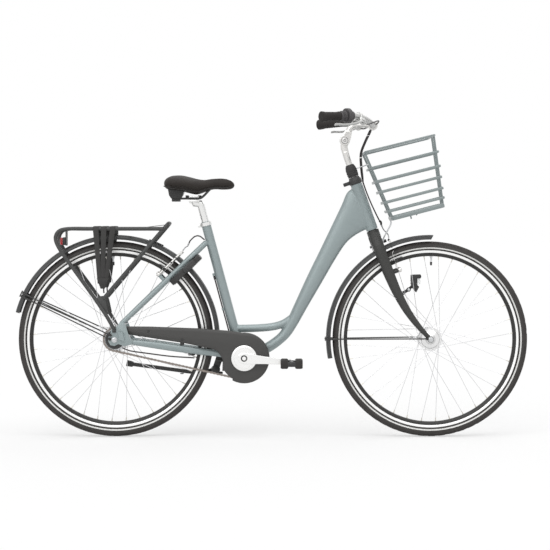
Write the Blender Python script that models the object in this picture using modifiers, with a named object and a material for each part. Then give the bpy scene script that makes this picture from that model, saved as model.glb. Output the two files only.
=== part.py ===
# Step-through city bicycle with a front basket, rear carrier, ring lock and chain case.
# Metres, +X forward, +Z up, drive side at -Y. The origin is on the ground in the middle.

from math import asin, atan2, ceil, cos, degrees, pi, radians, sin, sqrt, tan

import bmesh
import bpy
from mathutils import Matrix, Vector

# Clearances between pieces
GAP = 0.0003
RUNNING_GAP = 0.0005

# Wheels
TYRE_WIDTH = 0.040
TYRE_WALL = 0.003
BEAD_RADIUS = 0.3085
TYRE_HEIGHT = 0.0415
RIM_DEPTH = 0.0115
RIM_FLANGE = 0.0075
TYRE_RADIUS = BEAD_RADIUS + TYRE_HEIGHT
RIM_INNER_RADIUS = BEAD_RADIUS - RIM_DEPTH
RIM_OUTER_RADIUS = BEAD_RADIUS + RIM_FLANGE
RIM_WIDTH = 0.024
RIM_WALL = 0.002
WHEEL_STEPS = 32
SPOKES_PER_SIDE = 18
SPOKE_CROSSINGS = 3
SPOKE_RADIUS = 0.0011
SPOKE_RIM_OFFSET = 0.003
SPOKE_STAGGER = 0.0004
VALVE_RADIUS = 0.004
VALVE_TIP_RADIUS = RIM_INNER_RADIUS - 0.035
FRONT_VALVE_ANGLE = 89.0
REAR_VALVE_ANGLE = 92.0

# Wheelbase and steering
WHEELBASE = 1.128
HEAD_ANGLE = 70.6
FORK_RAKE = 0.065
HEAD_BOTTOM_Z = 0.7414
HEAD_TOP_Z = 0.9066
HEAD_TUBE_RADIUS = 0.0213
STEERER_RADIUS = 0.0145

# Hubs and axles
AXLE_RADIUS = 0.005
FRONT_HUB_HALF = 0.047
FRONT_FLANGE_RADIUS = 0.042
FRONT_HOLE_CIRCLE = 0.038
FRONT_FLANGE_Y = 0.027
FRONT_BARREL_RADIUS = 0.034
REAR_FLANGE_RADIUS = 0.046
REAR_HOLE_CIRCLE = 0.042
REAR_FLANGE_Y = 0.025
REAR_BARREL_RADIUS = 0.038
REAR_HUB_LEFT = 0.058
REAR_HUB_RIGHT = 0.038
FLANGE_THICKNESS = 0.003
REAR_DROPOUT_INNER = 0.0675
REAR_DROPOUT_THICKNESS = 0.006

# Drive
CHAIN_PITCH = 0.0127
CHAINRING_TEETH = 38
SPROCKET_TEETH = 20
CHAIN_LINE = 0.045
CHAIN_HALF_HEIGHT = 0.0043
CHAIN_HALF_WIDTH = 0.0042
CHAIN_SLOT_HALF = 0.0016
CHAIN_GROOVE_DEPTH = 0.0030
COG_THICKNESS = 0.002
BRACKET_X = 0.462
BRACKET_Z = 0.284
BRACKET_SHELL_RADIUS = 0.020
BRACKET_SHELL_HALF = 0.034
SPINDLE_RADIUS = 0.0087
CRANK_LENGTH = 0.170
CRANK_ANGLE = -5.0
CRANK_PLATE_RADIUS = 0.046
CRANK_INNER_Y = 0.0625
CRANK_ARM_OFFSET = 0.0045
CRANK_ARM_THICKNESS = 0.012
PEDAL_AXLE_RADIUS = 0.0045
PEDAL_WIDTH = 0.088
PEDAL_LENGTH = 0.078
PEDAL_HEIGHT = 0.030

# Frame
SEAT_TOP_X = 0.3243
SEAT_TOP_Z = 0.7574
SEAT_FOOT_X = 0.452
SEAT_TUBE_RADIUS = 0.017
SEATPOST_RADIUS = 0.0135
SEATPOST_DEPTH = 0.140
TUBE_WALL = 0.002
STRUT_RADIUS = 0.014
STRUT_KNOTS = [(0.038, 0.104), (0.098, 0.109), (0.138, 0.120), (0.170, 0.140)]
SEAT_STAY_RADIUS = 0.0098
SEAT_STAY_TOP = (0.322, 0.694)
SEAT_STAY_FOOT = (0.0258, 0.4095)

# Mudguards
GUARD_RADIUS = TYRE_RADIUS + 0.023
GUARD_HALF_WIDTH = 0.0245
GUARD_DEPTH = 0.015
GUARD_THICKNESS = 0.0015
REAR_GUARD_START = 165.0
REAR_GUARD_END = -3.0
FRONT_GUARD_START = 88.0
FRONT_GUARD_END = 191.0
GUARD_ROD_RADIUS = 0.0023

# Stays, brake bosses and kickstand pin
STAY_BRIDGE_RADIUS = 0.006
STAY_BRIDGE_Y = 0.036
STAY_TOP_Y = 0.012
STAY_FOOT_Y = 0.0630
BRAKE_BOSS_RADIUS = 0.0065
BRAKE_PIN_RADIUS = 0.0040
BRAKE_PIVOT_RADIUS = RIM_INNER_RADIUS - 0.023
BRAKE_PIVOT_Y = 0.040
REAR_BOSS_REACH = 0.030
FRONT_BOSS_REACH = 0.026
KICK_PIN_RADIUS = 0.0045

# Saddle rails
RAIL_RADIUS = 0.0035
RAIL_Y = 0.022
RAIL_Z = 0.854

# Fork, headset and quill
CROWN_LENGTH = 0.045
FORK_END_Y = 0.0515
FORK_END_THICKNESS = 0.007
CUP_HEIGHT = 0.026
CUP_RADIUS = 0.0235
QUILL_RADIUS = 0.0111
STEM_HEAD_RADIUS = 0.0135
STEM_HEAD_HALF = 0.0085
STEM_CHEEK = 0.0055

# Carrier and its straps
CARRIER_TUBE = 0.006
CARRIER_Y = 0.060
CARRIER_DECK_Z = 0.7456
CARRIER_LEG_Y = REAR_DROPOUT_INNER + REAR_DROPOUT_THICKNESS + CARRIER_TUBE + GAP
LAMP_PLATE_X = -0.178
STRAP_X = (-0.067, -0.0385, -0.0075)
STRAP_THICKNESS = 0.0025
STRAP_HOOK = (-0.042, 0.551)

# Chain wheels, cranks, pedals and chain case
CHAINRING_PITCH = CHAIN_PITCH / 2 / sin(pi / CHAINRING_TEETH)
SPROCKET_PITCH = CHAIN_PITCH / 2 / sin(pi / SPROCKET_TEETH)
CRANK_BOSS_RADIUS = 0.0160
PEDAL_COLLAR_LENGTH = 0.0070
PEDAL_INNER_Y = CRANK_INNER_Y + CRANK_ARM_OFFSET + CRANK_ARM_THICKNESS + PEDAL_COLLAR_LENGTH
PEDAL_TUBE_RADIUS = 0.0085
CASE_RADIUS = CHAINRING_PITCH + CHAIN_HALF_HEIGHT + 0.0092
CASE_OUTER_Y = 0.0605
CASE_WALL_Y = 0.0385
CASE_THICKNESS = 0.002
GEAR_UNIT_RADIUS = 0.034

# Ring lock: its bolt runs between two angles, in degrees
LOCK_THICKNESS = 0.022
LOCK_RADIUS = 0.068
LOCK_HALF_WIDTH = 0.009
LOCK_MOUTH_ANGLE = 40.0
LOCK_BOLT_RADIUS = 0.0038
LOCK_BOLT_START = 48.0
LOCK_BOLT_END = 139.0
LOCK_CENTRE_RADIUS = TYRE_RADIUS - 0.008

# Rim brakes and cables
BRAKE_ARM_THICKNESS = 0.009
BRAKE_ARM_LENGTH = 0.112
BRAKE_PAD_INNER_Y = 0.014
BRAKE_PAD_RADIUS = RIM_OUTER_RADIUS - 0.0095
BRAKE_PAD_HALF = 0.026
CABLE_RADIUS = 0.0025
CABLE_GAP = 0.0008
REAR_NOODLE_END = (0.150, 0.0420, 0.0565)
FRONT_NOODLE_END = (0.172, 0.0387, 0.0565)

# Handlebar, grips, levers and shifter
BAR_RADIUS = 0.0111
BAR_CLAMP_HALF = 0.022
GRIP_LENGTH = 0.131
SHIFTER_START = 0.0175
SHIFTER_HOUSING_WIDTH = 0.015
SHIFTER_RING_WIDTH = 0.025
LEVER_PIN_RADIUS = 0.0030
BASKET_ROWS = 5


# Places that follow from the sizes above
REAR_REACH = GUARD_RADIUS * cos(radians(180.0 - REAR_GUARD_START))
REAR_X = -(WHEELBASE + TYRE_RADIUS - REAR_REACH) / 2
SPOKE_END_RADIUS = RIM_INNER_RADIUS * cos(pi / WHEEL_STEPS) - GAP * 2
STEER_TILT = radians(90.0 - HEAD_ANGLE)
STEER_X_AT_AXLE = WHEELBASE - FORK_RAKE / cos(STEER_TILT)


def place(x, z, y=0.0):
    """A point given by its distance ahead of the rear axle and its height."""
    return Vector((REAR_X + x, y, z))


def ahead(x, z, y=0.0):
    """A point given by its distance ahead of the front axle and its height."""
    return place(WHEELBASE + x, z, y)


REAR_AXLE = place(0.0, TYRE_RADIUS)
FRONT_AXLE = place(WHEELBASE, TYRE_RADIUS)
BRACKET = place(BRACKET_X, BRACKET_Z)
SEAT_TOP = place(SEAT_TOP_X, SEAT_TOP_Z)
SEAT_FOOT = place(SEAT_FOOT_X, BRACKET_Z)
SEAT_UP = (SEAT_TOP - SEAT_FOOT).normalized()
STEER_UP = Vector((-sin(STEER_TILT), 0.0, cos(STEER_TILT)))
STEER_FRONT = Vector((cos(STEER_TILT), 0.0, sin(STEER_TILT)))
SIDE = Vector((0.0, 1.0, 0.0))


def steer_point(z, forward=0.0, y=0.0):
    """A point on the steering axis at height z, moved forward square to the axis."""
    x = STEER_X_AT_AXLE - (z - TYRE_RADIUS) * tan(STEER_TILT)
    return place(x, z, y) + STEER_FRONT * forward


HEAD_BOTTOM = steer_point(HEAD_BOTTOM_Z)
HEAD_TOP = steer_point(HEAD_TOP_Z)

for old in list(bpy.data.objects):
    bpy.data.objects.remove(old, do_unlink=True)

PARTS = bpy.data.collections.new("bicycle")
bpy.context.scene.collection.children.link(PARTS)


def paint(name, colour, roughness, metallic=0.0):
    """One plain material with a colour, a roughness and a metallic value."""
    made = bpy.data.materials.new(name)
    made.use_nodes = True
    shader = made.node_tree.nodes["Principled BSDF"]
    shader.inputs["Base Color"].default_value = (*colour, 1.0)
    shader.inputs["Roughness"].default_value = roughness
    shader.inputs["Metallic"].default_value = metallic
    return made


FRAME_PAINT = paint("frame_paint", (0.30, 0.38, 0.38), 0.40, 0.2)
DARK_PAINT = paint("dark_paint", (0.045, 0.045, 0.043), 0.55)
BLACK_PLASTIC = paint("black_plastic", (0.02, 0.02, 0.02), 0.5)
RUBBER = paint("rubber", (0.03, 0.028, 0.027), 0.8)
SILVER = paint("silver", (0.72, 0.71, 0.69), 0.3, 1.0)
STEEL = paint("steel", (0.55, 0.55, 0.55), 0.35, 1.0)
RED_PLASTIC = paint("red_plastic", (0.5, 0.02, 0.03), 0.2)
SADDLE_COVER = paint("saddle_cover", (0.03, 0.025, 0.022), 0.7)


def add_object(name, mesh):
    """A new object with a mesh whose points are already in the world's axes."""
    made = bpy.data.objects.new(name, mesh)
    PARTS.objects.link(made)
    return made


def from_bmesh(name, shape):
    """Turn a bmesh into an object."""
    mesh = bpy.data.meshes.new(name)
    shape.to_mesh(mesh)
    shape.free()
    return add_object(name, mesh)


def settle(made, weld=0.00001):
    """Write an object's modifiers or curve into a mesh and weld its seams."""
    bpy.context.view_layer.update()
    graph = bpy.context.evaluated_depsgraph_get()
    mesh = bpy.data.meshes.new_from_object(made.evaluated_get(graph))
    mesh.transform(made.matrix_world)
    name = made.name
    bpy.data.objects.remove(made, do_unlink=True)
    shape = bmesh.new()
    shape.from_mesh(mesh)
    bmesh.ops.remove_doubles(shape, verts=shape.verts, dist=weld)
    shape.to_mesh(mesh)
    shape.free()
    return add_object(name, mesh)


def face_outward(made):
    """Point every face of a closed body outward."""
    shape = bmesh.new()
    shape.from_mesh(made.data)
    bmesh.ops.recalc_face_normals(shape, faces=shape.faces)
    shape.to_mesh(made.data)
    shape.free()
    return made


def boolean(target, other, operation):
    """Join the other object to the target, or cut it away, and remove the other."""
    change = target.modifiers.new("change", "BOOLEAN")
    change.operation = operation
    change.solver = "EXACT"
    change.object = other
    made = settle(target, 0.000002)
    bpy.data.objects.remove(other, do_unlink=True)
    return made


def unite(target, *others):
    """One body made of the target and every other object."""
    for other in others:
        target = boolean(target, other, "UNION")
    return target


def cut(target, *cutters):
    """The target with every cutter's space taken away."""
    for cutter in cutters:
        target = boolean(target, cutter, "DIFFERENCE")
    return target


def finish(made, name, look, origin=None, sharp=40.0):
    """Name a piece, give it its material and shading, and put its origin on its axis."""
    made.name = name
    made.data.name = name
    made.data.materials.clear()
    made.data.materials.append(look)
    made.data.shade_smooth()
    made.data.set_sharp_from_angle(angle=radians(sharp))
    if origin is not None:
        made.data.transform(Matrix.Translation(-origin))
        made.location = origin
    return made


def frame_axes(along, side=SIDE):
    """A turn whose Z runs along a direction, with Y as near the side as it can be."""
    third = along.normalized()
    first = side.cross(third)
    if first.length < 0.001:
        first = Vector((1.0, 0.0, 0.0)).cross(third)
    first.normalize()
    second = third.cross(first)
    return Matrix((first, second, third)).transposed().to_4x4()


def cylinder(start, end, radius, sides=16, end_radius=None):
    """A round bar or cone from one point to another."""
    shape = bmesh.new()
    far = radius if end_radius is None else end_radius
    middle = Matrix.Translation((start + end) / 2) @ frame_axes(end - start)
    bmesh.ops.create_cone(shape, cap_ends=True, segments=sides, radius1=radius, radius2=far,
                          depth=(end - start).length, matrix=middle)
    return from_bmesh("cylinder", shape)


def beam(start, end, across, deep, side=SIDE):
    """A square bar from one point to another, as wide across the side direction."""
    shape = bmesh.new()
    middle = Matrix.Translation((start + end) / 2) @ frame_axes(end - start, side)
    size = Matrix.Diagonal((deep, across, (end - start).length, 1.0))
    bmesh.ops.create_cube(shape, size=1.0, matrix=middle @ size)
    return from_bmesh("beam", shape)


def block(centre, size):
    """A box square to the world's axes."""
    shape = bmesh.new()
    bmesh.ops.create_cube(shape, size=1.0, matrix=Matrix.Translation(centre) @ Matrix.Diagonal((*size, 1.0)))
    return from_bmesh("block", shape)


def rod(points, radius, detail=2):
    """A bent wire or tube of one radius through the given points."""
    wire = bpy.data.curves.new("rod", "CURVE")
    wire.dimensions = "3D"
    wire.bevel_depth = radius
    wire.bevel_resolution = detail
    wire.use_fill_caps = True
    spline = wire.splines.new("POLY")
    spline.points.add(len(points) - 1)
    for knot, point in zip(spline.points, points):
        knot.co = (*point, 1.0)
    made = bpy.data.objects.new("rod", wire)
    PARTS.objects.link(made)
    return face_outward(settle(made))


def smooth_line(points, spacing):
    """Points read from a smooth curve through the given ones, about one spacing apart."""
    ends = [points[0] * 2 - points[1]] + list(points) + [points[-1] * 2 - points[-2]]
    line = [points[0]]
    for before, start, end, after in zip(ends, ends[1:], ends[2:], ends[3:]):
        steps = max(1, ceil((end - start).length / spacing))
        for step in range(1, steps + 1):
            share = step / steps
            line.append(0.5 * (2 * start + (end - before) * share
                               + (2 * before - 5 * start + 4 * end - after) * share ** 2
                               + (3 * start - before - 3 * end + after) * share ** 3))
    return line


def plate(outlines, thickness, y):
    """A flat plate from side-view outlines; its middle plane is at y. Inner outlines are holes."""
    flat = bpy.data.curves.new("plate", "CURVE")
    flat.dimensions = "2D"
    flat.fill_mode = "BOTH"
    flat.extrude = thickness / 2
    for outline in outlines:
        spline = flat.splines.new("POLY")
        spline.points.add(len(outline) - 1)
        for knot, (x, z) in zip(spline.points, outline):
            knot.co = (x, z, 0.0, 1.0)
        spline.use_cyclic_u = True
    made = bpy.data.objects.new("plate", flat)
    made.rotation_euler = (pi / 2, 0.0, 0.0)
    made.location = (REAR_X, y, 0.0)
    PARTS.objects.link(made)
    return face_outward(settle(made))


def loft(rings):
    """A closed skin over rings of points, with a flat cap at each end."""
    shape = bmesh.new()
    loops = [[shape.verts.new(point) for point in ring] for ring in rings]
    for near, far in zip(loops, loops[1:]):
        for index in range(len(near)):
            after = (index + 1) % len(near)
            shape.faces.new((near[index], near[after], far[after], far[index]))
    shape.faces.new(loops[0])
    shape.faces.new(loops[-1])
    bmesh.ops.recalc_face_normals(shape, faces=shape.faces)
    return from_bmesh("loft", shape)


def closed_loft(rings):
    """A skin over a loop of rings, with no ends."""
    shape = bmesh.new()
    loops = [[shape.verts.new(point) for point in ring] for ring in rings]
    for one, two in zip(loops, loops[1:] + loops[:1]):
        for index in range(len(one)):
            after = (index + 1) % len(one)
            shape.faces.new((one[index], one[after], two[after], two[index]))
    return face_outward(from_bmesh("loop", shape))


def oval(centre, tall, wide, sides=12):
    """A ring of points round a centre; tall and wide are the half axes as vectors."""
    turns = [2 * pi * (index + 0.5) / sides for index in range(sides)]
    return [centre + tall * cos(turn) + wide * sin(turn) for turn in turns]


def turned(profile, centre, steps=24, along=SIDE, closed=False):
    """A turned body: the profile lists (radius, distance along the axis), outer side first."""
    shape = bmesh.new()
    knots = [shape.verts.new((radius, 0.0, height)) for radius, height in profile]
    for start, end in zip(knots, knots[1:]):
        shape.edges.new((start, end))
    if closed:
        shape.edges.new((knots[-1], knots[0]))
    made = from_bmesh("turned", shape)
    screw = made.modifiers.new("turn", "SCREW")
    screw.steps = steps
    screw.render_steps = steps
    screw.use_merge_vertices = True
    screw.merge_threshold = 0.00001
    if (along - SIDE).length < 0.001:
        made.rotation_euler = (-pi / 2, 0.0, 0.0)
    else:
        made.rotation_euler = frame_axes(along).to_euler()
    made.location = centre
    return face_outward(settle(made))


def arc(centre, radius, start, end, steps):
    """Side-view points on an arc, angles in degrees."""
    angles = [radians(start + (end - start) * step / steps) for step in range(steps + 1)]
    return [(centre[0] + radius * cos(angle), centre[1] + radius * sin(angle)) for angle in angles]


def wheel_point(axle, radius, angle, y=0.0):
    """A point at a radius and an angle in degrees round an axle."""
    return axle + Vector((radius * cos(radians(angle)), y, radius * sin(radians(angle))))


def tyre(name, axle):
    """A casing of C section whose feet sit between the rim's flanges."""
    half = TYRE_WIDTH / 2
    foot = RIM_WIDTH / 2 - RIM_WALL - RUNNING_GAP
    outer = [(BEAD_RADIUS, foot), (RIM_OUTER_RADIUS + 0.001, foot), (TYRE_RADIUS - 0.019, half),
             (TYRE_RADIUS - 0.007, half * 0.7)]
    crown = [(TYRE_RADIUS, 0.0)]
    inner = [(BEAD_RADIUS, foot - TYRE_WALL), (RIM_OUTER_RADIUS + 0.003, foot - TYRE_WALL),
             (TYRE_RADIUS - 0.019, half - TYRE_WALL)]
    hollow = [(TYRE_RADIUS - TYRE_WALL * 1.4, 0.0)]
    right = outer + crown + [(radius, -y) for radius, y in reversed(outer)]
    back = [(radius, -y) for radius, y in inner] + hollow + list(reversed(inner))
    made = turned(right + back, axle, WHEEL_STEPS, closed=True)
    return finish(made, name, RUBBER, axle)


def inner_tube(name, axle, valve_angle):
    """The tube inside the tyre with its valve, bored through so that air can get in."""
    fat = TYRE_WIDTH / 2 - TYRE_WALL * 3.2
    middle = TYRE_RADIUS - TYRE_WALL * 2 - fat - 0.0015
    ring = [(middle + fat * cos(radians(60 * k)), -fat * sin(radians(60 * k))) for k in range(6)]
    made = turned(ring, axle, WHEEL_STEPS, closed=True)
    tip = wheel_point(axle, VALVE_TIP_RADIUS, valve_angle)
    valve = cylinder(tip, wheel_point(axle, middle, valve_angle), VALVE_RADIUS, 8)
    return finish(unite(made, valve), name, RUBBER, axle)


def rim(name, axle, valve_angle):
    """An open rim: two flanges, a well between them and a hole for the valve."""
    half = RIM_WIDTH / 2
    nose = half * 0.6
    floor = BEAD_RADIUS - RUNNING_GAP
    inside = half - RIM_WALL
    profile = [(RIM_OUTER_RADIUS, half), (RIM_OUTER_RADIUS, inside), (floor, inside), (floor, -inside),
               (RIM_OUTER_RADIUS, -inside), (RIM_OUTER_RADIUS, -half), (RIM_INNER_RADIUS + 0.005, -half),
               (RIM_INNER_RADIUS, -nose), (RIM_INNER_RADIUS, nose), (RIM_INNER_RADIUS + 0.005, half)]
    made = turned(profile, axle, WHEEL_STEPS, closed=True)
    hole = cylinder(wheel_point(axle, RIM_INNER_RADIUS - 0.01, valve_angle),
                    wheel_point(axle, RIM_OUTER_RADIUS + 0.01, valve_angle), VALVE_RADIUS + GAP * 2, 8)
    return finish(cut(made, hole), name, SILVER, axle)


def spokes(name, axle, hole_circle, flange_y, valve_angle, side):
    """One side's spokes, crossing their neighbours, from the flange to the rim."""
    turn = 360.0 / SPOKES_PER_SIDE
    lead = turn * SPOKE_CROSSINGS
    first = valve_angle + turn / 4 * side
    start_y = flange_y + FLANGE_THICKNESS / 2 + SPOKE_RADIUS + GAP + 0.0013
    made = None
    for index in range(SPOKES_PER_SIDE):
        rim_angle = first + turn * index
        way = 1 if index % 2 else -1
        y = side * (start_y + SPOKE_STAGGER * way)
        inner = wheel_point(axle, hole_circle, rim_angle + lead * way, y)
        outer = wheel_point(axle, SPOKE_END_RADIUS, rim_angle, side * SPOKE_RIM_OFFSET + SPOKE_STAGGER * way)
        wire = cylinder(inner, outer, SPOKE_RADIUS, 3)
        made = wire if made is None else unite(made, wire)
    return finish(made, name, STEEL, axle)


def front_hub():
    """A hub dynamo shell with two tall flanges, turning on the fixed axle."""
    flange = FLANGE_THICKNESS / 2
    bore = AXLE_RADIUS + GAP
    left = [(bore, FRONT_HUB_HALF), (0.016, FRONT_HUB_HALF), (0.019, FRONT_FLANGE_Y + 0.008),
            (FRONT_BARREL_RADIUS, FRONT_FLANGE_Y + flange), (FRONT_FLANGE_RADIUS, FRONT_FLANGE_Y + flange),
            (FRONT_FLANGE_RADIUS, FRONT_FLANGE_Y - flange), (FRONT_BARREL_RADIUS, FRONT_FLANGE_Y - flange)]
    profile = left + [(radius, -y) for radius, y in reversed(left)]
    return finish(turned(profile, FRONT_AXLE, 16, closed=True), "front_hub", SILVER, FRONT_AXLE)


def rear_hub():
    """A geared hub shell, longer on the left where its brake reaction side is."""
    flange = FLANGE_THICKNESS / 2
    bore = AXLE_RADIUS + GAP
    profile = [(bore, REAR_HUB_LEFT), (0.020, REAR_HUB_LEFT), (0.030, REAR_FLANGE_Y + 0.018),
               (REAR_BARREL_RADIUS, REAR_FLANGE_Y + flange), (REAR_FLANGE_RADIUS, REAR_FLANGE_Y + flange),
               (REAR_FLANGE_RADIUS, REAR_FLANGE_Y - flange), (REAR_BARREL_RADIUS, REAR_FLANGE_Y - flange),
               (REAR_BARREL_RADIUS, -REAR_FLANGE_Y + flange), (REAR_FLANGE_RADIUS, -REAR_FLANGE_Y + flange),
               (REAR_FLANGE_RADIUS, -REAR_FLANGE_Y - flange), (0.028, -REAR_FLANGE_Y - flange),
               (0.024, -REAR_HUB_RIGHT), (bore, -REAR_HUB_RIGHT)]
    return finish(turned(profile, REAR_AXLE, 16, closed=True), "rear_hub", SILVER, REAR_AXLE)


def axle_with_nuts(name, axle, inner_y, plate_thickness, radius):
    """A fixed axle through both dropouts, with a nut outside each one."""
    face = inner_y + plate_thickness + GAP
    reach = face + 0.013
    made = cylinder(axle - SIDE * reach, axle + SIDE * reach, radius, 12)
    for side in (-1, 1):
        nut = cylinder(axle + SIDE * side * face, axle + SIDE * side * (face + 0.008), 0.0090, 6)
        made = unite(made, nut)
    return finish(made, name, STEEL, axle)


def wheel(end, axle, hole_circle, flange_y, valve_angle):
    """Tyre, tube, rim and both sides' spokes of one wheel."""
    tyre(end + "_tyre", axle)
    inner_tube(end + "_inner_tube", axle, valve_angle)
    rim(end + "_rim", axle, valve_angle)
    spokes(end + "_spokes_left", axle, hole_circle, flange_y, valve_angle, 1)
    spokes(end + "_spokes_right", axle, hole_circle, flange_y, valve_angle, -1)


wheel("front", FRONT_AXLE, FRONT_HOLE_CIRCLE, FRONT_FLANGE_Y, FRONT_VALVE_ANGLE)
wheel("rear", REAR_AXLE, REAR_HOLE_CIRCLE, REAR_FLANGE_Y, REAR_VALVE_ANGLE)
front_hub()
rear_hub()
axle_with_nuts("rear_axle", REAR_AXLE, REAR_DROPOUT_INNER, REAR_DROPOUT_THICKNESS, AXLE_RADIUS)


def stay_point(distance, side=0, off=0.0):
    """A point of the seat stay's side-view line, at a distance from its foot, moved off it."""
    foot = place(*SEAT_STAY_FOOT)
    along = (place(*SEAT_STAY_TOP) - foot).normalized()
    square = Vector((-along.z, 0.0, along.x))
    return foot + along * distance + square * off + SIDE * side


def stay_distance(radius):
    """How far up the seat stay line it lies at a radius from the rear axle."""
    foot = place(*SEAT_STAY_FOOT) - REAR_AXLE
    along = (place(*SEAT_STAY_TOP) - place(*SEAT_STAY_FOOT)).normalized()
    reach = foot.dot(along)
    return -reach + sqrt(radius ** 2 - foot.length_squared + reach ** 2)


STAY_BRIDGE_AT = stay_distance(GUARD_RADIUS + GUARD_THICKNESS + STAY_BRIDGE_RADIUS + GAP * 3)


# Each ring of the down tube: which end it is measured from, upper edge, lower edge, half width
DOWN_TUBE_RINGS = [
    ("head", (0.004, -0.012), (0.003, 0.012), 0.0150),
    ("head", (-0.030, -0.028), (-0.022, 0.002), 0.0185),
    ("head", (-0.054, -0.080), (-0.062, -0.020), 0.0195),
    ("head", (-0.089, -0.153), (-0.096, -0.050), 0.0200),
    ("head", (-0.130, -0.238), (-0.136, -0.111), 0.0200),
    ("head", (-0.175, -0.330), (-0.183, -0.192), 0.0200),
    ("bracket", (0.178, 0.188), (0.223, 0.174), 0.0200),
    ("bracket", (0.152, 0.132), (0.192, 0.119), 0.0200),
    ("bracket", (0.128, 0.092), (0.162, 0.074), 0.0195),
    ("bracket", (0.100, 0.067), (0.126, 0.041), 0.0190),
    ("bracket", (0.068, 0.047), (0.088, 0.016), 0.0185),
    ("bracket", (0.034, 0.029), (0.044, -0.004), 0.0180),
    ("bracket", (0.004, 0.015), (0.010, -0.013), 0.0165),
]


def down_tube(inset):
    """The deep oval down tube, swelling into a gusset under the head tube."""
    rings = []
    for end, upper, lower, half in DOWN_TUBE_RINGS:
        top_from = HEAD_TOP if end == "head" else BRACKET
        low_from = HEAD_BOTTOM if end == "head" else BRACKET
        top = top_from + Vector((upper[0], 0.0, upper[1]))
        low = low_from + Vector((lower[0], 0.0, lower[1]))
        tall = (top - low) / 2
        tall -= tall.normalized() * inset
        rings.append(oval((top + low) / 2, tall, SIDE * (half - inset), 12))
    return loft(rings)


def chain_stay(side):
    """One chain stay, tall in the middle, drawn in beside the tyre and out to the dropout."""
    rings = []
    for x, z, y, tall, wide in [(0.050, 0.3425, 0.0640, 0.0085, 0.0070),
                                (0.110, 0.3350, 0.0580, 0.0115, 0.0085),
                                (0.205, 0.3210, 0.0490, 0.0130, 0.0090), (0.290, 0.3090, 0.0400, 0.0128,
                                                                          0.0090),
                                (0.332, 0.3035, 0.0305, 0.0125, 0.0085), (0.375, 0.2975, 0.0260, 0.0120,
                                                                          0.0085),
                                (BRACKET_X - 0.010, BRACKET_Z + 0.001, 0.0230, 0.0110, 0.0090)]:
        rings.append(oval(place(x, z, side * y), Vector((0.0, 0.0, tall)), SIDE * wide, 8))
    return loft(rings)


def seat_stay(side):
    """One seat stay: from the dropout, outside the mudguard, in to the seat tube."""
    length = (place(*SEAT_STAY_TOP) - place(*SEAT_STAY_FOOT)).length
    line = [(-0.004, STAY_FOOT_Y, 0.0085), (0.130, 0.0510, 1.0), (STAY_BRIDGE_AT - 0.030, 0.0385, 1.0),
            (STAY_BRIDGE_AT + 0.016, STAY_BRIDGE_Y, 1.0), (length - 0.030, 0.0210, 0.9), (length,
                                                                                          STAY_TOP_Y, 0.8)]
    rings = []
    along = (stay_point(1.0) - stay_point(0.0)).normalized()
    square = Vector((-along.z, 0.0, along.x))
    for distance, y, share in line:
        radius = share if share < 0.1 else SEAT_STAY_RADIUS * share
        rings.append(oval(stay_point(distance, side * y), square * radius, SIDE * radius, 8))
    return loft(rings)


DROPOUT_OUTLINE = [(-0.022, 0.345), (-0.021, 0.362), (-0.014, 0.374), (-0.012, 0.392), (0.000, 0.396),
                   (0.010, 0.398), (0.018, 0.412), (0.036, 0.412), (0.042, 0.396), (0.052, 0.362),
                   (0.066, 0.348), (0.062, 0.333), (0.036, 0.327), (0.014, 0.335), (0.000, 0.328), (-0.015,
                                                                                                    0.331)]
DROPOUT_WINDOW = [(0.016, 0.352), (0.036, 0.346), (0.030, 0.378), (0.014, 0.378)]


def dropout(side):
    """The flat rear end plate with the axle hole and a window."""
    hole = arc((0.0, TYRE_RADIUS), (AXLE_RADIUS + GAP) / cos(pi / 8), 0.0, 315.0, 7)
    middle = side * (REAR_DROPOUT_INNER + REAR_DROPOUT_THICKNESS / 2)
    lift = TYRE_RADIUS - 0.350
    outline = [(x, z + lift) for x, z in DROPOUT_OUTLINE]
    window = [(x, z + lift) for x, z in DROPOUT_WINDOW]
    return plate([outline, window, hole], REAR_DROPOUT_THICKNESS, middle)


def rear_boss(side):
    """A brake boss on the seat stay: a stub with the pivot pin standing out of it."""
    at = stay_distance(BRAKE_PIVOT_RADIUS)
    stub = cylinder(stay_point(at, side * BRAKE_PIVOT_Y),
                    stay_point(at, side * BRAKE_PIVOT_Y, REAR_BOSS_REACH),
                    BRAKE_BOSS_RADIUS, 12)
    tip = REAR_BOSS_REACH + BRAKE_ARM_THICKNESS + GAP * 2
    pin = cylinder(stay_point(at, side * BRAKE_PIVOT_Y, REAR_BOSS_REACH - 0.004),
                   stay_point(at, side * BRAKE_PIVOT_Y, tip), BRAKE_PIN_RADIUS, 10)
    return unite(stub, pin)


KICK_PIVOT = place(0.352, 0.238, 0.047)
KICK_AXIS = Vector((-0.28, 0.96, 0.0)).normalized()


def kickstand_bracket():
    """The plate under the left chain stay that carries the kickstand's pivot pin."""
    top = place(0.352, 0.292, 0.0275)
    hanger = beam(top, KICK_PIVOT - KICK_AXIS * 0.020, 0.008, 0.024)
    cheek = cylinder(KICK_PIVOT - KICK_AXIS * 0.026, KICK_PIVOT - KICK_AXIS * 0.010, 0.015, 12)
    pin = cylinder(KICK_PIVOT - KICK_AXIS * 0.012, KICK_PIVOT + KICK_AXIS * 0.012, KICK_PIN_RADIUS, 10)
    return unite(hanger, cheek, pin)


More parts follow.
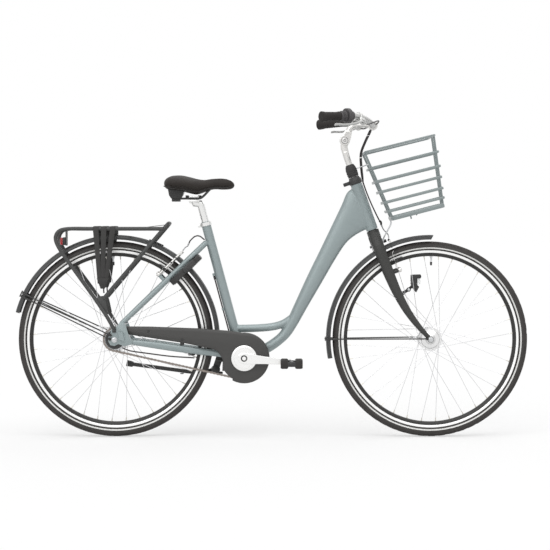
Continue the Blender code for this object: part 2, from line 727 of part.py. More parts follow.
def frame():
    """The welded frame, hollow in its seat, head and down tubes."""
    bore = SEATPOST_RADIUS + GAP
    head = cylinder(HEAD_BOTTOM, HEAD_TOP, HEAD_TUBE_RADIUS, 20)
    shell = cylinder(BRACKET - SIDE * BRACKET_SHELL_HALF, BRACKET + SIDE * BRACKET_SHELL_HALF,
                     BRACKET_SHELL_RADIUS, 16)
    seat = cylinder(SEAT_FOOT, SEAT_TOP, SEAT_TUBE_RADIUS, 16)
    strut_start = SEAT_FOOT + SEAT_UP * 0.106
    strut_line = [BRACKET + Vector((x, 0.0, z)) for x, z in STRUT_KNOTS]
    strut = rod(smooth_line([strut_start] + strut_line, 0.030), STRUT_RADIUS, 3)
    made = unite(down_tube(0.0), head, shell, seat, strut)
    for side in (-1, 1):
        made = unite(made, chain_stay(side), seat_stay(side), dropout(side), rear_boss(side))
    bridge = cylinder(stay_point(STAY_BRIDGE_AT, -STAY_BRIDGE_Y), stay_point(STAY_BRIDGE_AT, STAY_BRIDGE_Y),
                      STAY_BRIDGE_RADIUS, 10)
    made = unite(made, bridge, kickstand_bracket())
    seat_bore = cylinder(SEAT_FOOT + SEAT_UP * 0.060, SEAT_TOP + SEAT_UP * 0.01, bore, 16)
    head_bore = cylinder(HEAD_BOTTOM - STEER_UP * 0.01, HEAD_TOP + STEER_UP * 0.01,
                         STEERER_RADIUS + RUNNING_GAP, 16)
    shell_bore = cylinder(BRACKET - SIDE * (BRACKET_SHELL_HALF + 0.01),
                          BRACKET + SIDE * (BRACKET_SHELL_HALF + 0.01), SPINDLE_RADIUS + GAP, 16)
    made = cut(made, down_tube(TUBE_WALL), seat_bore, head_bore, shell_bore)
    return finish(made, "frame", FRAME_PAINT)


def seat_collar():
    """The clamp ring round the top of the seat tube, with its bolt behind."""
    inner = SEAT_TUBE_RADIUS + GAP
    outer = inner + 0.003
    profile = [(outer, 0.007), (outer, -0.007), (inner, -0.007), (inner, 0.007)]
    middle = SEAT_TOP - SEAT_UP * 0.009
    ring = turned([(radius, height) for radius, height in reversed(profile)], middle, 20, SEAT_UP,
                  closed=True)
    back = Vector((-SEAT_UP.z, 0.0, SEAT_UP.x))
    ears = beam(middle + back * (outer - 0.0012), middle + back * (outer + 0.009), 0.014, 0.011)
    bolt_at = middle + back * (outer + 0.0045)
    bolt = cylinder(bolt_at - SIDE * 0.013, bolt_at + SIDE * 0.013, 0.0030, 8)
    return finish(unite(ring, ears, bolt), "seat_collar", SILVER)


def seatpost():
    """The straight post with the rail clamp on its head."""
    top = SEAT_TOP + SEAT_UP * 0.078
    made = cylinder(SEAT_TOP - SEAT_UP * SEATPOST_DEPTH, top, SEATPOST_RADIUS, 16)
    head = SEAT_RAIL_MIDDLE
    neck = cylinder(top - SEAT_UP * 0.012, head - Vector((0.0, 0.0, 0.009)), 0.0125, 12)
    lower = block(head - Vector((0.0, 0.0, RAIL_RADIUS + GAP + 0.004)), (0.036, 0.056, 0.008))
    made = unite(made, neck, lower)
    return finish(made, "seatpost", SILVER, SEAT_TOP)


SEAT_RAIL_MIDDLE = place(0.282, RAIL_Z)

# Saddle sections: x, top, bottom, half width
SADDLE_SECTIONS = [
    (0.172, 0.918, 0.901, 0.050), (0.184, 0.931, 0.886, 0.074), (0.206, 0.9380, 0.880, 0.084),
    (0.238, 0.9370, 0.8775, 0.082), (0.268, 0.9300, 0.870, 0.068), (0.292, 0.9250, 0.8660, 0.050),
    (0.318, 0.9230, 0.8760, 0.034), (0.350, 0.9280, 0.8860, 0.026), (0.385, 0.9295, 0.8850, 0.023),
    (0.412, 0.9230, 0.8870, 0.018), (0.427, 0.9090, 0.8970, 0.009)]


def saddle():
    """The padded cover: wide behind, dipped in the middle, with a blunt nose."""
    rings = []
    for x, top, low, half in SADDLE_SECTIONS:
        rings.append(oval(place(x, (top + low) / 2), Vector((0.0, 0.0, (top - low) / 2)), SIDE * half, 14))
    return finish(loft(rings), "saddle", SADDLE_COVER, sharp=60.0)


def saddle_rails():
    """Two steel rails, the rubber springs behind and the bridge under the nose."""
    made = block(place(0.2165, 0.8645), (0.050, 0.076, 0.024))
    foot = block(place(0.2175, 0.8475), (0.028, 0.060, 0.014))
    made = unite(made, foot)
    for side in (-1, 1):
        line = [place(0.222, RAIL_Z, side * RAIL_Y), place(0.302, RAIL_Z, side * RAIL_Y),
                place(0.315, RAIL_Z + 0.005, side * RAIL_Y), place(0.345, 0.8810, side * 0.012)]
        made = unite(made, rod(line, RAIL_RADIUS, 1))
    nose = cylinder(place(0.344, 0.8790, -0.0165), place(0.344, 0.8790, 0.0165), 0.0045, 8)
    made = unite(made, nose)
    return finish(made, "saddle_rails", BLACK_PLASTIC)


frame()
seat_collar()
seatpost()
saddle()
saddle_rails()


FORK_FOOT = FRONT_AXLE - STEER_FRONT * FORK_RAKE
CROWN_TOP = (HEAD_BOTTOM - FORK_FOOT).dot(STEER_UP) - GAP * 2


def fork_point(up, forward=0.0, y=0.0):
    """A point up the steering axis from the axle's level and forward of it."""
    return FORK_FOOT + STEER_UP * up + STEER_FRONT * forward + SIDE * y


def fork_leg(side):
    """One tapered leg, straight below the crown and swept forward to the axle."""
    outer = FORK_END_Y + FORK_END_THICKNESS / 2
    line = [(CROWN_TOP - 0.022, 0.0, 0.0180, 0.0190, 0.0120),
            (CROWN_TOP - 0.044, 0.0, 0.0290, 0.0200, 0.0125),
            (CROWN_TOP - 0.066, 0.001, 0.0400, 0.0200, 0.0118), (0.320, 0.0025, 0.0440, 0.0195, 0.0112),
            (0.262, 0.0045, 0.0465, 0.0180, 0.0105), (0.195, 0.0095, 0.0490, 0.0155, 0.0097),
            (0.131, 0.0195, 0.0515, 0.0130, 0.0088), (0.078, FORK_RAKE * 0.52, 0.0530, 0.0110, 0.0078),
            (0.040, FORK_RAKE * 0.73, outer, 0.0094, 0.0060), (0.018, FORK_RAKE * 0.88, outer, 0.0085,
                                                               0.0034),
            (0.004, FORK_RAKE * 0.97, outer, 0.0075, 0.0032)]
    middles = [fork_point(up, forward, side * y) for up, forward, y, _, _ in line]
    rings = []
    for index, (_, _, _, deep, wide) in enumerate(line):
        run = middles[min(index + 1, len(middles) - 1)] - middles[max(index - 1, 0)]
        square = Vector((-run.z, 0.0, run.x)).normalized()
        rings.append(oval(middles[index], square * deep, SIDE * wide, 10))
    return loft(rings)


def front_boss(side):
    """A brake boss on the front of a fork leg, with its pivot pin."""
    up = FRONT_PIVOT_UP
    stub = cylinder(fork_point(up, 0.006, side * BRAKE_PIVOT_Y),
                    fork_point(up, FRONT_BOSS_REACH, side * BRAKE_PIVOT_Y),
                    BRAKE_BOSS_RADIUS, 12)
    tip = FRONT_BOSS_REACH + BRAKE_ARM_THICKNESS + GAP * 2
    pin = cylinder(fork_point(up, FRONT_BOSS_REACH - 0.004, side * BRAKE_PIVOT_Y),
                   fork_point(up, tip, side * BRAKE_PIVOT_Y), BRAKE_PIN_RADIUS, 10)
    return unite(stub, pin)


FRONT_PIVOT_UP = sqrt(BRAKE_PIVOT_RADIUS ** 2 - (FORK_RAKE - FRONT_BOSS_REACH) ** 2)


def fork():
    """Steerer, sleeve crown, two legs with end plates, and the brake bosses."""
    made = cylinder(fork_point(CROWN_TOP - CROWN_LENGTH), fork_point(CROWN_TOP), HEAD_TUBE_RADIUS, 20)
    steerer = cylinder(fork_point(CROWN_TOP - 0.01), HEAD_TOP + STEER_UP * (CUP_HEIGHT - 0.004),
                       STEERER_RADIUS, 16)
    made = unite(made, steerer)
    for side in (-1, 1):
        end = cylinder(FRONT_AXLE + SIDE * side * FORK_END_Y,
                       FRONT_AXLE + SIDE * side * (FORK_END_Y + FORK_END_THICKNESS), 0.0095, 14)
        made = unite(made, fork_leg(side), end, front_boss(side))
    bore = cylinder(fork_point(0.30), HEAD_TOP + STEER_UP * 0.05, QUILL_RADIUS + GAP, 14)
    reach = FORK_END_Y + FORK_END_THICKNESS + 0.01
    axle_hole = cylinder(FRONT_AXLE - SIDE * reach, FRONT_AXLE + SIDE * reach,
                         (AXLE_RADIUS + GAP) / cos(pi / 12), 12)
    return finish(cut(made, bore, axle_hole), "fork", DARK_PAINT, HEAD_BOTTOM)


def guard(axle, start, end):
    """A rolled mudguard strip round the wheel, from one angle to the other."""
    section = [(GUARD_RADIUS - GUARD_DEPTH, GUARD_HALF_WIDTH), (GUARD_RADIUS - GUARD_DEPTH * 0.45, 0.0212),
               (GUARD_RADIUS - GUARD_DEPTH * 0.1, 0.0120), (GUARD_RADIUS, 0.0)]
    section += [(radius, -y) for radius, y in reversed(section[:-1])]
    first = radians(start)
    shape = bmesh.new()
    knots = [shape.verts.new((radius * cos(first), -radius * sin(first), y)) for radius, y in section]
    for near, far in zip(knots, knots[1:]):
        shape.edges.new((near, far))
    made = from_bmesh("guard", shape)
    screw = made.modifiers.new("sweep", "SCREW")
    screw.angle = radians(start - end)
    screw.steps = ceil((start - end) / 10.0)
    screw.render_steps = screw.steps
    thick = made.modifiers.new("thick", "SOLIDIFY")
    thick.thickness = GUARD_THICKNESS
    thick.offset = 0.0
    made.rotation_euler = (-pi / 2, 0.0, 0.0)
    made.location = axle
    return face_outward(settle(made))


def rear_mudguard():
    """The rear mudguard, from behind the bottom bracket round to its tail."""
    return finish(guard(REAR_AXLE, REAR_GUARD_START, REAR_GUARD_END), "rear_mudguard", DARK_PAINT)


def front_mudguard():
    """The front mudguard with the bracket that bolts behind the fork crown."""
    made = guard(FRONT_AXLE, FRONT_GUARD_END, FRONT_GUARD_START)
    thickness = 0.0016
    back = -(HEAD_TUBE_RADIUS + GAP + thickness / 2)
    low = sqrt(GUARD_RADIUS ** 2 - (FORK_RAKE - back) ** 2)
    bracket = beam(fork_point(low - 0.001, back), fork_point(low + 0.052, back), 0.014, thickness)
    bolt = cylinder(fork_point(low + 0.018, back - 0.007), fork_point(low + 0.018, back), 0.0040, 8)
    return finish(unite(made, bracket, bolt), "front_mudguard", DARK_PAINT)


def guard_rod(axle, angle, foot):
    """A wire stay: from one dropout, round the outside of the guard, to the other dropout."""
    outside = GUARD_RADIUS + GUARD_THICKNESS / 2 + GUARD_ROD_RADIUS + GAP
    edge = wheel_point(axle, GUARD_RADIUS - GUARD_DEPTH, angle, GUARD_HALF_WIDTH + 0.0058)
    run = (edge - foot).normalized() * 0.022
    half = [foot, foot + Vector((run.x, 0.0, run.z)), edge,
            wheel_point(axle, outside - 0.0045, angle, GUARD_HALF_WIDTH + 0.0048),
            wheel_point(axle, outside, angle, 0.019)]
    return rod(half + [Vector((p.x, -p.y, p.z)) for p in reversed(half)], GUARD_ROD_RADIUS, 1)


def rear_mudguard_stays():
    """Two wire stays side by side, joined by the clip on the back of the guard."""
    y = REAR_DROPOUT_INNER + REAR_DROPOUT_THICKNESS + GUARD_ROD_RADIUS + GAP
    made = guard_rod(REAR_AXLE, 153.6, REAR_AXLE + Vector((-0.0145, y, 0.0170)))
    made = unite(made, guard_rod(REAR_AXLE, 155.6, REAR_AXLE + Vector((-0.0155, y, 0.0030))))
    out = GUARD_RADIUS + 0.0050
    clip = beam(wheel_point(REAR_AXLE, out, 152.9), wheel_point(REAR_AXLE, out, 156.3), 0.016, 0.0030)
    return finish(unite(made, clip), "rear_mudguard_stays", DARK_PAINT)


def front_mudguard_stay():
    """The single wire stay of the front mudguard."""
    y = FORK_END_Y + FORK_END_THICKNESS + 0.001 + GUARD_ROD_RADIUS + GAP
    made = guard_rod(FRONT_AXLE, 180.0, FRONT_AXLE + Vector((-0.0130, y, 0.0030)))
    out = GUARD_RADIUS + GUARD_THICKNESS / 2 + GAP + 0.0015
    made = unite(made, beam(wheel_point(FRONT_AXLE, out, 178.9), wheel_point(FRONT_AXLE, out, 181.1), 0.016,
                            0.0030))
    return finish(made, "front_mudguard_stay", DARK_PAINT)


def carrier_side(side):
    """One side of the carrier: the deck rail, the bend behind it and the leg to the dropout."""
    y = CARRIER_Y
    line = [place(0.172, CARRIER_DECK_Z, side * y), place(-0.150, CARRIER_DECK_Z, side * y),
            place(-0.184, CARRIER_DECK_Z - 0.008, side * y), place(-0.2075, CARRIER_DECK_Z - 0.030,
                                                                   side * y),
            place(-0.2080, CARRIER_DECK_Z - 0.058, side * (y + 0.001)),
            place(-0.190, CARRIER_DECK_Z - 0.086, side * (y + 0.003)), place(-0.0707, 0.499,
                                                                             side * (y + 0.013)),
            place(-0.028, 0.436, side * (CARRIER_LEG_Y - 0.001)), place(-0.0015, 0.3890,
                                                                        side * CARRIER_LEG_Y)]
    return rod([line[0]] + smooth_line(line[1:], 0.050), CARRIER_TUBE, 1)


def carrier():
    """The tube carrier: two sides, the raised front loop, cross bars and the lamp plate."""
    made = carrier_side(-1)
    made = unite(made, carrier_side(1))
    low = [place(-0.036, 0.500, CARRIER_Y + 0.0135), place(0.165, 0.7350, CARRIER_Y - 0.002),
           place(0.184, 0.757, 0.052), place(0.190, 0.764, 0.040), place(0.191, 0.765, 0.028)]
    loop = rod(low + [Vector((p.x, -p.y, p.z)) for p in reversed(low)], CARRIER_TUBE, 1)
    made = unite(made, loop)
    for x in (LAMP_PLATE_X, -0.060, 0.055):
        drop = 0.004 if x == LAMP_PLATE_X else 0.0
        bar = cylinder(place(x, CARRIER_DECK_Z - drop, -CARRIER_Y),
                       place(x, CARRIER_DECK_Z - drop, CARRIER_Y), 0.0045, 8)
        made = unite(made, bar)
    spine = beam(place(LAMP_PLATE_X, CARRIER_DECK_Z - 0.001), place(0.057, CARRIER_DECK_Z - 0.001), 0.020,
                 0.002)
    rise = beam(place(0.055, CARRIER_DECK_Z - 0.001), place(0.190, CARRIER_DECK_Z + 0.0155), 0.020, 0.002)
    guard_top = TYRE_RADIUS + GUARD_RADIUS + GUARD_THICKNESS / 2 + GAP
    foot = beam(place(0.0, guard_top), place(0.0, CARRIER_DECK_Z - 0.001), 0.016, 0.012)
    plate_low = 0.685
    lamp_plate = block(place(LAMP_PLATE_X, (plate_low + CARRIER_DECK_Z - 0.006) / 2),
                       (0.002, 0.060, CARRIER_DECK_Z - 0.006 - plate_low))
    made = unite(made, spine, rise, foot, lamp_plate)
    return finish(made, "carrier", DARK_PAINT)


def rear_light():
    """The rear lamp: a wide body with its lens behind and two screws through the plate."""
    front = LAMP_PLATE_X - 0.001 - GAP
    body = block(place(front - 0.010, 0.7010), (0.020, 0.080, 0.030))
    return finish(body, "rear_light", RED_PLASTIC)


def carrier_straps():
    """Three elastic bands over the deck, gathered in a hook on each side."""
    made = None
    out = CARRIER_Y + CARRIER_TUBE + GAP * 2 + STRAP_THICKNESS / 2
    top = CARRIER_DECK_Z + CARRIER_TUBE + GAP * 2 + STRAP_THICKNESS / 2
    hook_x, hook_z = STRAP_HOOK
    for index, x in enumerate(STRAP_X):
        low_x = hook_x + 0.011 * (index - 1)
        half = [(low_x, hook_z, out, 0.0045, SIDE), (x, CARRIER_DECK_Z, out, 0.0098, SIDE),
                (x, top, out - 0.001, 0.0098, Vector((0.0, 0.7, 0.7))), (x, top, CARRIER_Y - 0.006, 0.0098,
                                                                         Vector((0.0, 0.0, 1.0)))]
        rings = []
        for place_x, z, y, wide, normal in half + [(a, b, -c, d, Vector((0.0, -n.y, n.z))) for a, b, c, d,
                                                   n in reversed(half)]:
            across = Vector((wide, 0.0, 0.0))
            thick = normal * (STRAP_THICKNESS / 2)
            middle = place(place_x, z, y)
            rings.append([middle + across + thick, middle - across + thick, middle - across - thick,
                          middle + across - thick])
        band = loft(rings)
        made = band if made is None else unite(made, band)
    for side in (-1, 1):
        hook = block(place(hook_x, hook_z, side * out), (0.042, 0.0090, 0.038))
        pull = cylinder(place(hook_x + 0.006, hook_z - 0.010, side * out),
                        place(-0.0375, 0.5165, side * out), 0.0025, 8)
        made = unite(made, hook, pull)
    return finish(made, "carrier_straps", RUBBER)


fork()
axle_with_nuts("front_axle", FRONT_AXLE, FORK_END_Y, FORK_END_THICKNESS, AXLE_RADIUS)
rear_mudguard()
front_mudguard()
rear_mudguard_stays()
front_mudguard_stay()
carrier()
rear_light()
carrier_straps()


RUN_LENGTH = (BRACKET - REAR_AXLE).length
RUN_TILT = atan2(BRACKET_Z - TYRE_RADIUS, BRACKET_X)
WRAP_ANGLE = asin((CHAINRING_PITCH - SPROCKET_PITCH) / RUN_LENGTH)
CRANK_TURN = radians(CRANK_ANGLE)
CRANK_WAY = Vector((cos(CRANK_TURN), 0.0, sin(CRANK_TURN)))


def chain():
    """The closed chain, a channel section, round the chainring and the sprocket."""
    line = []
    ring_first = pi / 2 + RUN_TILT + WRAP_ANGLE
    ring_steps, sprocket_steps = 20, 11
    for index in range(ring_steps + 1):
        angle = ring_first - (pi + 2 * WRAP_ANGLE) * index / ring_steps
        line.append((BRACKET, CHAINRING_PITCH, angle))
    for index in range(sprocket_steps + 1):
        angle = ring_first - 2 * WRAP_ANGLE - pi - (pi - 2 * WRAP_ANGLE) * index / sprocket_steps
        line.append((REAR_AXLE, SPROCKET_PITCH, angle))
    inner = -CHAIN_HALF_HEIGHT
    groove = CHAIN_GROOVE_DEPTH
    section = [(inner, CHAIN_SLOT_HALF), (inner, CHAIN_HALF_WIDTH), (CHAIN_HALF_HEIGHT, CHAIN_HALF_WIDTH),
               (CHAIN_HALF_HEIGHT, -CHAIN_HALF_WIDTH), (inner, -CHAIN_HALF_WIDTH), (inner, -CHAIN_SLOT_HALF),
               (groove, -CHAIN_SLOT_HALF), (groove, CHAIN_SLOT_HALF)]
    rings = []
    for centre, radius, angle in line:
        out = Vector((cos(angle), 0.0, sin(angle)))
        rings.append([centre + out * (radius + off) - SIDE * (CHAIN_LINE - y) for off, y in section])
    return finish(closed_loft(rings), "chain", STEEL)


def toothed_disc(centre, teeth, pitch_radius, bore, turn):
    """A thin chain wheel: straight-sided teeth round its rim and a hole in its middle."""
    rim = []
    for index in range(teeth * 2):
        angle = turn + pi * index / teeth
        radius = pitch_radius + (0.0020 if index % 2 == 0 else -0.0034)
        rim.append((centre.x + radius * cos(angle) - REAR_X, centre.z + radius * sin(angle)))
    made = plate([rim], COG_THICKNESS, -CHAIN_LINE)
    hole = cylinder(centre - SIDE * (CHAIN_LINE + 0.01), centre - SIDE * (CHAIN_LINE - 0.01), bore, 20)
    return cut(made, hole)


def chainring():
    """The chainring, bored to sit on the boss of the right crank."""
    bore = (CRANK_BOSS_RADIUS + GAP) / cos(pi / 20)
    return finish(toothed_disc(BRACKET, CHAINRING_TEETH, CHAINRING_PITCH, bore, 0.0), "chainring", STEEL,
                  BRACKET)


def rear_sprocket():
    """The sprocket with its hub, loose on the rear axle as a freewheel is."""
    made = toothed_disc(REAR_AXLE, SPROCKET_TEETH, SPROCKET_PITCH, AXLE_RADIUS * 2, 0.0)
    near = cylinder(REAR_AXLE - SIDE * (REAR_HUB_RIGHT + RUNNING_GAP * 2), REAR_AXLE - SIDE * 0.0520,
                    0.0190, 20)
    bore = cylinder(REAR_AXLE - SIDE * 0.030, REAR_AXLE - SIDE * 0.060,
                    (AXLE_RADIUS + RUNNING_GAP) / cos(pi / 12), 12)
    return finish(cut(unite(made, near), bore), "rear_sprocket", STEEL, REAR_AXLE, 30)


def crank(side, name):
    """One crank arm with its boss; the right one carries a round plate behind the arm."""
    way = CRANK_WAY * (1.0 if side < 0 else -1.0)
    inner = BRACKET + SIDE * side * CRANK_INNER_Y
    arm_y = CRANK_INNER_Y + CRANK_ARM_OFFSET + CRANK_ARM_THICKNESS / 2
    pedal = BRACKET + way * CRANK_LENGTH + SIDE * side * arm_y
    rings = []
    for along, deep in ((-0.020, 0.010), (-0.013, 0.032), (0.0, 0.038), (0.020, 0.036), (0.050, 0.029),
                        (0.120, 0.0235),
                        (0.155, 0.024), (0.170, 0.027), (0.181, 0.022), (0.1855, 0.011)):
        middle = BRACKET + way * along + SIDE * side * arm_y
        up = Vector((-way.z, 0.0, way.x)) * (deep / 2)
        half = SIDE * side * (CRANK_ARM_THICKNESS / 2)
        ease = 0.72
        rings.append([middle + up * ease + half, middle - up * ease + half, middle - up + half * 0.4,
                      middle - up - half, middle + up - half, middle + up + half * 0.4])
    made = loft(rings)
    outer = arm_y - CRANK_ARM_THICKNESS / 2 + 0.002
    if side < 0:
        disc = cylinder(inner, BRACKET + SIDE * side * outer, CRANK_PLATE_RADIUS, 28)
        boss = cylinder(BRACKET + SIDE * side * (BRACKET_SHELL_HALF + 0.0070), inner + SIDE * side * 0.002,
                        CRANK_BOSS_RADIUS, 20)
        made = unite(made, disc, boss)
    else:
        boss = cylinder(BRACKET + SIDE * side * (CRANK_INNER_Y - 0.010), BRACKET + SIDE * side * outer,
                        CRANK_BOSS_RADIUS, 20)
        made = unite(made, boss)
    end = PEDAL_INNER_Y + PEDAL_WIDTH - 0.004
    spindle = cylinder(pedal, BRACKET + way * CRANK_LENGTH + SIDE * side * end, PEDAL_AXLE_RADIUS, 10)
    collar = cylinder(pedal, BRACKET + way * CRANK_LENGTH + SIDE * side * (PEDAL_INNER_Y - RUNNING_GAP),
                      0.0080, 10)
    socket = cylinder(BRACKET, BRACKET + SIDE * side * (CRANK_INNER_Y + 0.0035),
                      (SPINDLE_RADIUS + GAP) / cos(pi / 12), 12)
    return finish(cut(unite(made, spindle, collar), socket), name, SILVER, BRACKET)


def crank_spindle():
    """The bottom bracket spindle that joins the two cranks through the shell."""
    reach = CRANK_INNER_Y + 0.0035 - GAP * 2
    made = cylinder(BRACKET - SIDE * reach, BRACKET + SIDE * reach, SPINDLE_RADIUS, 12)
    return finish(made, "crank_spindle", STEEL, BRACKET)


def pedal(side, name):
    """A platform pedal: two blocks and end plates round the tube that turns on the spindle."""
    way = CRANK_WAY * (1.0 if side < 0 else -1.0)
    centre = BRACKET + way * CRANK_LENGTH
    inner, outer = PEDAL_INNER_Y, PEDAL_INNER_Y + PEDAL_WIDTH
    made = cylinder(centre + SIDE * side * inner, centre + SIDE * side * outer, PEDAL_TUBE_RADIUS, 12)
    middle = centre + SIDE * side * (inner + outer) / 2
    for forward in (-1, 1):
        tread = block(middle + Vector((forward * (PEDAL_LENGTH / 2 - 0.0135), 0.0, 0.0)),
                      (0.027, PEDAL_WIDTH, PEDAL_HEIGHT))
        made = unite(made, tread)
    for y in (inner + 0.004, outer - 0.004):
        bridge = block(centre + SIDE * side * y, (PEDAL_LENGTH - 0.027, 0.008, PEDAL_HEIGHT * 0.6))
        made = unite(made, bridge)
    bore = cylinder(centre + SIDE * side * (inner - 0.005), centre + SIDE * side * (outer - 0.0015),
                    (PEDAL_AXLE_RADIUS + RUNNING_GAP) / cos(pi / 12), 12)
    return finish(cut(made, bore), name, BLACK_PLASTIC, centre)


def case_edge(grow):
    """The chain case's side-view outline, drawn in by grow all round."""
    top_angle = 78.0
    line = [(0.0379, 0.3965), (0.127, 0.3960), (0.299, 0.3895), (0.4138, 0.3805)]
    radius = CASE_RADIUS
    for step in range(17):
        angle = radians(top_angle - step * 14.5)
        line.append((BRACKET_X + radius * cos(angle), BRACKET_Z + radius * sin(angle)))
    line += [(0.3788, 0.2885), (0.366, 0.3080), (0.3374, 0.3193), (0.2417, 0.3382), (0.0757, 0.3639),
             (0.0385, 0.3705)]
    shrunk = []
    for index, (x, z) in enumerate(line):
        before, after = line[index - 1], line[(index + 1) % len(line)]
        run_in = Vector((x - before[0], z - before[1])).normalized()
        run_out = Vector((after[0] - x, after[1] - z)).normalized()
        inward = (Vector((run_in.y, -run_in.x)) + Vector((run_out.y, -run_out.x)))
        inward = inward / max(inward.length, 0.001) / max(cos(run_in.angle(run_out) / 2), 0.5)
        shrunk.append((x + inward.x * grow, z + inward.y * grow))
    return shrunk


def chain_case():
    """The chain case: a side plate with a turned-in wall, open on the frame's side."""
    outer, inner = case_edge(0.0), case_edge(CASE_THICKNESS)
    middle = -(CASE_OUTER_Y + CASE_WALL_Y) / 2
    made = plate([outer], CASE_OUTER_Y - CASE_WALL_Y, middle)
    hollow = plate([inner], CASE_OUTER_Y - CASE_WALL_Y, middle + CASE_THICKNESS)
    made = cut(made, hollow)
    hole = cylinder(BRACKET - SIDE * 0.03, BRACKET - SIDE * 0.08, CRANK_BOSS_RADIUS + 0.004, 16)
    down = radians(180.0 + 45.0)
    notch_middle = BRACKET + Vector((cos(down), 0.0, sin(down))) * CASE_RADIUS
    notch = block(notch_middle - SIDE * 0.0445, (0.044, 0.0280, 0.036))
    mouth_top, mouth_low = 0.3965 - CASE_THICKNESS, 0.3705 + CASE_THICKNESS
    mouth = block(place(0.0380, (mouth_top + mouth_low) / 2, -0.0445),
                  (0.012, 0.0280, mouth_top - mouth_low))
    foot = block(place(0.2400, 0.3346, -0.0453), (0.014, 0.012, 0.0102))
    return finish(cut(unite(made, foot), hole, notch, mouth), "chain_case", DARK_PAINT)


def kickstand():
    """The kickstand folded up: its leg, foot and the eye on the pivot pin."""
    foot_top = place(0.0520, 0.2540, 0.0690)
    foot_end = place(0.0330, 0.2580, 0.0700)
    made = cylinder(KICK_PIVOT - KICK_AXIS * 0.008, KICK_PIVOT + KICK_AXIS * 0.008, 0.0110, 14)
    knee = KICK_PIVOT + Vector((-0.016, 0.004, -0.0060))
    leg = rod([KICK_PIVOT + Vector((-0.004, 0.0, -0.002)), knee, place(0.2687, 0.2265, 0.0560), foot_top],
              0.0072, 1)
    foot = cylinder(foot_top, foot_end, 0.0100, 10, 0.0120)
    screw = cylinder(place(0.2340, 0.2275, 0.0560), place(0.2340, 0.2190, 0.0560), 0.0045, 8)
    bore = cylinder(KICK_PIVOT - KICK_AXIS * 0.02, KICK_PIVOT + KICK_AXIS * 0.02,
                    (KICK_PIN_RADIUS + GAP) / cos(pi / 12), 12)
    return finish(cut(unite(made, leg, foot, screw), bore), "kickstand", BLACK_PLASTIC, KICK_PIVOT)


chain()
chainring()
rear_sprocket()
crank(-1, "crank_right")
crank(1, "crank_left")
crank_spindle()
pedal(-1, "pedal_right")
pedal(1, "pedal_left")
chain_case()
kickstand()


def headset_cup():
    """The cover round the top headset bearing, with the stop at its back."""
    bore = STEERER_RADIUS + RUNNING_GAP * 2
    profile = [(bore, GAP), (CUP_RADIUS, GAP), (CUP_RADIUS, 0.016), (0.0190, CUP_HEIGHT), (bore, CUP_HEIGHT)]
    made = turned(profile, HEAD_TOP, 20, STEER_UP, closed=True)
    low = HEAD_TOP + STEER_UP * 0.0100
    stop = beam(low - STEER_FRONT * 0.0190, low - STEER_FRONT * 0.0440, 0.014, 0.014)
    return finish(unite(made, stop), "headset_cup", BLACK_PLASTIC)


def lock_point(angle, radius, off=0.0):
    """A point in the ring lock's plane: the angle runs from straight up the stays to the left."""
    drop = -(SEAT_STAY_RADIUS * cos(pi / 8) + LOCK_THICKNESS / 2 + GAP)
    turn = radians(angle)
    return stay_point(stay_distance(LOCK_CENTRE_RADIUS) + radius * cos(turn), radius * sin(turn), drop + off)


def lock_arc(start, end, inner, outer, half):
    """A flat arc bar in the lock's plane."""
    steps = ceil((end - start) / 20.0)
    rings = []
    for index in range(steps + 1):
        angle = start + (end - start) * index / steps
        rings.append([lock_point(angle, outer, half), lock_point(angle, inner, half),
                      lock_point(angle, inner, -half), lock_point(angle, outer, -half)])
    return loft(rings)


def ring_lock():
    """The ring lock's horseshoe with its body, key cylinder and the channel for the bolt."""
    reach = 180.0 - LOCK_MOUTH_ANGLE
    made = lock_arc(-reach, reach, LOCK_RADIUS - LOCK_HALF_WIDTH, LOCK_RADIUS + LOCK_HALF_WIDTH,
                    LOCK_THICKNESS / 2)
    body = beam(lock_point(0.0, LOCK_RADIUS - LOCK_HALF_WIDTH + 0.001), lock_point(0.0, 0.083), 0.092,
                LOCK_THICKNESS)
    barrel = cylinder(lock_point(-80.0, LOCK_RADIUS + 0.002), lock_point(-80.0, 0.088), 0.0100, 12)
    made = unite(made, body, barrel)
    hole = (LOCK_BOLT_RADIUS + RUNNING_GAP) / cos(pi / 6)
    left = rod([lock_point(LOCK_BOLT_START - 4.0 + 8.0 * step, LOCK_RADIUS) for step in range(14)], hole, 1)
    right = rod([lock_point(angle, LOCK_RADIUS) for angle in (210.0, 218.0, 226.0, 232.0)], hole, 1)
    slot = lock_arc(LOCK_BOLT_START - 2.0, reach + 2.0, LOCK_RADIUS, LOCK_RADIUS + LOCK_HALF_WIDTH + 0.002,
                    0.0028)
    return finish(cut(made, left, right, slot), "ring_lock", DARK_PAINT)


def ring_lock_bolt():
    """The curved bolt of the ring lock, open, with the tab that pushes it round."""
    steps = 11
    span = (LOCK_BOLT_END - LOCK_BOLT_START) / steps
    made = rod([lock_point(LOCK_BOLT_START + span * step, LOCK_RADIUS) for step in range(steps + 1)],
               LOCK_BOLT_RADIUS, 1)
    turn = LOCK_BOLT_START + 4.0
    tab = cylinder(lock_point(turn, LOCK_RADIUS), lock_point(turn, LOCK_RADIUS + 0.016), 0.0022, 6)
    knob = cylinder(lock_point(turn, LOCK_RADIUS + LOCK_HALF_WIDTH + 0.002),
                    lock_point(turn, LOCK_RADIUS + LOCK_HALF_WIDTH + 0.012), 0.0070, 10)
    return finish(unite(made, tab, knob), "ring_lock_bolt", STEEL, lock_point(0.0, 0.0))


def rear_arm_point(up, off, y):
    """A point of a rear brake arm: up from its pivot, behind the stay line, and across."""
    return stay_point(stay_distance(BRAKE_PIVOT_RADIUS) + up, y, off)


def front_arm_point(up, off, y):
    """A point of a front brake arm: up from its pivot, ahead of the steering axis, and across."""
    return fork_point(FRONT_PIVOT_UP + up, off, y)


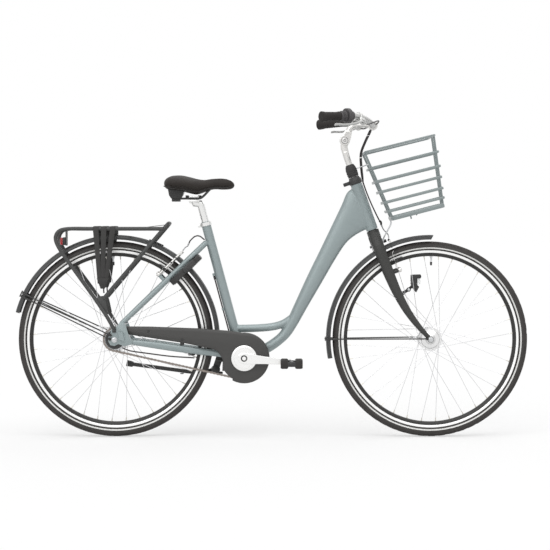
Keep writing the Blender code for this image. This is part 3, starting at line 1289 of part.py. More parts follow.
def lead_pipe(point, reach, end):
    """The route of the curved pipe that leads a brake cable into the left arm's top."""
    top = BRAKE_ARM_LENGTH
    middle = reach + GAP + BRAKE_ARM_THICKNESS / 2
    route = [(top, middle, -0.014), (top, middle, 0.040), (top + 0.006, middle + 0.004, 0.052),
             (top + 0.020, middle + 0.006, 0.057), ((top + 0.020 + end[0]) / 2, (middle + end[1]) / 2,
                                                    0.0565), end]
    return [point(*knot) for knot in route]


def rim_level(point, axle, off):
    """How far up from the arm's pivot the middle of the brake track is, at a place along the pad."""
    up = 0.030
    for _ in range(8):
        found = point(up, off, 0.0) - axle
        up += BRAKE_PAD_RADIUS - found.length
    return up


def brake_arm(name, point, axle, reach, side, noodle_end):
    """A brake arm on its boss pin with its pad, and on the left the cable's curved lead pipe."""
    near, far = reach + GAP, reach + GAP + BRAKE_ARM_THICKNESS
    middle = (near + far) / 2
    rings = []
    for up, y, half in ((-0.006, BRAKE_PIVOT_Y, 0.0050), (0.006, BRAKE_PIVOT_Y + 0.001, 0.0060),
                        (0.024, BRAKE_PIVOT_Y + 0.001, 0.0050), (0.044, BRAKE_PIVOT_Y - 0.001, 0.0050),
                        (0.085, 0.0375, 0.0045), (BRAKE_ARM_LENGTH + 0.005, 0.0365, 0.0042)):
        face, back = near + 0.0006, far - 0.0006
        corners = ((face, -1), (face, 1), (back, 1), (back, -1))
        rings.append([point(up, off, side * (y + way * half)) for off, way in corners])
    made = loft(rings)
    eye = cylinder(point(0.0, near, side * BRAKE_PIVOT_Y), point(0.0, far, side * BRAKE_PIVOT_Y), 0.0085, 12)
    level = rim_level(point, axle, middle)
    stud = cylinder(point(level, middle, side * (BRAKE_PAD_INNER_Y + 0.008)),
                    point(level, middle, side * (BRAKE_PIVOT_Y + 0.010)), 0.0038, 8)
    pad_y = side * (BRAKE_PAD_INNER_Y + 0.005)
    pad_ends = [point(rim_level(point, axle, off), off, pad_y)
                for off in (middle - BRAKE_PAD_HALF, middle + BRAKE_PAD_HALF)]
    pad = beam(pad_ends[0], pad_ends[1], 0.010, 0.010)
    made = unite(made, eye, stud, pad)
    if side > 0:
        made = unite(made, rod(lead_pipe(point, reach, noodle_end), CABLE_RADIUS, 1))
    bore = cylinder(point(0.0, near - 0.002, side * BRAKE_PIVOT_Y),
                    point(0.0, far + 0.002, side * BRAKE_PIVOT_Y),
                    (BRAKE_PIN_RADIUS + GAP) / cos(pi / 10), 10)
    return finish(cut(made, bore), name, SILVER, point(0.0, middle, side * BRAKE_PIVOT_Y))


def cable_start(point, reach, end):
    """Two points where a cable's outer leaves its lead pipe, in line with the pipe's end."""
    route = lead_pipe(point, reach, end)
    way = (route[-1] - route[-2]).normalized()
    return [route[-1] + way * CABLE_GAP, route[-1] + way * 0.010]


def rear_brake_cable():
    """The rear brake's cable, from the lead pipe over to its entry in the seat tube."""
    entry = SEAT_FOOT + SEAT_UP * ((0.711 - SEAT_FOOT.z) / SEAT_UP.z)
    back = Vector((-SEAT_UP.z, 0.0, SEAT_UP.x))
    line = cable_start(rear_arm_point, REAR_BOSS_REACH, REAR_NOODLE_END) + [
            place(0.2830, 0.7180, 0.014), place(0.3000, 0.7190, 0.006),
            entry + back * (SEAT_TUBE_RADIUS + CABLE_RADIUS * 0.9 + GAP)]
    return finish(rod(smooth_line(line, 0.012), CABLE_RADIUS, 2), "rear_brake_cable", BLACK_PLASTIC)


def shift_cable():
    """The gear unit beside the rear sprocket and its cable along the chain stay."""
    outer, inner = -0.0655, -0.0540
    unit = cylinder(REAR_AXLE + SIDE * outer, REAR_AXLE + SIDE * inner, GEAR_UNIT_RADIUS, 20)
    line = [place(0.020, 0.325, -0.0600), place(0.0535, 0.3105, -0.0600), place(0.110, 0.3020, -0.0565),
            place(0.200, 0.2900, -0.0500), place(0.2838, 0.2842, -0.0430)]
    made = unite(unit, rod([line[0]] + smooth_line(line[1:], 0.045), CABLE_RADIUS, 1))
    bore = cylinder(REAR_AXLE + SIDE * (outer - 0.01), REAR_AXLE + SIDE * (inner + 0.01),
                    (AXLE_RADIUS + GAP) / cos(pi / 12), 12)
    return finish(cut(made, bore), "shift_cable", BLACK_PLASTIC)


def front_brake_cable():
    """The front brake's cable, from the lead pipe up past the head tube to below the handlebar."""
    line = cable_start(front_arm_point, FRONT_BOSS_REACH, FRONT_NOODLE_END) + [
            ahead(-0.1840, 0.7820, 0.020), ahead(-0.2168, 0.8518, 0.012),
            ahead(-0.2406, 0.9180, 0.012), ahead(-0.2480, 0.9683, 0.012), ahead(-0.2490, 1.0158, 0.012),
            ahead(-0.2350, 1.0560, 0.012), ahead(-0.2240, 1.0800, 0.012)]
    return finish(rod(smooth_line(line, 0.016), CABLE_RADIUS, 1), "front_brake_cable", BLACK_PLASTIC)


def headset_boot():
    """The rubber boot over the joint of quill and headset."""
    bore = QUILL_RADIUS + GAP
    profile = [(bore, CUP_HEIGHT + RUNNING_GAP), (0.0165, CUP_HEIGHT + RUNNING_GAP), (0.0195, 0.036),
               (0.0203, 0.052),
               (0.0180, 0.064), (0.0140, 0.073), (bore, 0.073)]
    return finish(turned(profile, HEAD_TOP, 20, STEER_UP, closed=True), "headset_boot", RUBBER)


STEM_PIVOT = ahead(-0.3057, 1.0625)
STEM_ELBOW = ahead(-0.2830, 1.1150)
BAR_CENTRE = ahead(-0.2050, 1.1165)


def quill():
    """The quill that clamps in the steerer, and its head that carries the tilting arm."""
    top = steer_point(1.0400)
    shaft = cylinder(HEAD_TOP - STEER_UP * 0.105, top, QUILL_RADIUS, 14)
    neck = cylinder(steer_point(1.0280), STEM_PIVOT, STEM_HEAD_HALF - 0.0004, 10)
    head = cylinder(STEM_PIVOT - SIDE * STEM_HEAD_HALF, STEM_PIVOT + SIDE * STEM_HEAD_HALF,
                    STEM_HEAD_RADIUS, 16)
    pin = cylinder(STEM_PIVOT - SIDE * (STEM_HEAD_HALF + STEM_CHEEK),
                   STEM_PIVOT + SIDE * (STEM_HEAD_HALF + STEM_CHEEK),
                   0.0040, 10)
    return finish(unite(shaft, neck, head, pin), "quill", SILVER)


def stem_arm():
    """The arm that tilts on the quill's head, with two cheeks below and the bar clamp in front."""
    rise = (STEM_ELBOW - STEM_PIVOT).normalized()
    made = cylinder(STEM_PIVOT + rise * (STEM_HEAD_RADIUS + 0.002), STEM_ELBOW, 0.0120, 12)
    for side in (-1, 1):
        inner = STEM_PIVOT + SIDE * side * (STEM_HEAD_HALF + GAP)
        cheek = cylinder(inner, inner + SIDE * side * STEM_CHEEK, 0.0165, 16)
        middle = inner + SIDE * side * STEM_CHEEK / 2
        strap = beam(middle, middle + rise * 0.030, STEM_CHEEK - 0.001, 0.024)
        made = unite(made, cheek, strap)
    ahead = (BAR_CENTRE - STEM_ELBOW).normalized()
    elbow = cylinder(STEM_ELBOW - SIDE * 0.0110, STEM_ELBOW + SIDE * 0.0110, 0.0130, 14)
    arm = cylinder(STEM_ELBOW + ahead * 0.003, BAR_CENTRE - ahead * 0.014, 0.0108, 12)
    clamp = cylinder(BAR_CENTRE - SIDE * BAR_CLAMP_HALF, BAR_CENTRE + SIDE * BAR_CLAMP_HALF, 0.0180, 16)
    nose = beam(BAR_CENTRE + Vector((0.012, 0.0, 0.008)), BAR_CENTRE + Vector((0.0215, 0.0, 0.0165)), 0.030,
                0.008)
    made = unite(made, elbow, arm, clamp, nose)
    bores = [cylinder(BAR_CENTRE - SIDE * 0.05, BAR_CENTRE + SIDE * 0.05, (BAR_RADIUS + GAP) / cos(pi / 16),
                      16)]
    bores.append(cylinder(STEM_PIVOT - SIDE * 0.05, STEM_PIVOT + SIDE * 0.05, (0.0040 + GAP) / cos(pi / 10),
                          10))
    return finish(cut(made, *bores), "stem_arm", SILVER, STEM_PIVOT)


def grip_point(side, along, reach=0.0):
    """A point of a grip's line, out from its inner end, or off it towards the brake lever."""
    start, end = ahead(-0.2820, 1.1403, 0.2290), ahead(-0.3920, 1.1335, 0.3000)
    way = (end - start).normalized()
    toward = Vector((0.427, 0.593, -0.686))
    toward = (toward - way * toward.dot(way)).normalized()
    found = start + way * along + toward * reach
    return Vector((found.x, found.y * side, found.z))


def lever_axis(side):
    """The brake lever's hinge axis: upward, square to the grip and to the lever's reach."""
    along = grip_point(side, 1.0) - grip_point(side, 0.0)
    reach = grip_point(side, 0.0, 1.0) - grip_point(side, 0.0)
    return reach.cross(along).normalized() * side


BAR_STRAIGHT_INNER = (-0.2460, 1.1365, 0.158)
BAR_STRAIGHT_OUTER = (-0.2710, 1.1410, 0.212)


def bar_half(side):
    """One half of the handlebar's line, from beside the stem clamp to the grip's end."""
    sweep = [(-0.2050, 1.1165, 0.030), (-0.2130, 1.1210, 0.066), (-0.2250, 1.1280, 0.104),
             BAR_STRAIGHT_INNER]
    line = smooth_line([ahead(x, z, y * side) for x, z, y in sweep], 0.022)
    x, z, y = BAR_STRAIGHT_OUTER
    bend = ahead(-0.2755, 1.1412, 0.2215 * side)
    return line + [ahead(x, z, y * side), bend, grip_point(side, 0.0), grip_point(side, GRIP_LENGTH)]


def handlebar():
    """The swept-back handlebar, one bent tube with solid ends."""
    line = list(reversed(bar_half(-1))) + bar_half(1)
    return finish(rod(line, BAR_RADIUS, 2), "handlebar", SILVER, BAR_CENTRE)


def sleeve(side, start, end, radius, end_radius=None, open_end=True):
    """A tube round the handlebar's grip stretch, closed at its outer end if asked."""
    made = cylinder(grip_point(side, start), grip_point(side, end), radius, 16, end_radius)
    stop = end + 0.01 if open_end else GRIP_LENGTH + GAP
    return cut(made, cylinder(grip_point(side, start - 0.01), grip_point(side, stop),
                              (BAR_RADIUS + RUNNING_GAP) / cos(pi / 12), 12))


def grips():
    """Two rubber grips with closed ends; the right one is short, beside the shifter."""
    right_start = SHIFTER_START + SHIFTER_HOUSING_WIDTH + SHIFTER_RING_WIDTH + RUNNING_GAP * 2
    for name, side, start in (("grip_right", -1, right_start), ("grip_left", 1, 0.008)):
        made = sleeve(side, start, GRIP_LENGTH + 0.003, 0.0160, 0.0175, open_end=False)
        finish(made, name, RUBBER)


def twist_shifter():
    """The turning part of the gear shifter, between its housing and the right grip."""
    start = SHIFTER_START + SHIFTER_HOUSING_WIDTH + RUNNING_GAP
    made = sleeve(-1, start, start + SHIFTER_RING_WIDTH - RUNNING_GAP, 0.0185, 0.0165)
    return finish(made, "twist_shifter", RUBBER, grip_point(-1, start))


def lever_pivot(side, up=0.0):
    """A point on a brake lever's hinge axis."""
    return grip_point(side, -0.028, 0.026) + lever_axis(side) * up


def brake_clamp(side, name):
    """A brake lever's bracket on the handlebar; the right one carries the shifter housing too."""
    inner, outer = BAR_STRAIGHT_INNER, BAR_STRAIGHT_OUTER
    one = ahead(inner[0], inner[1], inner[2] * side)
    two = ahead(outer[0], outer[1], outer[2] * side)
    way = (two - one).normalized()
    middle = one.lerp(two, 0.62)
    made = cylinder(middle - way * 0.0075, middle + way * 0.0075, 0.0160, 16)
    plate_low = lever_pivot(side, -0.0110)
    neck = beam(middle + Vector((0.004, side * 0.003, -0.011)), plate_low, 0.009, 0.009, lever_axis(side))
    pad = cylinder(lever_pivot(side, -0.0135), lever_pivot(side, -0.0055), 0.0100, 12)
    pin = cylinder(lever_pivot(side, -0.0080), lever_pivot(side, 0.0065), LEVER_PIN_RADIUS, 8)
    made = unite(made, neck, pad, pin)
    if side < 0:
        start = SHIFTER_START
        drum = cylinder(grip_point(side, start), grip_point(side, start + SHIFTER_HOUSING_WIDTH), 0.0270, 20)
        inboard = cylinder(grip_point(side, 0.001), grip_point(side, start + 0.002), 0.0155, 16)
        low = lever_axis(side) * -0.0095
        bridge = beam(lever_pivot(side) + low, grip_point(side, start + 0.003, 0.018) + low, 0.008, 0.010,
                      lever_axis(side))
        made = unite(made, drum, inboard, bridge)
    hole = (BAR_RADIUS + RUNNING_GAP) / cos(pi / 12)
    bores = [cylinder(one, two + way * 0.002, hole, 12)]
    if side < 0:
        bores.append(cylinder(grip_point(side, -0.004), grip_point(side, 0.06), hole, 12))
    return finish(cut(made, *bores), name, BLACK_PLASTIC)


def brake_lever(side, name):
    """A brake lever: the eye on the pin and the blade that runs along the grip."""
    axis = lever_axis(side)
    rings = []
    for along, reach, wide, thick in ((-0.030, 0.0260, 0.0035, 0.0060), (-0.012, 0.0330, 0.0040, 0.0055),
                                      (0.020, 0.0420, 0.0050, 0.0035), (0.055, 0.0455, 0.0055, 0.0030),
                                      (0.082, 0.0425, 0.0055, 0.0030), (0.098, 0.0430, 0.0040, 0.0030)):
        middle = grip_point(side, along, reach)
        out = (grip_point(side, along, reach + 1.0) - middle) * thick
        rings.append([middle + axis * wide + out, middle - axis * wide + out, middle - axis * wide - out,
                      middle + axis * wide - out])
    made = loft(rings)
    eye = cylinder(lever_pivot(side, -0.0045), lever_pivot(side, 0.0045), 0.0085, 12)
    bore = cylinder(lever_pivot(side, -0.02), lever_pivot(side, 0.02),
                    (LEVER_PIN_RADIUS + GAP) / cos(pi / 8), 8)
    return finish(cut(unite(made, eye), bore), name, SILVER, lever_pivot(side))


# The basket's corners: ahead of the front axle, height and side
BASKET_CORNERS = {("rear", "top"): (-0.2376, 1.0080, 0.165), ("front", "top"): (0.0064, 1.0763, 0.165),
                  ("rear", "low"): (-0.1462, 0.7787, 0.130), ("front", "low"): (0.0400, 0.8289, 0.130)}


def basket_point(end, down, side):
    """A point of the basket's corner post: 0 at its top rim and 1 at its floor."""
    top, low = Vector(BASKET_CORNERS[end, "top"]), Vector(BASKET_CORNERS[end, "low"])
    x, z, y = top.lerp(low, down)
    return ahead(x, z, y * side)


def basket_hoop(down, tall, deep):
    """One slat that runs round the basket, at a share of the way down."""
    rings = []
    up = (basket_point("rear", 0.0, 1) - basket_point("rear", 1.0, 1)).normalized() * tall / 2
    ahead = (basket_point("front", down, 1) - basket_point("rear", down, 1)).normalized()
    for end, way, side in (("rear", -1, -1), ("front", 1, -1), ("front", 1, 1), ("rear", -1, 1)):
        middle = basket_point(end, down, side)
        out = (ahead * way + SIDE * side) * deep / 2
        rings.append([middle + out + up, middle - out + up, middle - out - up, middle + out - up])
    return closed_loft(rings)


def basket():
    """The slatted front basket, with the wires that hold it to the headset and the fork crown."""
    made = basket_hoop(0.0, 0.007, 0.007)
    for row in range(BASKET_ROWS):
        made = unite(made, basket_hoop((row + 1) / (BASKET_ROWS + 1), 0.007, 0.004))
    made = unite(made, basket_hoop(1.0, 0.014, 0.006))
    for end in ("rear", "front"):
        for side in (-1, 1):
            post = cylinder(basket_point(end, -0.025, side), basket_point(end, 1.0, side), 0.0040, 4)
            made = unite(made, post)
    for share in (0.25, 0.5, 0.75):
        y = (2 * share - 1)
        rear, front = basket_point("rear", 0.985, y), basket_point("front", 0.985, y)
        made = unite(made, beam(rear, front, 0.006, 0.004))
    boot_front = HEAD_TOP + STEER_UP * 0.052 + STEER_FRONT * (0.0203 + GAP)
    hook = rod([boot_front, basket_point("rear", 1 / (BASKET_ROWS + 1), 0.0)], 0.0030, 1)
    made = unite(made, hook)
    for side in (-1, 1):
        foot = fork_point(CROWN_TOP - 0.016, HEAD_TUBE_RADIUS + GAP + 0.0015, side * 0.0150)
        low = basket_point("rear", 1.0, side * 0.20)
        made = unite(made, cylinder(foot, low, 0.0035, 6))
    plate_back = HEAD_TUBE_RADIUS + GAP
    bracket = beam(fork_point(CROWN_TOP - 0.030, plate_back + 0.0015),
                   fork_point(CROWN_TOP - 0.006, plate_back + 0.0015),
                   0.040, 0.003)
    return finish(unite(made, bracket), "basket", FRAME_PAINT)


def headlight():
    """The headlight on its bracket at the left fork leg."""
    middle = 0.062
    rings = []
    for x, low, high, half in ((-0.0655, 0.528, 0.566, 0.010), (-0.0620, 0.521, 0.573, 0.017),
                               (-0.0520, 0.517, 0.578, 0.021),
                               (-0.0420, 0.516, 0.581, 0.0215), (-0.0320, 0.519, 0.581, 0.0205),
                               (-0.0274, 0.530, 0.580, 0.0180)):
        centre = ahead(x, (low + high) / 2, middle)
        rings.append(oval(centre, Vector((0.0, 0.0, (high - low) / 2)), SIDE * half, 12))
    lamp = loft(rings)
    root = fork_point(0.196, 0.0095 + 0.0155 + GAP + 0.004, 0.050)
    tab = cylinder(root - STEER_FRONT * 0.004, root + STEER_FRONT * 0.003, 0.0070, 10)
    arm = beam(root, ahead(-0.0600, 0.5300, middle - 0.004), 0.012, 0.004)
    return finish(unite(lamp, tab, arm), "headlight", BLACK_PLASTIC)


headset_cup()
ring_lock()
ring_lock_bolt()
rear_brake_cable()
shift_cable()
front_brake_cable()
headset_boot()
quill()
stem_arm()
handlebar()
grips()
twist_shifter()
for brake_side, side_name in ((-1, "right"), (1, "left")):
    brake_clamp(brake_side, "brake_clamp_" + side_name)
    brake_lever(brake_side, "brake_lever_" + side_name)
    brake_arm("front_brake_arm_" + side_name, front_arm_point, FRONT_AXLE, FRONT_BOSS_REACH, brake_side,
              FRONT_NOODLE_END)
    brake_arm("rear_brake_arm_" + side_name, rear_arm_point, REAR_AXLE, REAR_BOSS_REACH, brake_side,
              REAR_NOODLE_END)
basket()
headlight()
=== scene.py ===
"""A city bicycle in its studio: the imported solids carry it, and the pieces below give it its looks."""

from math import asin, atan2, cos, pi, radians, sin, sqrt

import bmesh
import bpy
from mathutils import Matrix, Vector


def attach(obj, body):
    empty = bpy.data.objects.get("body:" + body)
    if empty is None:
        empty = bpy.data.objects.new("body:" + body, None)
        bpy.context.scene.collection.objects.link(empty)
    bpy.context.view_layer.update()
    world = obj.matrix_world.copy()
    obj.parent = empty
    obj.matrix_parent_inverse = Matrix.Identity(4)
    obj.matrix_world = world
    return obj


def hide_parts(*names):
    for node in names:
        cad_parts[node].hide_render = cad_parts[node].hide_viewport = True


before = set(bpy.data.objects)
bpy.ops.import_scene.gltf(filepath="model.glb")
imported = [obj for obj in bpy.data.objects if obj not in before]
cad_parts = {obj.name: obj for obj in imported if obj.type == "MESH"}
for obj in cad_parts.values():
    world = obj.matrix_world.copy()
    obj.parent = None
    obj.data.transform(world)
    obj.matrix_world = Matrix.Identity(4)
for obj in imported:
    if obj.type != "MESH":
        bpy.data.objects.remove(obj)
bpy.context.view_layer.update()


# CAMERA AND STUDIO
# The bicycle stands on a pale sweep, side-on to a long lens at about handlebar height.
# Three broad soft lamps light it from above, in front and behind; nothing has a hard edge.

REAR_AXLE_BACK = 0.558855


def place(x, z, y=0.0):
    """A point from its distance ahead of the rear axle, its height and its side."""
    return Vector((x - REAR_AXLE_BACK, y, z))


def linked(name, data):
    """An object for some data, in the scene."""
    made = bpy.data.objects.new(name, data)
    bpy.context.scene.collection.objects.link(made)
    return made


def meshed(name, shape):
    """The mesh of a finished bmesh."""
    mesh = bpy.data.meshes.new(name)
    shape.to_mesh(mesh)
    shape.free()
    return mesh


def fill(node, values):
    """Sets inputs of a shader node by their names."""
    for name, value in values.items():
        node.inputs[name].default_value = value


camera_data = bpy.data.cameras.new("studio_camera")
camera_data.sensor_width = 36.0
camera_data.lens = 134.66
camera_data.shift_x = -0.0273
camera_data.shift_y = -0.1
camera_data.clip_end = 200.0
camera = linked("studio_camera", camera_data)
camera.location = place(0.6255, 0.777, -7.4)
camera.rotation_euler = (pi / 2, 0.0, 0.0)
bpy.context.scene.camera = camera
bpy.context.scene.view_settings.view_transform = "Standard"


def soft_lamp(name, aim, spread, strength):
    """A far, broad lamp that shines along a way, with soft-edged shadows."""
    data = bpy.data.lights.new(name, "SUN")
    data.angle = radians(spread)
    data.energy = strength
    lamp = linked(name, data)
    lamp.location = Vector(aim) * -3.0
    lamp.rotation_euler = Vector(aim).to_track_quat("-Z", "Y").to_euler()


soft_lamp("lamp_above", (-0.15, 0.35, -1.0), 60.0, 1.05)
soft_lamp("lamp_front", (0.45, 1.0, -0.75), 45.0, 0.75)
soft_lamp("lamp_behind", (-0.5, -1.0, -0.9), 50.0, 0.45)


def seen_share(nodes, links):
    """1 for rays from the camera, from gloss and through glass, and 0 for the light itself."""
    path = nodes.new("ShaderNodeLightPath")
    seen = path.outputs["Is Camera Ray"]
    for kind in ("Is Glossy Ray", "Is Transmission Ray"):
        larger = nodes.new("ShaderNodeMath")
        larger.operation = "MAXIMUM"
        links.new(seen, larger.inputs[0])
        links.new(path.outputs[kind], larger.inputs[1])
        seen = larger.outputs[0]
    return seen


sky = bpy.data.worlds.new("studio_sky")
bpy.context.scene.world = sky
sky.use_nodes = True
sky_nodes, sky_links = sky.node_tree.nodes, sky.node_tree.links
glow, seen_glow = sky_nodes["Background"], sky_nodes.new("ShaderNodeBackground")
pick = sky_nodes.new("ShaderNodeMixShader")
for light, strength in ((glow, 0.55), (seen_glow, 1.0)):
    fill(light, {"Color": (1.0, 1.0, 1.0, 1.0), "Strength": strength})
sky_links.new(seen_share(sky_nodes, sky_links), pick.inputs[0])
sky_links.new(glow.outputs[0], pick.inputs[1])
sky_links.new(seen_glow.outputs[0], pick.inputs[2])
sky_links.new(pick.outputs[0], sky_nodes["World Output"].inputs[0])

floor_shape = bmesh.new()
bmesh.ops.create_grid(floor_shape, x_segments=1, y_segments=1, size=60.0)
floor_mesh = meshed("studio_floor", floor_shape)
floor = linked("studio_floor", floor_mesh)
floor.location.z = -0.0006
paper = bpy.data.materials.new("pale_sweep")
paper.use_nodes = True
paper_nodes, paper_links = paper.node_tree.nodes, paper.node_tree.links
matt = paper_nodes["Principled BSDF"]
fill(matt, {"Base Color": (0.93, 0.93, 0.93, 1.0), "Roughness": 0.9, "Specular IOR Level": 0.0})
lit, blend, share = (paper_nodes.new("ShaderNode" + kind) for kind in ("Emission", "MixShader", "Math"))
share.operation = "MULTIPLY"
share.inputs[1].default_value = 0.45
paper_links.new(seen_share(paper_nodes, paper_links), share.inputs[0])
paper_links.new(share.outputs[0], blend.inputs[0])
paper_links.new(matt.outputs[0], blend.inputs[1])
paper_links.new(lit.outputs[0], blend.inputs[2])
paper_links.new(blend.outputs[0], paper_nodes["Material Output"].inputs[0])
floor_mesh.materials.append(paper)


# WHEELS
# 28 inch wheels: a black city tyre with a reflecting stripe, a black rim whose brake track is
# machined bright, crossed steel spokes in brass nipples, a hub dynamo in front, a gear hub behind.

SIDE = Vector((0.0, 1.0, 0.0))


def solid(name, shape, body, looks, stands_for=(), crease=40.0):
    """Turns a finished bmesh into a piece with its looks, its body and the CAD nodes it stands for."""
    mesh = meshed(name, shape)
    made = linked(name, mesh)
    for look in looks:
        mesh.materials.append(look)
    mesh.shade_smooth()
    mesh.set_sharp_from_angle(angle=radians(crease))
    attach(made, body)
    if stands_for:
        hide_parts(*stands_for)
    return made


def only(found, kind):
    """The items of one kind in what an operator gives back."""
    return [item for item in found if isinstance(item, kind)]


def spun(shape, profile, centre, axis, steps):
    """Spins a closed outline of (distance from the axis, place along it) right round."""
    axis = axis.normalized()
    out = axis.orthogonal().normalized()
    ring = [shape.verts.new(centre + out * far + axis * along) for far, along in profile]
    edges = [shape.edges.new((one, two)) for one, two in zip(ring, ring[1:] + ring[:1])]
    before = set(shape.faces)
    bmesh.ops.spin(shape, geom=ring + edges, cent=centre, axis=axis, angle=2 * pi, steps=steps,
                   use_merge=True)
    made = [face for face in shape.faces if face not in before]
    bmesh.ops.recalc_face_normals(shape, faces=made)
    return made


def ray(degrees):
    """The way out from an axle at an angle, in the wheels' plane."""
    return Vector((cos(radians(degrees)), 0.0, sin(radians(degrees))))


def mirrored(profile):
    """A profile and its mirror image, as one outline."""
    return profile + [(far, -along) for far, along in reversed(profile)]


def frame_of(way, across=SIDE):
    """Square axes whose third one runs along a way."""
    way = way.normalized()
    side = across - way * across.dot(way)
    side = side.normalized() if side.length > 0.01 else way.orthogonal().normalized()
    return side, way.cross(side), way


def station(at, way, wide, tall, across=SIDE):
    """The matrix that lays a unit circle round a point, square to a way."""
    side, up, way = frame_of(way, across)
    return Matrix.Translation(at) @ Matrix((side * wide, up * tall, way)).transposed().to_4x4()


def carried(shape, edges, stations, made):
    """Extrudes a ring's edges through its stations, adds the faces to a list and gives the last edges."""
    for before, after in zip(stations, stations[1:]):
        grown = bmesh.ops.extrude_edge_only(shape, edges=edges)["geom"]
        bmesh.ops.transform(shape, matrix=after @ before.inverted(), verts=only(grown, bmesh.types.BMVert))
        made += only(grown, bmesh.types.BMFace)
        edges = [edge for edge in only(grown, bmesh.types.BMEdge) if edge.is_boundary]
    return edges


def pushed(shape, stations, sides):
    """Pushes a ring through its stations and closes both ends."""
    ring = bmesh.ops.create_circle(shape, cap_ends=True, segments=sides, radius=1.0,
                                   matrix=stations[0])["verts"]
    edges = list({edge for vert in ring for edge in vert.link_edges})
    made = list({face for vert in ring for face in vert.link_faces})
    edges = carried(shape, edges, stations, made)
    made += bmesh.ops.contextual_create(shape, geom=edges)["faces"]
    bmesh.ops.recalc_face_normals(shape, faces=made)
    return made


def ways(points):
    """The way along a line at each of its points."""
    return [after - before for before, after in zip(points[:1] + points, points[1:] + points[-1:])]


def wire(shape, path, radius, sides=10, across=SIDE, end_radius=None):
    """A round wire or tube along a path; the radius may run to another one at its end."""
    stations = []
    for index, (point, way) in enumerate(zip(path, ways(path))):
        thick = radius if end_radius is None else radius + (end_radius - radius) * index / (len(path) - 1)
        stations.append(station(point, way, thick, thick, across))
    return pushed(shape, stations, sides)


def curve(knots, step=0.006):
    """Points at even steps on a smooth line through the knots."""
    ends = [knots[0] * 2 - knots[1]] + list(knots) + [knots[-1] * 2 - knots[-2]]
    line = []
    for a, b, c, d in zip(ends, ends[1:], ends[2:], ends[3:]):
        pieces = max(1, round((c - b).length / step))
        for index in range(pieces):
            t = index / pieces
            line.append(((b * 2) + (c - a) * t + (a * 2 - b * 5 + c * 4 - d) * t * t
                         + (b * 3 - a - c * 3 + d) * t * t * t) / 2)
    return line + [knots[-1]]


def bar(shape, start, end, radius, end_radius=None, sides=24):
    """A straight round bar."""
    return wire(shape, [start, end], radius, sides, end_radius=end_radius)


def turned(shape, centre, axis, *stretches):
    """Straight round bars along one axis; each stretch is a near end, a far end, a radius and its sides."""
    for near, far, radius, sides in stretches:
        bar(shape, centre + axis * near, centre + axis * far, radius, sides=sides)


def finish(name, colour, rough, metal=0.0, shade=0.06, grain=900.0, lift=0.02, drift=9.0, coat=0.0,
           shine=0.5):
    """A worked surface: its colour and gloss drift a little, and fine grain lifts it."""
    made = bpy.data.materials.new(name)
    made.use_nodes = True
    nodes, links = made.node_tree.nodes, made.node_tree.links
    shader = nodes["Principled BSDF"]
    where, fit = nodes.new("ShaderNodeTexCoord"), nodes.new("ShaderNodeMapping")
    links.new(where.outputs["Object"], fit.inputs[0])
    broad, fine = nodes.new("ShaderNodeTexNoise"), nodes.new("ShaderNodeTexNoise")
    tint, gloss, bump = (nodes.new("ShaderNode" + kind) for kind in ("ValToRGB", "MapRange", "Bump"))
    for noise, scale, detail in ((broad, drift, 4.0), (fine, grain, 3.0)):
        fill(noise, {"Scale": scale, "Detail": detail})
        links.new(fit.outputs[0], noise.inputs["Vector"])
    for index, share in ((0, 1.0 - shade), (1, 1.0 + shade)):
        tint.color_ramp.elements[index].position = 0.3 + 0.4 * index
        tint.color_ramp.elements[index].color = [min(1.0, part * share) for part in colour] + [1.0]
    fill(gloss, {"From Min": 0.3, "From Max": 0.7, "To Min": max(0.02, rough - 0.06),
                 "To Max": min(1.0, rough + 0.06)})
    fill(bump, {"Strength": lift, "Distance": 0.001})
    links.new(broad.outputs["Fac"], tint.inputs[0])
    links.new(tint.outputs[0], shader.inputs["Base Color"])
    links.new(fine.outputs["Fac"], gloss.inputs[0])
    links.new(gloss.outputs[0], shader.inputs["Roughness"])
    links.new(fine.outputs["Fac"], bump.inputs["Height"])
    links.new(bump.outputs[0], shader.inputs["Normal"])
    fill(shader, {"Metallic": metal, "Specular IOR Level": shine, "Coat Weight": coat,
                  "Coat Roughness": 0.12})
    return made


def ringed(look, centre, pitch, strength):
    """Adds turning marks: fine rings round a wheel's axis, lifted into the surface."""
    nodes, links = look.node_tree.nodes, look.node_tree.links
    where, fit, rings = (nodes.new("ShaderNode" + kind) for kind in ("TexCoord", "Mapping", "TexWave"))
    marks = nodes.new("ShaderNodeBump")
    fill(fit, {"Location": -centre})
    rings.wave_type = "RINGS"
    rings.rings_direction = "Y"
    fill(rings, {"Scale": 0.314 / pitch, "Distortion": 0.6})
    fill(marks, {"Strength": strength, "Distance": 0.0004})
    links.new(where.outputs["Object"], fit.inputs[0])
    links.new(fit.outputs[0], rings.inputs["Vector"])
    links.new(rings.outputs["Fac"], marks.inputs["Height"])
    links.new(nodes["Bump"].outputs[0], marks.inputs["Normal"])
    links.new(marks.outputs[0], nodes["Principled BSDF"].inputs["Normal"])
    return look


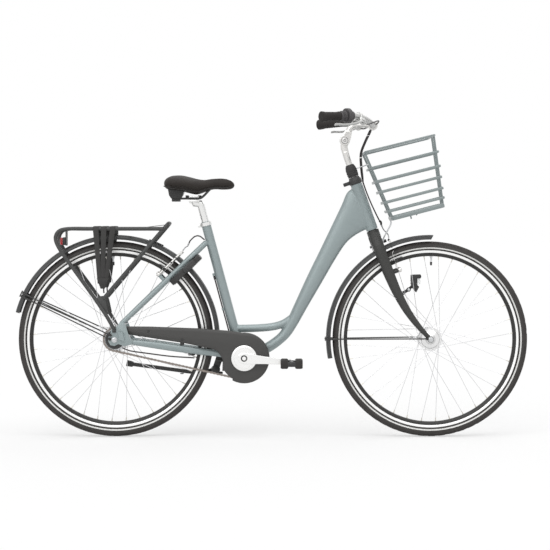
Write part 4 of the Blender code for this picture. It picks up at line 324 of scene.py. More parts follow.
WHEEL_HEIGHT = 0.350
FRONT_AXLE, REAR_AXLE = place(1.128, WHEEL_HEIGHT), place(0.0, WHEEL_HEIGHT)
tread_rubber = finish("tread_rubber", (0.035, 0.031, 0.029), 0.78, shade=0.16, grain=700.0, lift=0.25,
                      drift=30.0)
wall_rubber = finish("sidewall_rubber", (0.030, 0.027, 0.025), 0.62, shade=0.10, grain=1500.0, lift=0.10)
reflecting_band = finish("reflecting_band", (0.72, 0.72, 0.70), 0.45, shade=0.04, grain=2600.0, lift=0.3)
rim_black = finish("anodised_black", (0.030, 0.029, 0.028), 0.38, metal=0.4, grain=1200.0)
steel_wire = finish("stainless_wire", (0.66, 0.66, 0.67), 0.24, metal=1.0, grain=900.0)
nipple_brass = finish("plated_brass", (0.62, 0.60, 0.55), 0.32, metal=1.0)
hub_alloy = finish("polished_hub_alloy", (0.80, 0.80, 0.80), 0.22, metal=1.0, shade=0.03)
zinc = finish("zinc_plate", (0.60, 0.61, 0.62), 0.34, metal=1.0, shade=0.08)
black_nylon = finish("black_nylon", (0.028, 0.028, 0.028), 0.48, shade=0.10, grain=1400.0, lift=0.12)
tube_butyl = finish("butyl", (0.018, 0.018, 0.018), 0.6)

TYRE_STEPS = 180
# Half of the tyre's skin, from its foot in the rim to the middle of the tread
TYRE_HALF = [(0.3090, 0.0094), (0.3190, 0.0094), (0.3202, 0.0122), (0.3235, 0.0168), (0.3240, 0.0174),
             (0.3288, 0.0197), (0.3294, 0.0199), (0.3345, 0.0196), (0.3392, 0.0182), (0.3436, 0.0152),
             (0.3468, 0.0112), (0.3487, 0.0066), (0.3493, 0.0022)]
TYRE_INNER = [(0.3090, 0.0070), (0.3200, 0.0070), (0.3290, 0.0160), (0.3380, 0.0150), (0.3440, 0.0070)]


def city_tyre(end, axle):
    """A spun casing with its stripe, and tread blocks raised in slanting rows."""
    shape = bmesh.new()
    spun(shape, mirrored(TYRE_HALF) + mirrored(TYRE_INNER)[::-1], axle, SIDE, TYRE_STEPS)
    blocks = []
    for face in shape.faces:
        at = face.calc_center_median() - axle
        far, turn = sqrt(at.x ** 2 + at.z ** 2), atan2(at.z, at.x) / (2 * pi) * TYRE_STEPS
        outside = face.normal.dot(Vector((at.x, 0.0, at.z)).normalized()) > 0.05 or abs(at.y) > 0.0165
        face.material_index = 1 if far < 0.3400 else 0
        if outside and 0.3240 < far < 0.3289 and abs(at.y) > 0.0180:
            face.material_index = 2
        band = round(abs(at.y) / 0.0042)
        if outside and far > 0.3392 and int(turn + band * 0.5 + (0.5 if at.y > 0 else 0.0) + 1000) % 3 > 0:
            blocks.append(face)
    bmesh.ops.inset_individual(shape, faces=blocks, thickness=0.0006, depth=0.0007)
    solid(end + "_tyre_casing", shape, end + "_wheel", [tread_rubber, wall_rubber, reflecting_band],
          [end + "_tyre"], 30.0)


def rounded(shape, faces, offset=0.0008, segments=2):
    """Bevels the sharp edges of some faces."""
    edges = {edge for face in faces if face.is_valid for edge in face.edges}
    sharp = [edge for edge in edges if edge.is_manifold and edge.calc_face_angle(0.0) > radians(30.0)]
    bmesh.ops.bevel(shape, geom=sharp, offset=offset, segments=segments, affect="EDGES", profile=0.5,
                    material=-1, clamp_overlap=True)


def tube_with_valve(end, axle, angle):
    """The tube inside the tyre, its threaded valve, the lock ring on the rim and a dust cap."""
    shape = bmesh.new()
    spun(shape, [(0.3305 + 0.0085 * cos(pi * k / 8), 0.0085 * sin(pi * k / 8)) for k in range(16)], axle,
         SIDE, 96)
    way = ray(angle)
    tube_faces = set(shape.faces)
    turned(shape, axle, way, (0.266, 0.326, 0.0030, 16))
    for index in range(14):
        far = 0.2755 + index * 0.0014
        bar(shape, axle + way * far, axle + way * (far + 0.0007), 0.0034, 0.0031, sides=16)
    ring = bar(shape, axle + way * 0.2925, axle + way * 0.2958, 0.0056, sides=6)
    rounded(shape, ring, 0.0005)
    metal = [face for face in shape.faces if face not in tube_faces]
    cap = set(bar(shape, axle + way * 0.2640, axle + way * 0.2765, 0.0036, 0.0042, sides=16))
    for face in metal:
        face.material_index = 1
    for face in cap:
        face.material_index = 2
    solid(end + "_tube_and_valve", shape, end + "_wheel", [tube_butyl, zinc, black_nylon],
          [end + "_inner_tube"])


def box_rim(end, axle):
    """A double-wall rim with hooked edges, a bright brake track and a rounded black back."""
    track = ringed(finish(end + "_brake_track", (0.93, 0.93, 0.92), 0.34, metal=1.0, shade=0.01), axle,
                   0.0006, 0.15)
    half = [(0.2970, 0.0040), (0.2975, 0.0074), (0.2996, 0.0100), (0.3030, 0.0114), (0.3092, 0.0119),
            (0.3098, 0.0122), (0.3182, 0.0122), (0.3189, 0.0116), (0.3189, 0.0104), (0.3165, 0.0100),
            (0.3080, 0.0101), (0.3055, 0.0080)]
    shape = bmesh.new()
    spun(shape, mirrored(half), axle, SIDE, TYRE_STEPS)
    for face in shape.faces:
        at = face.calc_center_median() - axle
        if 0.3095 < sqrt(at.x ** 2 + at.z ** 2) and abs(at.y) > 0.0110:
            face.material_index = 1
    solid(end + "_box_rim", shape, end + "_wheel", [rim_black, track], [end + "_rim"], 34.0)


def crossed_spokes(end, axle, hole_circle, flange_y, valve_angle, side, name):
    """One side's spokes: the head in the flange, the bend, the wire and the nipple in the rim."""
    shape = bmesh.new()
    for index in range(18):
        rim_turn = valve_angle + 5.0 * side + 20.0 * index
        way = 1 if index % 2 else -1
        hub_turn = rim_turn + 60.0 * way
        rim_way = ray(rim_turn)
        seat = axle + ray(hub_turn) * hole_circle + SIDE * side * flange_y
        nipple_top = axle + rim_way * 0.2975 + SIDE * side * 0.0030
        out = SIDE * side * way
        lift = seat + out * 0.0028
        run = (nipple_top - lift).normalized()
        nipple_foot = nipple_top - run * 0.0125
        wire(shape, [seat - out * 0.0028, seat, seat + out * 0.0018, lift + run * 0.0012,
                     lift + run * 0.0035, nipple_foot + run * 0.004], 0.0010, 8, across=rim_way)
        turned(shape, seat, out, (-0.0030, -0.0016, 0.0019, 8))
        nipple = set(bar(shape, nipple_foot, nipple_top, 0.0019, sides=8))
        nipple |= set(bar(shape, nipple_foot + run * 0.0095, nipple_top, 0.0027, sides=8))
        for face in nipple:
            face.material_index = 1
    solid(end + "_spoke_set_" + name, shape, end + "_wheel", [steel_wire, nipple_brass],
          [end + "_spokes_" + name])


def applied(made):
    """The mesh of an object with its modifiers applied."""
    bpy.context.view_layer.update()
    return bpy.data.meshes.new_from_object(made.evaluated_get(bpy.context.evaluated_depsgraph_get()))


def drilled(made, drills):
    """Cuts drill holes and other gaps out of a piece."""
    cutter = linked("drills", meshed("drills", drills))
    hole = made.modifiers.new("holes", "BOOLEAN")
    hole.operation, hole.solver, hole.object = "DIFFERENCE", "EXACT", cutter
    mesh = applied(made)
    made.modifiers.clear()
    made.data = mesh
    bpy.data.objects.remove(cutter)
    mesh.set_sharp_from_angle(angle=radians(40.0))


def bored(made, *bores):
    """Drills round holes through a piece; each is a start, an end, a radius and a number of sides."""
    drills = bmesh.new()
    for start, end, radius, sides in bores:
        bar(drills, start, end, radius, sides=sides)
    drilled(made, drills)


def hub_shell(end, axle, profile, hole_circle, flange_y, looks, dark=None):
    """A spun hub shell whose two flanges are drilled for the spokes."""
    shape = bmesh.new()
    spun(shape, profile, axle, SIDE, 72)
    if dark:
        for face in shape.faces:
            if dark(face.calc_center_median() - axle):
                face.material_index = 1
    made = solid(end + "_hub_shell", shape, end + "_wheel", looks, [end + "_hub"], 32.0)
    drills = bmesh.new()
    for side in (-1, 1):
        for index in range(18):
            turn = valve_angles[end] + 5.0 * side + 20.0 * index + (60.0 if index % 2 else -60.0)
            at = axle + ray(turn) * hole_circle + SIDE * side * flange_y
            turned(drills, at, SIDE, (-0.004, 0.004, 0.00135, 10))
    drilled(made, drills)


valve_angles = {"front": 89.0, "rear": 92.0}
for end, axle, circle, flange in (("front", FRONT_AXLE, 0.038, 0.027), ("rear", REAR_AXLE, 0.042, 0.025)):
    city_tyre(end, axle)
    tube_with_valve(end, axle, valve_angles[end])
    box_rim(end, axle)
    crossed_spokes(end, axle, circle, flange, valve_angles[end], 1, "left")
    crossed_spokes(end, axle, circle, flange, valve_angles[end], -1, "right")

dynamo_left = [(0.0053, 0.0470), (0.0130, 0.0470), (0.0150, 0.0455), (0.0160, 0.0420), (0.0190, 0.0385),
               (0.0290, 0.0345), (0.0335, 0.0310), (0.0345, 0.0285), (0.0415, 0.0285), (0.0420, 0.0280),
               (0.0420, 0.0262), (0.0415, 0.0255), (0.0352, 0.0255), (0.0338, 0.0235), (0.0332, 0.0150)]
hub_shell("front", FRONT_AXLE, mirrored(dynamo_left), 0.038, 0.027, [hub_alloy])
gear_hub = [(0.0053, 0.0580), (0.0185, 0.0580), (0.0200, 0.0560), (0.0205, 0.0520), (0.0285, 0.0500),
            (0.0300, 0.0460), (0.0305, 0.0400), (0.0345, 0.0320), (0.0378, 0.0280), (0.0385, 0.0265),
            (0.0455, 0.0265), (0.0460, 0.0260), (0.0460, 0.0242), (0.0455, 0.0235), (0.0392, 0.0235),
            (0.0378, 0.0210), (0.0372, 0.0120), (0.0372, -0.0120), (0.0378, -0.0210), (0.0392, -0.0235),
            (0.0455, -0.0235), (0.0460, -0.0242), (0.0460, -0.0260), (0.0455, -0.0265), (0.0290, -0.0265),
            (0.0270, -0.0300), (0.0250, -0.0375), (0.0240, -0.0380), (0.0053, -0.0380)]
hub_shell("rear", REAR_AXLE, gear_hub, 0.042, 0.025, [hub_alloy, black_nylon], lambda at: at.y > 0.0460)


def axle_and_nuts(name, axle, body, face_y, stands_for):
    """A threaded axle with its washers and domed nuts."""
    shape = bmesh.new()
    bar(shape, axle - SIDE * (face_y + 0.0130), axle + SIDE * (face_y + 0.0130), 0.0046, sides=20)
    for side in (-1, 1):
        for index in range(4):
            at = axle + SIDE * side * (face_y + 0.0085 + index * 0.0011)
            bar(shape, at, at + SIDE * side * 0.0006, 0.0050, 0.0046, sides=20)
        bar(shape, axle + SIDE * side * face_y, axle + SIDE * side * (face_y + 0.0016), 0.0100, sides=28)
        nut = bar(shape, axle + SIDE * side * (face_y + 0.0014), axle + SIDE * side * (face_y + 0.0082),
                  0.0088, sides=6)
        rounded(shape, nut)
    solid(name, shape, body, [zinc], stands_for, 32.0)


axle_and_nuts("rear_axle_and_nuts", REAR_AXLE, "frame", 0.0738, ["rear_axle"])
axle_and_nuts("front_axle_and_nuts", FRONT_AXLE, "fork", 0.0588, ["front_axle"])


# FRAME
# A low step-through frame of shaped alloy tubes, welded at every joint and ground smooth, with
# flat rear end plates and brake bosses, all under one satin blue-grey coat, and a black steel kickstand
# plate.

X, Z = Vector((1.0, 0.0, 0.0)), Vector((0.0, 0.0, 1.0))
BOSS_RADIUS = 0.274


def baked(made):
    """The same as applied, and the object goes."""
    mesh = applied(made)
    bpy.data.objects.remove(made)
    return mesh


def lofted(shape, rows, at, size, sides, step=0.010, across=SIDE):
    """Pushes a ring along rows of numbers: one function places a row, another gives its radii."""
    line = curve([Vector(row) for row in rows], step)
    points = [at(row) for row in line]
    return pushed(shape, [station(point, way, *size(row), across)
                          for point, way, row in zip(points, ways(points), line)], sides)

def melted(shape, voxel, rounds=2, share=1.0):
    """Melts crossing shapes into one skin, rounded where they meet as a weld or a casting is."""
    lump = linked("melt", meshed("melt", shape))
    skin, ease = lump.modifiers.new("skin", "REMESH"), lump.modifiers.new("ease", "SMOOTH")
    skin.mode = "VOXEL"
    skin.voxel_size = voxel
    ease.factor = 0.5
    ease.iterations = rounds
    if share < 1.0:
        lump.modifiers.new("thin", "DECIMATE").ratio = share
    mesh = baked(lump)
    made = bmesh.new()
    made.from_mesh(mesh)
    return made


def flat_plate(shape, outline, thickness, at, across, up, offset=0.0008):
    """A plate: its outline as (across, up) places on a face, given a thickness both ways and eased edges."""
    out = across.cross(up).normalized()
    ring = [shape.verts.new(at + across * x + up * z - out * (thickness / 2)) for x, z in outline]
    face = shape.faces.new(ring)
    grown = bmesh.ops.extrude_face_region(shape, geom=[face])["geom"]
    bmesh.ops.translate(shape, vec=out * thickness, verts=only(grown, bmesh.types.BMVert))
    made = [face] + only(grown, bmesh.types.BMFace)
    made += [near for vert in ring for near in vert.link_faces if near not in made]
    made = list(set(made))
    bmesh.ops.recalc_face_normals(shape, faces=made)
    if offset:
        rounded(shape, made, offset)
    return made


def brick(shape, at, size, across=X, up=Z, offset=0.001):
    """A block with eased edges: its size across, up and through."""
    across, up = across.normalized(), up.normalized()
    w, h = size[0] / 2, size[1] / 2
    return flat_plate(shape, [(-w, -h), (w, -h), (w, h), (-w, h)], size[2], at, across, up, offset)


def with_flakes(look, scale, amount):
    """Adds the sparkle of fine metal flakes under the paint, in its gloss and its grain."""
    nodes, links = look.node_tree.nodes, look.node_tree.links
    flakes, stops = nodes.new("ShaderNodeTexVoronoi"), nodes.new("ShaderNodeMapRange")
    fill(flakes, {"Scale": scale})
    links.new(nodes["Mapping"].outputs[0], flakes.inputs["Vector"])
    fill(stops, {"To Min": 0.0, "To Max": amount})
    links.new(flakes.outputs["Color"], stops.inputs[0])
    links.new(stops.outputs[0], nodes["Principled BSDF"].inputs["Metallic"])
    return look


STEER_UP, STEER_FRONT = Vector((-0.332161, 0.0, 0.943223)), Vector((0.943223, 0.0, 0.332161))
HEAD_BOTTOM, HEAD_TOP, BRACKET = place(0.921254, 0.7414), place(0.863078, 0.9066), place(0.462, 0.284)
SEAT_FOOT, SEAT_TOP, SEAT_UP = place(0.452, 0.284), place(0.3243, 0.7574), Vector((-0.260442, 0.0, 0.96549))
SEAT_BACK = Vector((-0.96549, 0.0, -0.260442))
frame_coat = with_flakes(finish("satin_blue_grey", (0.272, 0.322, 0.326), 0.40, shade=0.03, grain=1600.0,
                                lift=0.015, coat=0.25), 2600.0, 0.55)

# The down tube's rings: its upper edge (x, z), its lower edge (x, z) and its half width
DOWN_TUBE = [(0.8671, 0.8946, 0.9243, 0.7534, 0.0150), (0.8331, 0.8786, 0.8993, 0.7434, 0.0185),
             (0.8091, 0.8266, 0.8593, 0.7214, 0.0195), (0.7741, 0.7536, 0.8253, 0.6914, 0.0200),
             (0.7331, 0.6686, 0.7853, 0.6304, 0.0200), (0.6881, 0.5766, 0.7383, 0.5494, 0.0200),
             (0.640, 0.472, 0.685, 0.458, 0.0200), (0.614, 0.416, 0.654, 0.403, 0.0200),
             (0.590, 0.376, 0.624, 0.358, 0.0195), (0.562, 0.351, 0.588, 0.325, 0.0190),
             (0.530, 0.331, 0.550, 0.300, 0.0185), (0.496, 0.313, 0.506, 0.280, 0.0180),
             (0.466, 0.299, 0.472, 0.271, 0.0165)]
CHAIN_STAY = [(0.050, 0.3425, 0.0640, 0.0085, 0.0070), (0.110, 0.3350, 0.0580, 0.0115, 0.0085),
              (0.205, 0.3210, 0.0490, 0.0130, 0.0090), (0.290, 0.3090, 0.0400, 0.0128, 0.0090),
              (0.332, 0.3035, 0.0305, 0.0125, 0.0085), (0.375, 0.2975, 0.0260, 0.0120, 0.0085),
              (0.452, 0.285, 0.0230, 0.0110, 0.0090)]
END_PLATE = [(-0.022, 0.345), (-0.021, 0.362), (-0.014, 0.374), (-0.012, 0.392), (0.000, 0.396),
             (0.010, 0.398), (0.018, 0.412), (0.036, 0.412), (0.042, 0.396), (0.052, 0.362), (0.066, 0.348),
             (0.062, 0.333), (0.036, 0.327), (0.014, 0.335), (0.000, 0.328), (-0.015, 0.331)]
END_WINDOW = [(0.016, 0.352), (0.036, 0.346), (0.030, 0.378), (0.014, 0.378)]
STAY_FOOT, STAY_TOP = place(0.0258, 0.4095), place(0.322, 0.694)
STAY_WAY = (STAY_TOP - STAY_FOOT).normalized()
STAY_OFF = Vector((-STAY_WAY.z, 0.0, STAY_WAY.x))


def stay_at(radius):
    """How far up the seat stays' line it lies at a radius from the rear axle."""
    foot = STAY_FOOT - REAR_AXLE
    reach = foot.dot(STAY_WAY)
    return -reach + sqrt(radius ** 2 - foot.length_squared + reach ** 2)


tubes = bmesh.new()
rings = []
for ring in curve([Vector(ring) for ring in DOWN_TUBE], 0.012):
    upper, lower = place(ring[0], ring[1]), place(ring[2], ring[3])
    tall = (upper - lower) / 2
    rings.append(Matrix.Translation((upper + lower) / 2) @ Matrix(
        (SIDE * ring[4], tall, SIDE.cross(tall).normalized())).transposed().to_4x4())
pushed(tubes, rings, 40)
bar(tubes, HEAD_BOTTOM, HEAD_TOP, 0.0213, sides=48)
turned(tubes, BRACKET, SIDE, (-0.034, 0.034, 0.020, 40))
SEAT_RISE = 0.014
bar(tubes, SEAT_FOOT, SEAT_TOP + SEAT_UP * SEAT_RISE, 0.0170, sides=40)
wire(tubes, curve([SEAT_FOOT + SEAT_UP * 0.106, place(0.500, 0.388), place(0.560, 0.393),
                   place(0.600, 0.404), place(0.632, 0.424)]), 0.0140, 28)
STAY_LENGTH, BRIDGE_AT, PIVOT_AT = (STAY_TOP - STAY_FOOT).length, stay_at(0.3814), stay_at(BOSS_RADIUS)
for side in (-1, 1):
    lofted(tubes, CHAIN_STAY, lambda row: place(row[0], row[1], side * row[2]),
           lambda row: (row[4], row[3]), 24)
    knots = [(-0.004, 0.0630, 0.0085), (0.130, 0.0510, 0.0098), (BRIDGE_AT - 0.030, 0.0385, 0.0098),
             (BRIDGE_AT + 0.016, 0.036, 0.0102), (STAY_LENGTH - 0.030, 0.0215, 0.0102),
             (STAY_LENGTH + 0.004, 0.012, 0.0100)]
    lofted(tubes, knots, lambda row: STAY_FOOT + STAY_WAY * row[0] + SIDE * side * row[1],
           lambda row: (row[2], row[2]), 24)
    boss = STAY_FOOT + STAY_WAY * PIVOT_AT + SIDE * side * 0.040
    bar(tubes, boss, boss + STAY_OFF * 0.029, 0.0065, sides=20)
bridge = STAY_FOOT + STAY_WAY * BRIDGE_AT
turned(tubes, bridge, SIDE, (-0.036, 0.036, 0.0060, 20))
frame_skin = melted(tubes, 0.0021, 3)
for side in (-1, 1):
    flat_plate(frame_skin, [(x, z - WHEEL_HEIGHT) for x, z in END_PLATE], 0.006,
               REAR_AXLE + SIDE * side * 0.0705, X, Z)
    boss = STAY_FOOT + STAY_WAY * PIVOT_AT + SIDE * side * 0.040
    turned(frame_skin, boss, STAY_OFF, (0.027, 0.030, 0.0068, 24), (0.026, 0.0396, 0.0040, 20))
KICK_PIVOT, KICK_AXIS = place(0.352, 0.238, 0.047), Vector((-0.28, 0.96, 0.0))
welded_frame = solid("welded_frame", frame_skin, "frame", [frame_coat], ["frame"], 38.0)
bores = bmesh.new()
bar(bores, SEAT_FOOT + SEAT_UP * 0.060, SEAT_TOP + SEAT_UP * (SEAT_RISE + 0.01), 0.0139, sides=32)
bar(bores, HEAD_BOTTOM - STEER_UP * 0.01, HEAD_TOP + STEER_UP * 0.01, 0.0152, sides=32)
turned(bores, BRACKET, SIDE, (-0.05, 0.05, 0.0092, 32))
for side in (-1, 1):
    turned(bores, REAR_AXLE, SIDE * side, (0.060, 0.080, 0.0053, 24))
    flat_plate(bores, [(x, z - WHEEL_HEIGHT) for x, z in END_WINDOW], 0.020,
               REAR_AXLE + SIDE * side * 0.0705, X, Z, 0.0)
drilled(welded_frame, bores)

hanger_top, hanger_foot = place(0.374, 0.290, 0.0285), KICK_PIVOT - KICK_AXIS * 0.018
bracket = bmesh.new()
brick(bracket, (hanger_top + hanger_foot) / 2, (0.026, (hanger_top - hanger_foot).length + 0.008, 0.008),
      X, hanger_top - hanger_foot, 0.0015)
brick(bracket, place(0.378, 0.2700, 0.0240), (0.040, 0.008, 0.032), X, Z, 0.0015)
rounded(bracket, bar(bracket, KICK_PIVOT - KICK_AXIS * 0.026, KICK_PIVOT - KICK_AXIS * 0.010, 0.015,
                     sides=32))
turned(bracket, KICK_PIVOT, KICK_AXIS, (-0.012, 0.012, 0.0045, 20))
black_steel = finish("black_steel", (0.035, 0.035, 0.034), 0.36, metal=0.3, shade=0.08)
solid("stand_bracket", bracket, "frame", [black_steel])


# SEAT
# A micro-adjust post in a bolted collar carries a comfort saddle: a stretched textured cover over
# foam on a moulded base, on black steel rails with a rubber block spring at the back.

bright_alloy = finish("bright_alloy", (0.80, 0.80, 0.79), 0.27, metal=1.0, shade=0.03, grain=1100.0,
                      lift=0.03)
saddle_skin = finish("saddle_skin", (0.021, 0.017, 0.0145), 0.60, shade=0.16, grain=420.0, lift=0.45,
                     drift=24.0, shine=0.28)
saddle_band = finish("saddle_band", (0.014, 0.012, 0.011), 0.46, shade=0.10, grain=1300.0, lift=0.10,
                     shine=0.3)

collar = bmesh.new()
middle = SEAT_TOP + SEAT_UP * (SEAT_RISE - 0.009)
spun(collar, [(0.0173, -0.0070), (0.0196, -0.0070), (0.0203, -0.0062), (0.0203, 0.0062), (0.0196, 0.0070),
              (0.0173, 0.0070)], middle, SEAT_UP, 48)
brick(collar, middle + SEAT_BACK * 0.0240, (0.0105, 0.0125, 0.0036), SEAT_BACK, SEAT_UP)
for side in (-1, 1):
    brick(collar, middle + SEAT_BACK * 0.0245 + SIDE * side * 0.0046, (0.0100, 0.0125, 0.0030), SEAT_BACK,
          SEAT_UP)
at = middle + SEAT_BACK * 0.0248
turned(collar, at, SIDE, (-0.0120, 0.0120, 0.0022, 20))
rounded(collar, bar(collar, at - SIDE * 0.0125, at - SIDE * 0.0085, 0.0040, sides=24), 0.0006)
turned(collar, at, SIDE, (0.0085, 0.0120, 0.0038, 6))
solid("seat_clamp_ring", collar, "frame", [bright_alloy], ["seat_collar"])

post = bmesh.new()
post_top = SEAT_TOP + SEAT_UP * 0.078
rails_at = place(0.282, 0.854)
bar(post, SEAT_TOP - SEAT_UP * 0.138, post_top, 0.0135, sides=40)
wire(post, [post_top - SEAT_UP * 0.010, post_top + SEAT_UP * 0.002, rails_at - Z * 0.016,
            rails_at - Z * 0.009],
     0.0135, 32, end_radius=0.0150)
brick(post, rails_at - Z * 0.0082, (0.038, 0.056, 0.0080), X, SIDE, 0.0022)
brick(post, rails_at - Z * 0.0038, (0.034, 0.010, 0.0060), X, SIDE, 0.0016)
for side in (-1, 1):
    turned(post, rails_at + X * side * 0.0135, Z, (-0.014, 0.009, 0.0026, 16), (-0.0175, -0.012, 0.0050, 6))
brick(post, rails_at + Z * 0.0062, (0.036, 0.054, 0.0050), X, SIDE, 0.0020)
solid("seat_post", post, "seat", [bright_alloy], ["seatpost"])

COVER_TOP, PUFF = 0.9372, 0.0030
# Saddle rings: x, top, bottom, half width
SADDLE = [(0.1740, 0.914, 0.899, 0.040), (0.179, 0.924, 0.889, 0.062), (0.188, 0.9315, 0.8852, 0.0745),
          (0.206, 0.9370, 0.881, 0.0830), (0.238, 0.9360, 0.8780, 0.0805), (0.268, 0.9295, 0.8710, 0.0670),
          (0.292, 0.9245, 0.8675, 0.0495), (0.318, 0.9225, 0.8760, 0.0340), (0.350, 0.9270, 0.8865, 0.0262),
          (0.385, 0.9290, 0.8855, 0.0228), (0.410, 0.9235, 0.8870, 0.0180), (0.422, 0.9150, 0.8920, 0.0120),
          (0.4265, 0.9080, 0.8990, 0.0060)]
pad = bmesh.new()
line = curve([Vector(ring) for ring in SADDLE], 0.006)
stations = []
for ring in line:
    centre = place(ring[0], (ring[1] + ring[2]) / 2)
    stations.append(Matrix.Translation(centre) @ Matrix(
        (SIDE * ring[3], Z * (ring[1] - ring[2]) / 2, X)).transposed().to_4x4())
pushed(pad, stations, 48)
for vert in pad.verts:
    x = vert.co.x + REAR_AXLE_BACK
    rear = max(0.0, min(1.0, (0.330 - x) / 0.10))
    groove = max(0.0, 1.0 - abs(vert.co.y) / 0.012)
    if vert.co.z > 0.905 and groove > 0.0:
        vert.co.z -= 0.0040 * groove * groove * (3 - 2 * groove) * min(1.0, max(0.0, (x - 0.178) / 0.02))
    if vert.co.z < 0.893 and rear > 0.0:
        vert.co.z += 0.0015 * rear
cover = linked("saddle_cover", meshed("saddle_cover", pad))
skin = cover.modifiers.new("skin", "REMESH")
skin.mode = "VOXEL"
skin.voxel_size = 0.004
cover_mesh = baked(cover)
rest = [vert.co.copy() for vert in cover_mesh.vertices]
cover = linked("saddle_cover", cover_mesh)
held = cover.vertex_groups.new(name="held")
held.add([vert.index for vert in cover_mesh.vertices if vert.co.z < 0.892], 1.0, "REPLACE")
cloth = cover.modifiers.new("stretch", "CLOTH")
cloth.settings.use_pressure = True
cloth.settings.uniform_pressure_force = 4.0
cloth.settings.effector_weights.gravity = 0.0
cloth.settings.vertex_group_mass = "held"
for number in range(1, 13):
    bpy.context.scene.frame_set(number)
puffed = bpy.data.meshes.new_from_object(cover.evaluated_get(bpy.context.evaluated_depsgraph_get()))
bpy.context.scene.frame_set(1)
for vert, puff, place_at in zip(cover_mesh.vertices, puffed.vertices, rest):
    move = puff.co - place_at
    vert.co = place_at + move * min(1.0, PUFF / max(move.length, 1e-6))
cover.modifiers.clear()
smooth = cover.modifiers.new("smooth", "SMOOTH")
smooth.factor, smooth.iterations = 0.5, 4
finer = cover.modifiers.new("finer", "SUBSURF")
finer.levels = finer.render_levels = 1
cover_mesh = baked(cover)
for vert in cover_mesh.vertices:
    vert.co.z = min(vert.co.z, COVER_TOP)
padded_cover = bmesh.new()
padded_cover.from_mesh(cover_mesh)
saddle_piece = solid("saddle_pad", padded_cover, "seat", [saddle_skin], ["saddle"], 80.0)

seam = bmesh.new()
for side in (-1, 1):
    edge = [(0.1745, 0.8935, 0.050), (0.190, 0.8868, 0.0740), (0.214, 0.8830, 0.0822),
            (0.245, 0.8800, 0.0775), (0.272, 0.8745, 0.0640), (0.300, 0.8745, 0.0440),
            (0.330, 0.8840, 0.0308), (0.370, 0.8895, 0.0245), (0.402, 0.8905, 0.0195),
            (0.421, 0.8945, 0.0110)]
    wire(seam, curve([place(x, z + 0.0045, y * side) for x, z, y in edge], 0.004), 0.0016, 8)
solid("saddle_piping", seam, "seat", [saddle_band])

rails = bmesh.new()
flat_plate(rails, [(-0.0290, 0.0235), (0.0300, 0.0170), (0.0240, 0.0000), (0.0150, -0.0125),
                   (-0.0165, -0.0125), (-0.0245, 0.0000)], 0.070, place(0.2165, 0.8655), X, Z, 0.0025)
for index in range(3):
    half = 0.0265 - index * 0.0045
    brick(rails, place(0.2170, 0.8730 - index * 0.0068), (half * 2, 0.0024, 0.0725), X, Z, 0.0008)
brick(rails, place(0.2165, 0.8490), (0.030, 0.012, 0.056), X, Z, 0.002)
for side in (-1, 1):
    for far in (0.2560, 0.3010):
        bar(rails, place(far, 0.8570, side * 0.022), place(far, 0.8655, side * 0.022), 0.0052, sides=6)
for side in (-1, 1):
    wire(rails, curve([place(0.222, 0.854, side * 0.022), place(0.262, 0.854, side * 0.022),
                       place(0.297, 0.854, side * 0.022), place(0.313, 0.862, side * 0.020),
                       place(0.3395, 0.8890, side * 0.012)]), 0.0035, 16)
bar(rails, place(0.339, 0.8885, -0.0165), place(0.339, 0.8885, 0.0165), 0.0045)
solid("saddle_rails_and_spring", rails, "seat", [black_steel], ["saddle_rails"])


# FORK AND HEADSET
# A unicrown fork of tapered steel blades, swept forward at the bottom and powder coated in matt
# anthracite, with its headset cover, the rubber boot and the brake's threaded bosses.

anthracite = finish("matt_anthracite", (0.046, 0.047, 0.046), 0.52, shade=0.05, grain=1500.0, lift=0.08)
fork_coat = finish("fork_anthracite", (0.030, 0.030, 0.028), 0.50, shade=0.05, grain=1500.0, lift=0.08)
FORK_FOOT = FRONT_AXLE - STEER_FRONT * 0.065


def fork_at(up, forward=0.0, y=0.0):
    """A point up the steering axis from the axle's level, forward of it and to a side."""
    return FORK_FOOT + STEER_UP * up + STEER_FRONT * forward + SIDE * y


CROWN_TOP = (HEAD_BOTTOM - FORK_FOOT).dot(STEER_UP) - 0.0006
# A blade's rings: up the axis, forward of it, out to the side, half depth, half width
BLADE = [(CROWN_TOP - 0.018, 0.0, 0.0130, 0.0195, 0.0120), (CROWN_TOP - 0.034, 0.0, 0.0240, 0.0205, 0.0130),
         (CROWN_TOP - 0.052, 0.0005, 0.0345, 0.0205, 0.0128),
         (CROWN_TOP - 0.072, 0.0012, 0.0412, 0.0200, 0.0118), (0.315, 0.0026, 0.0442, 0.0195, 0.0112),
         (0.262, 0.0045, 0.0465, 0.0180, 0.0105), (0.195, 0.0095, 0.0490, 0.0155, 0.0097),
         (0.131, 0.0195, 0.0515, 0.0130, 0.0088), (0.078, 0.0338, 0.0530, 0.0110, 0.0078),
         (0.040, 0.0475, 0.0548, 0.0094, 0.0056), (0.018, 0.0572, 0.0550, 0.0085, 0.0036),
         (0.004, 0.0630, 0.0550, 0.0078, 0.0033)]
FRONT_PIVOT_UP = sqrt(BOSS_RADIUS ** 2 - 0.039 ** 2)
blades = bmesh.new()
bar(blades, fork_at(CROWN_TOP - 0.045), fork_at(CROWN_TOP - 0.0012), 0.0213, sides=48)
bar(blades, fork_at(CROWN_TOP - 0.034), fork_at(CROWN_TOP - 0.0012), 0.0224, sides=48)
bar(blades, fork_at(CROWN_TOP - 0.01), HEAD_TOP + STEER_UP * 0.022, 0.0145, sides=32)
for side in (-1, 1):
    lofted(blades, BLADE, lambda row: fork_at(row[0], row[1], side * row[2]), lambda row: (row[4], row[3]),
           28)
    bar(blades, fork_at(FRONT_PIVOT_UP, 0.006, side * 0.040), fork_at(FRONT_PIVOT_UP, 0.0390, side * 0.040),
        0.0075)
fork_skin = melted(blades, 0.0019, 3)
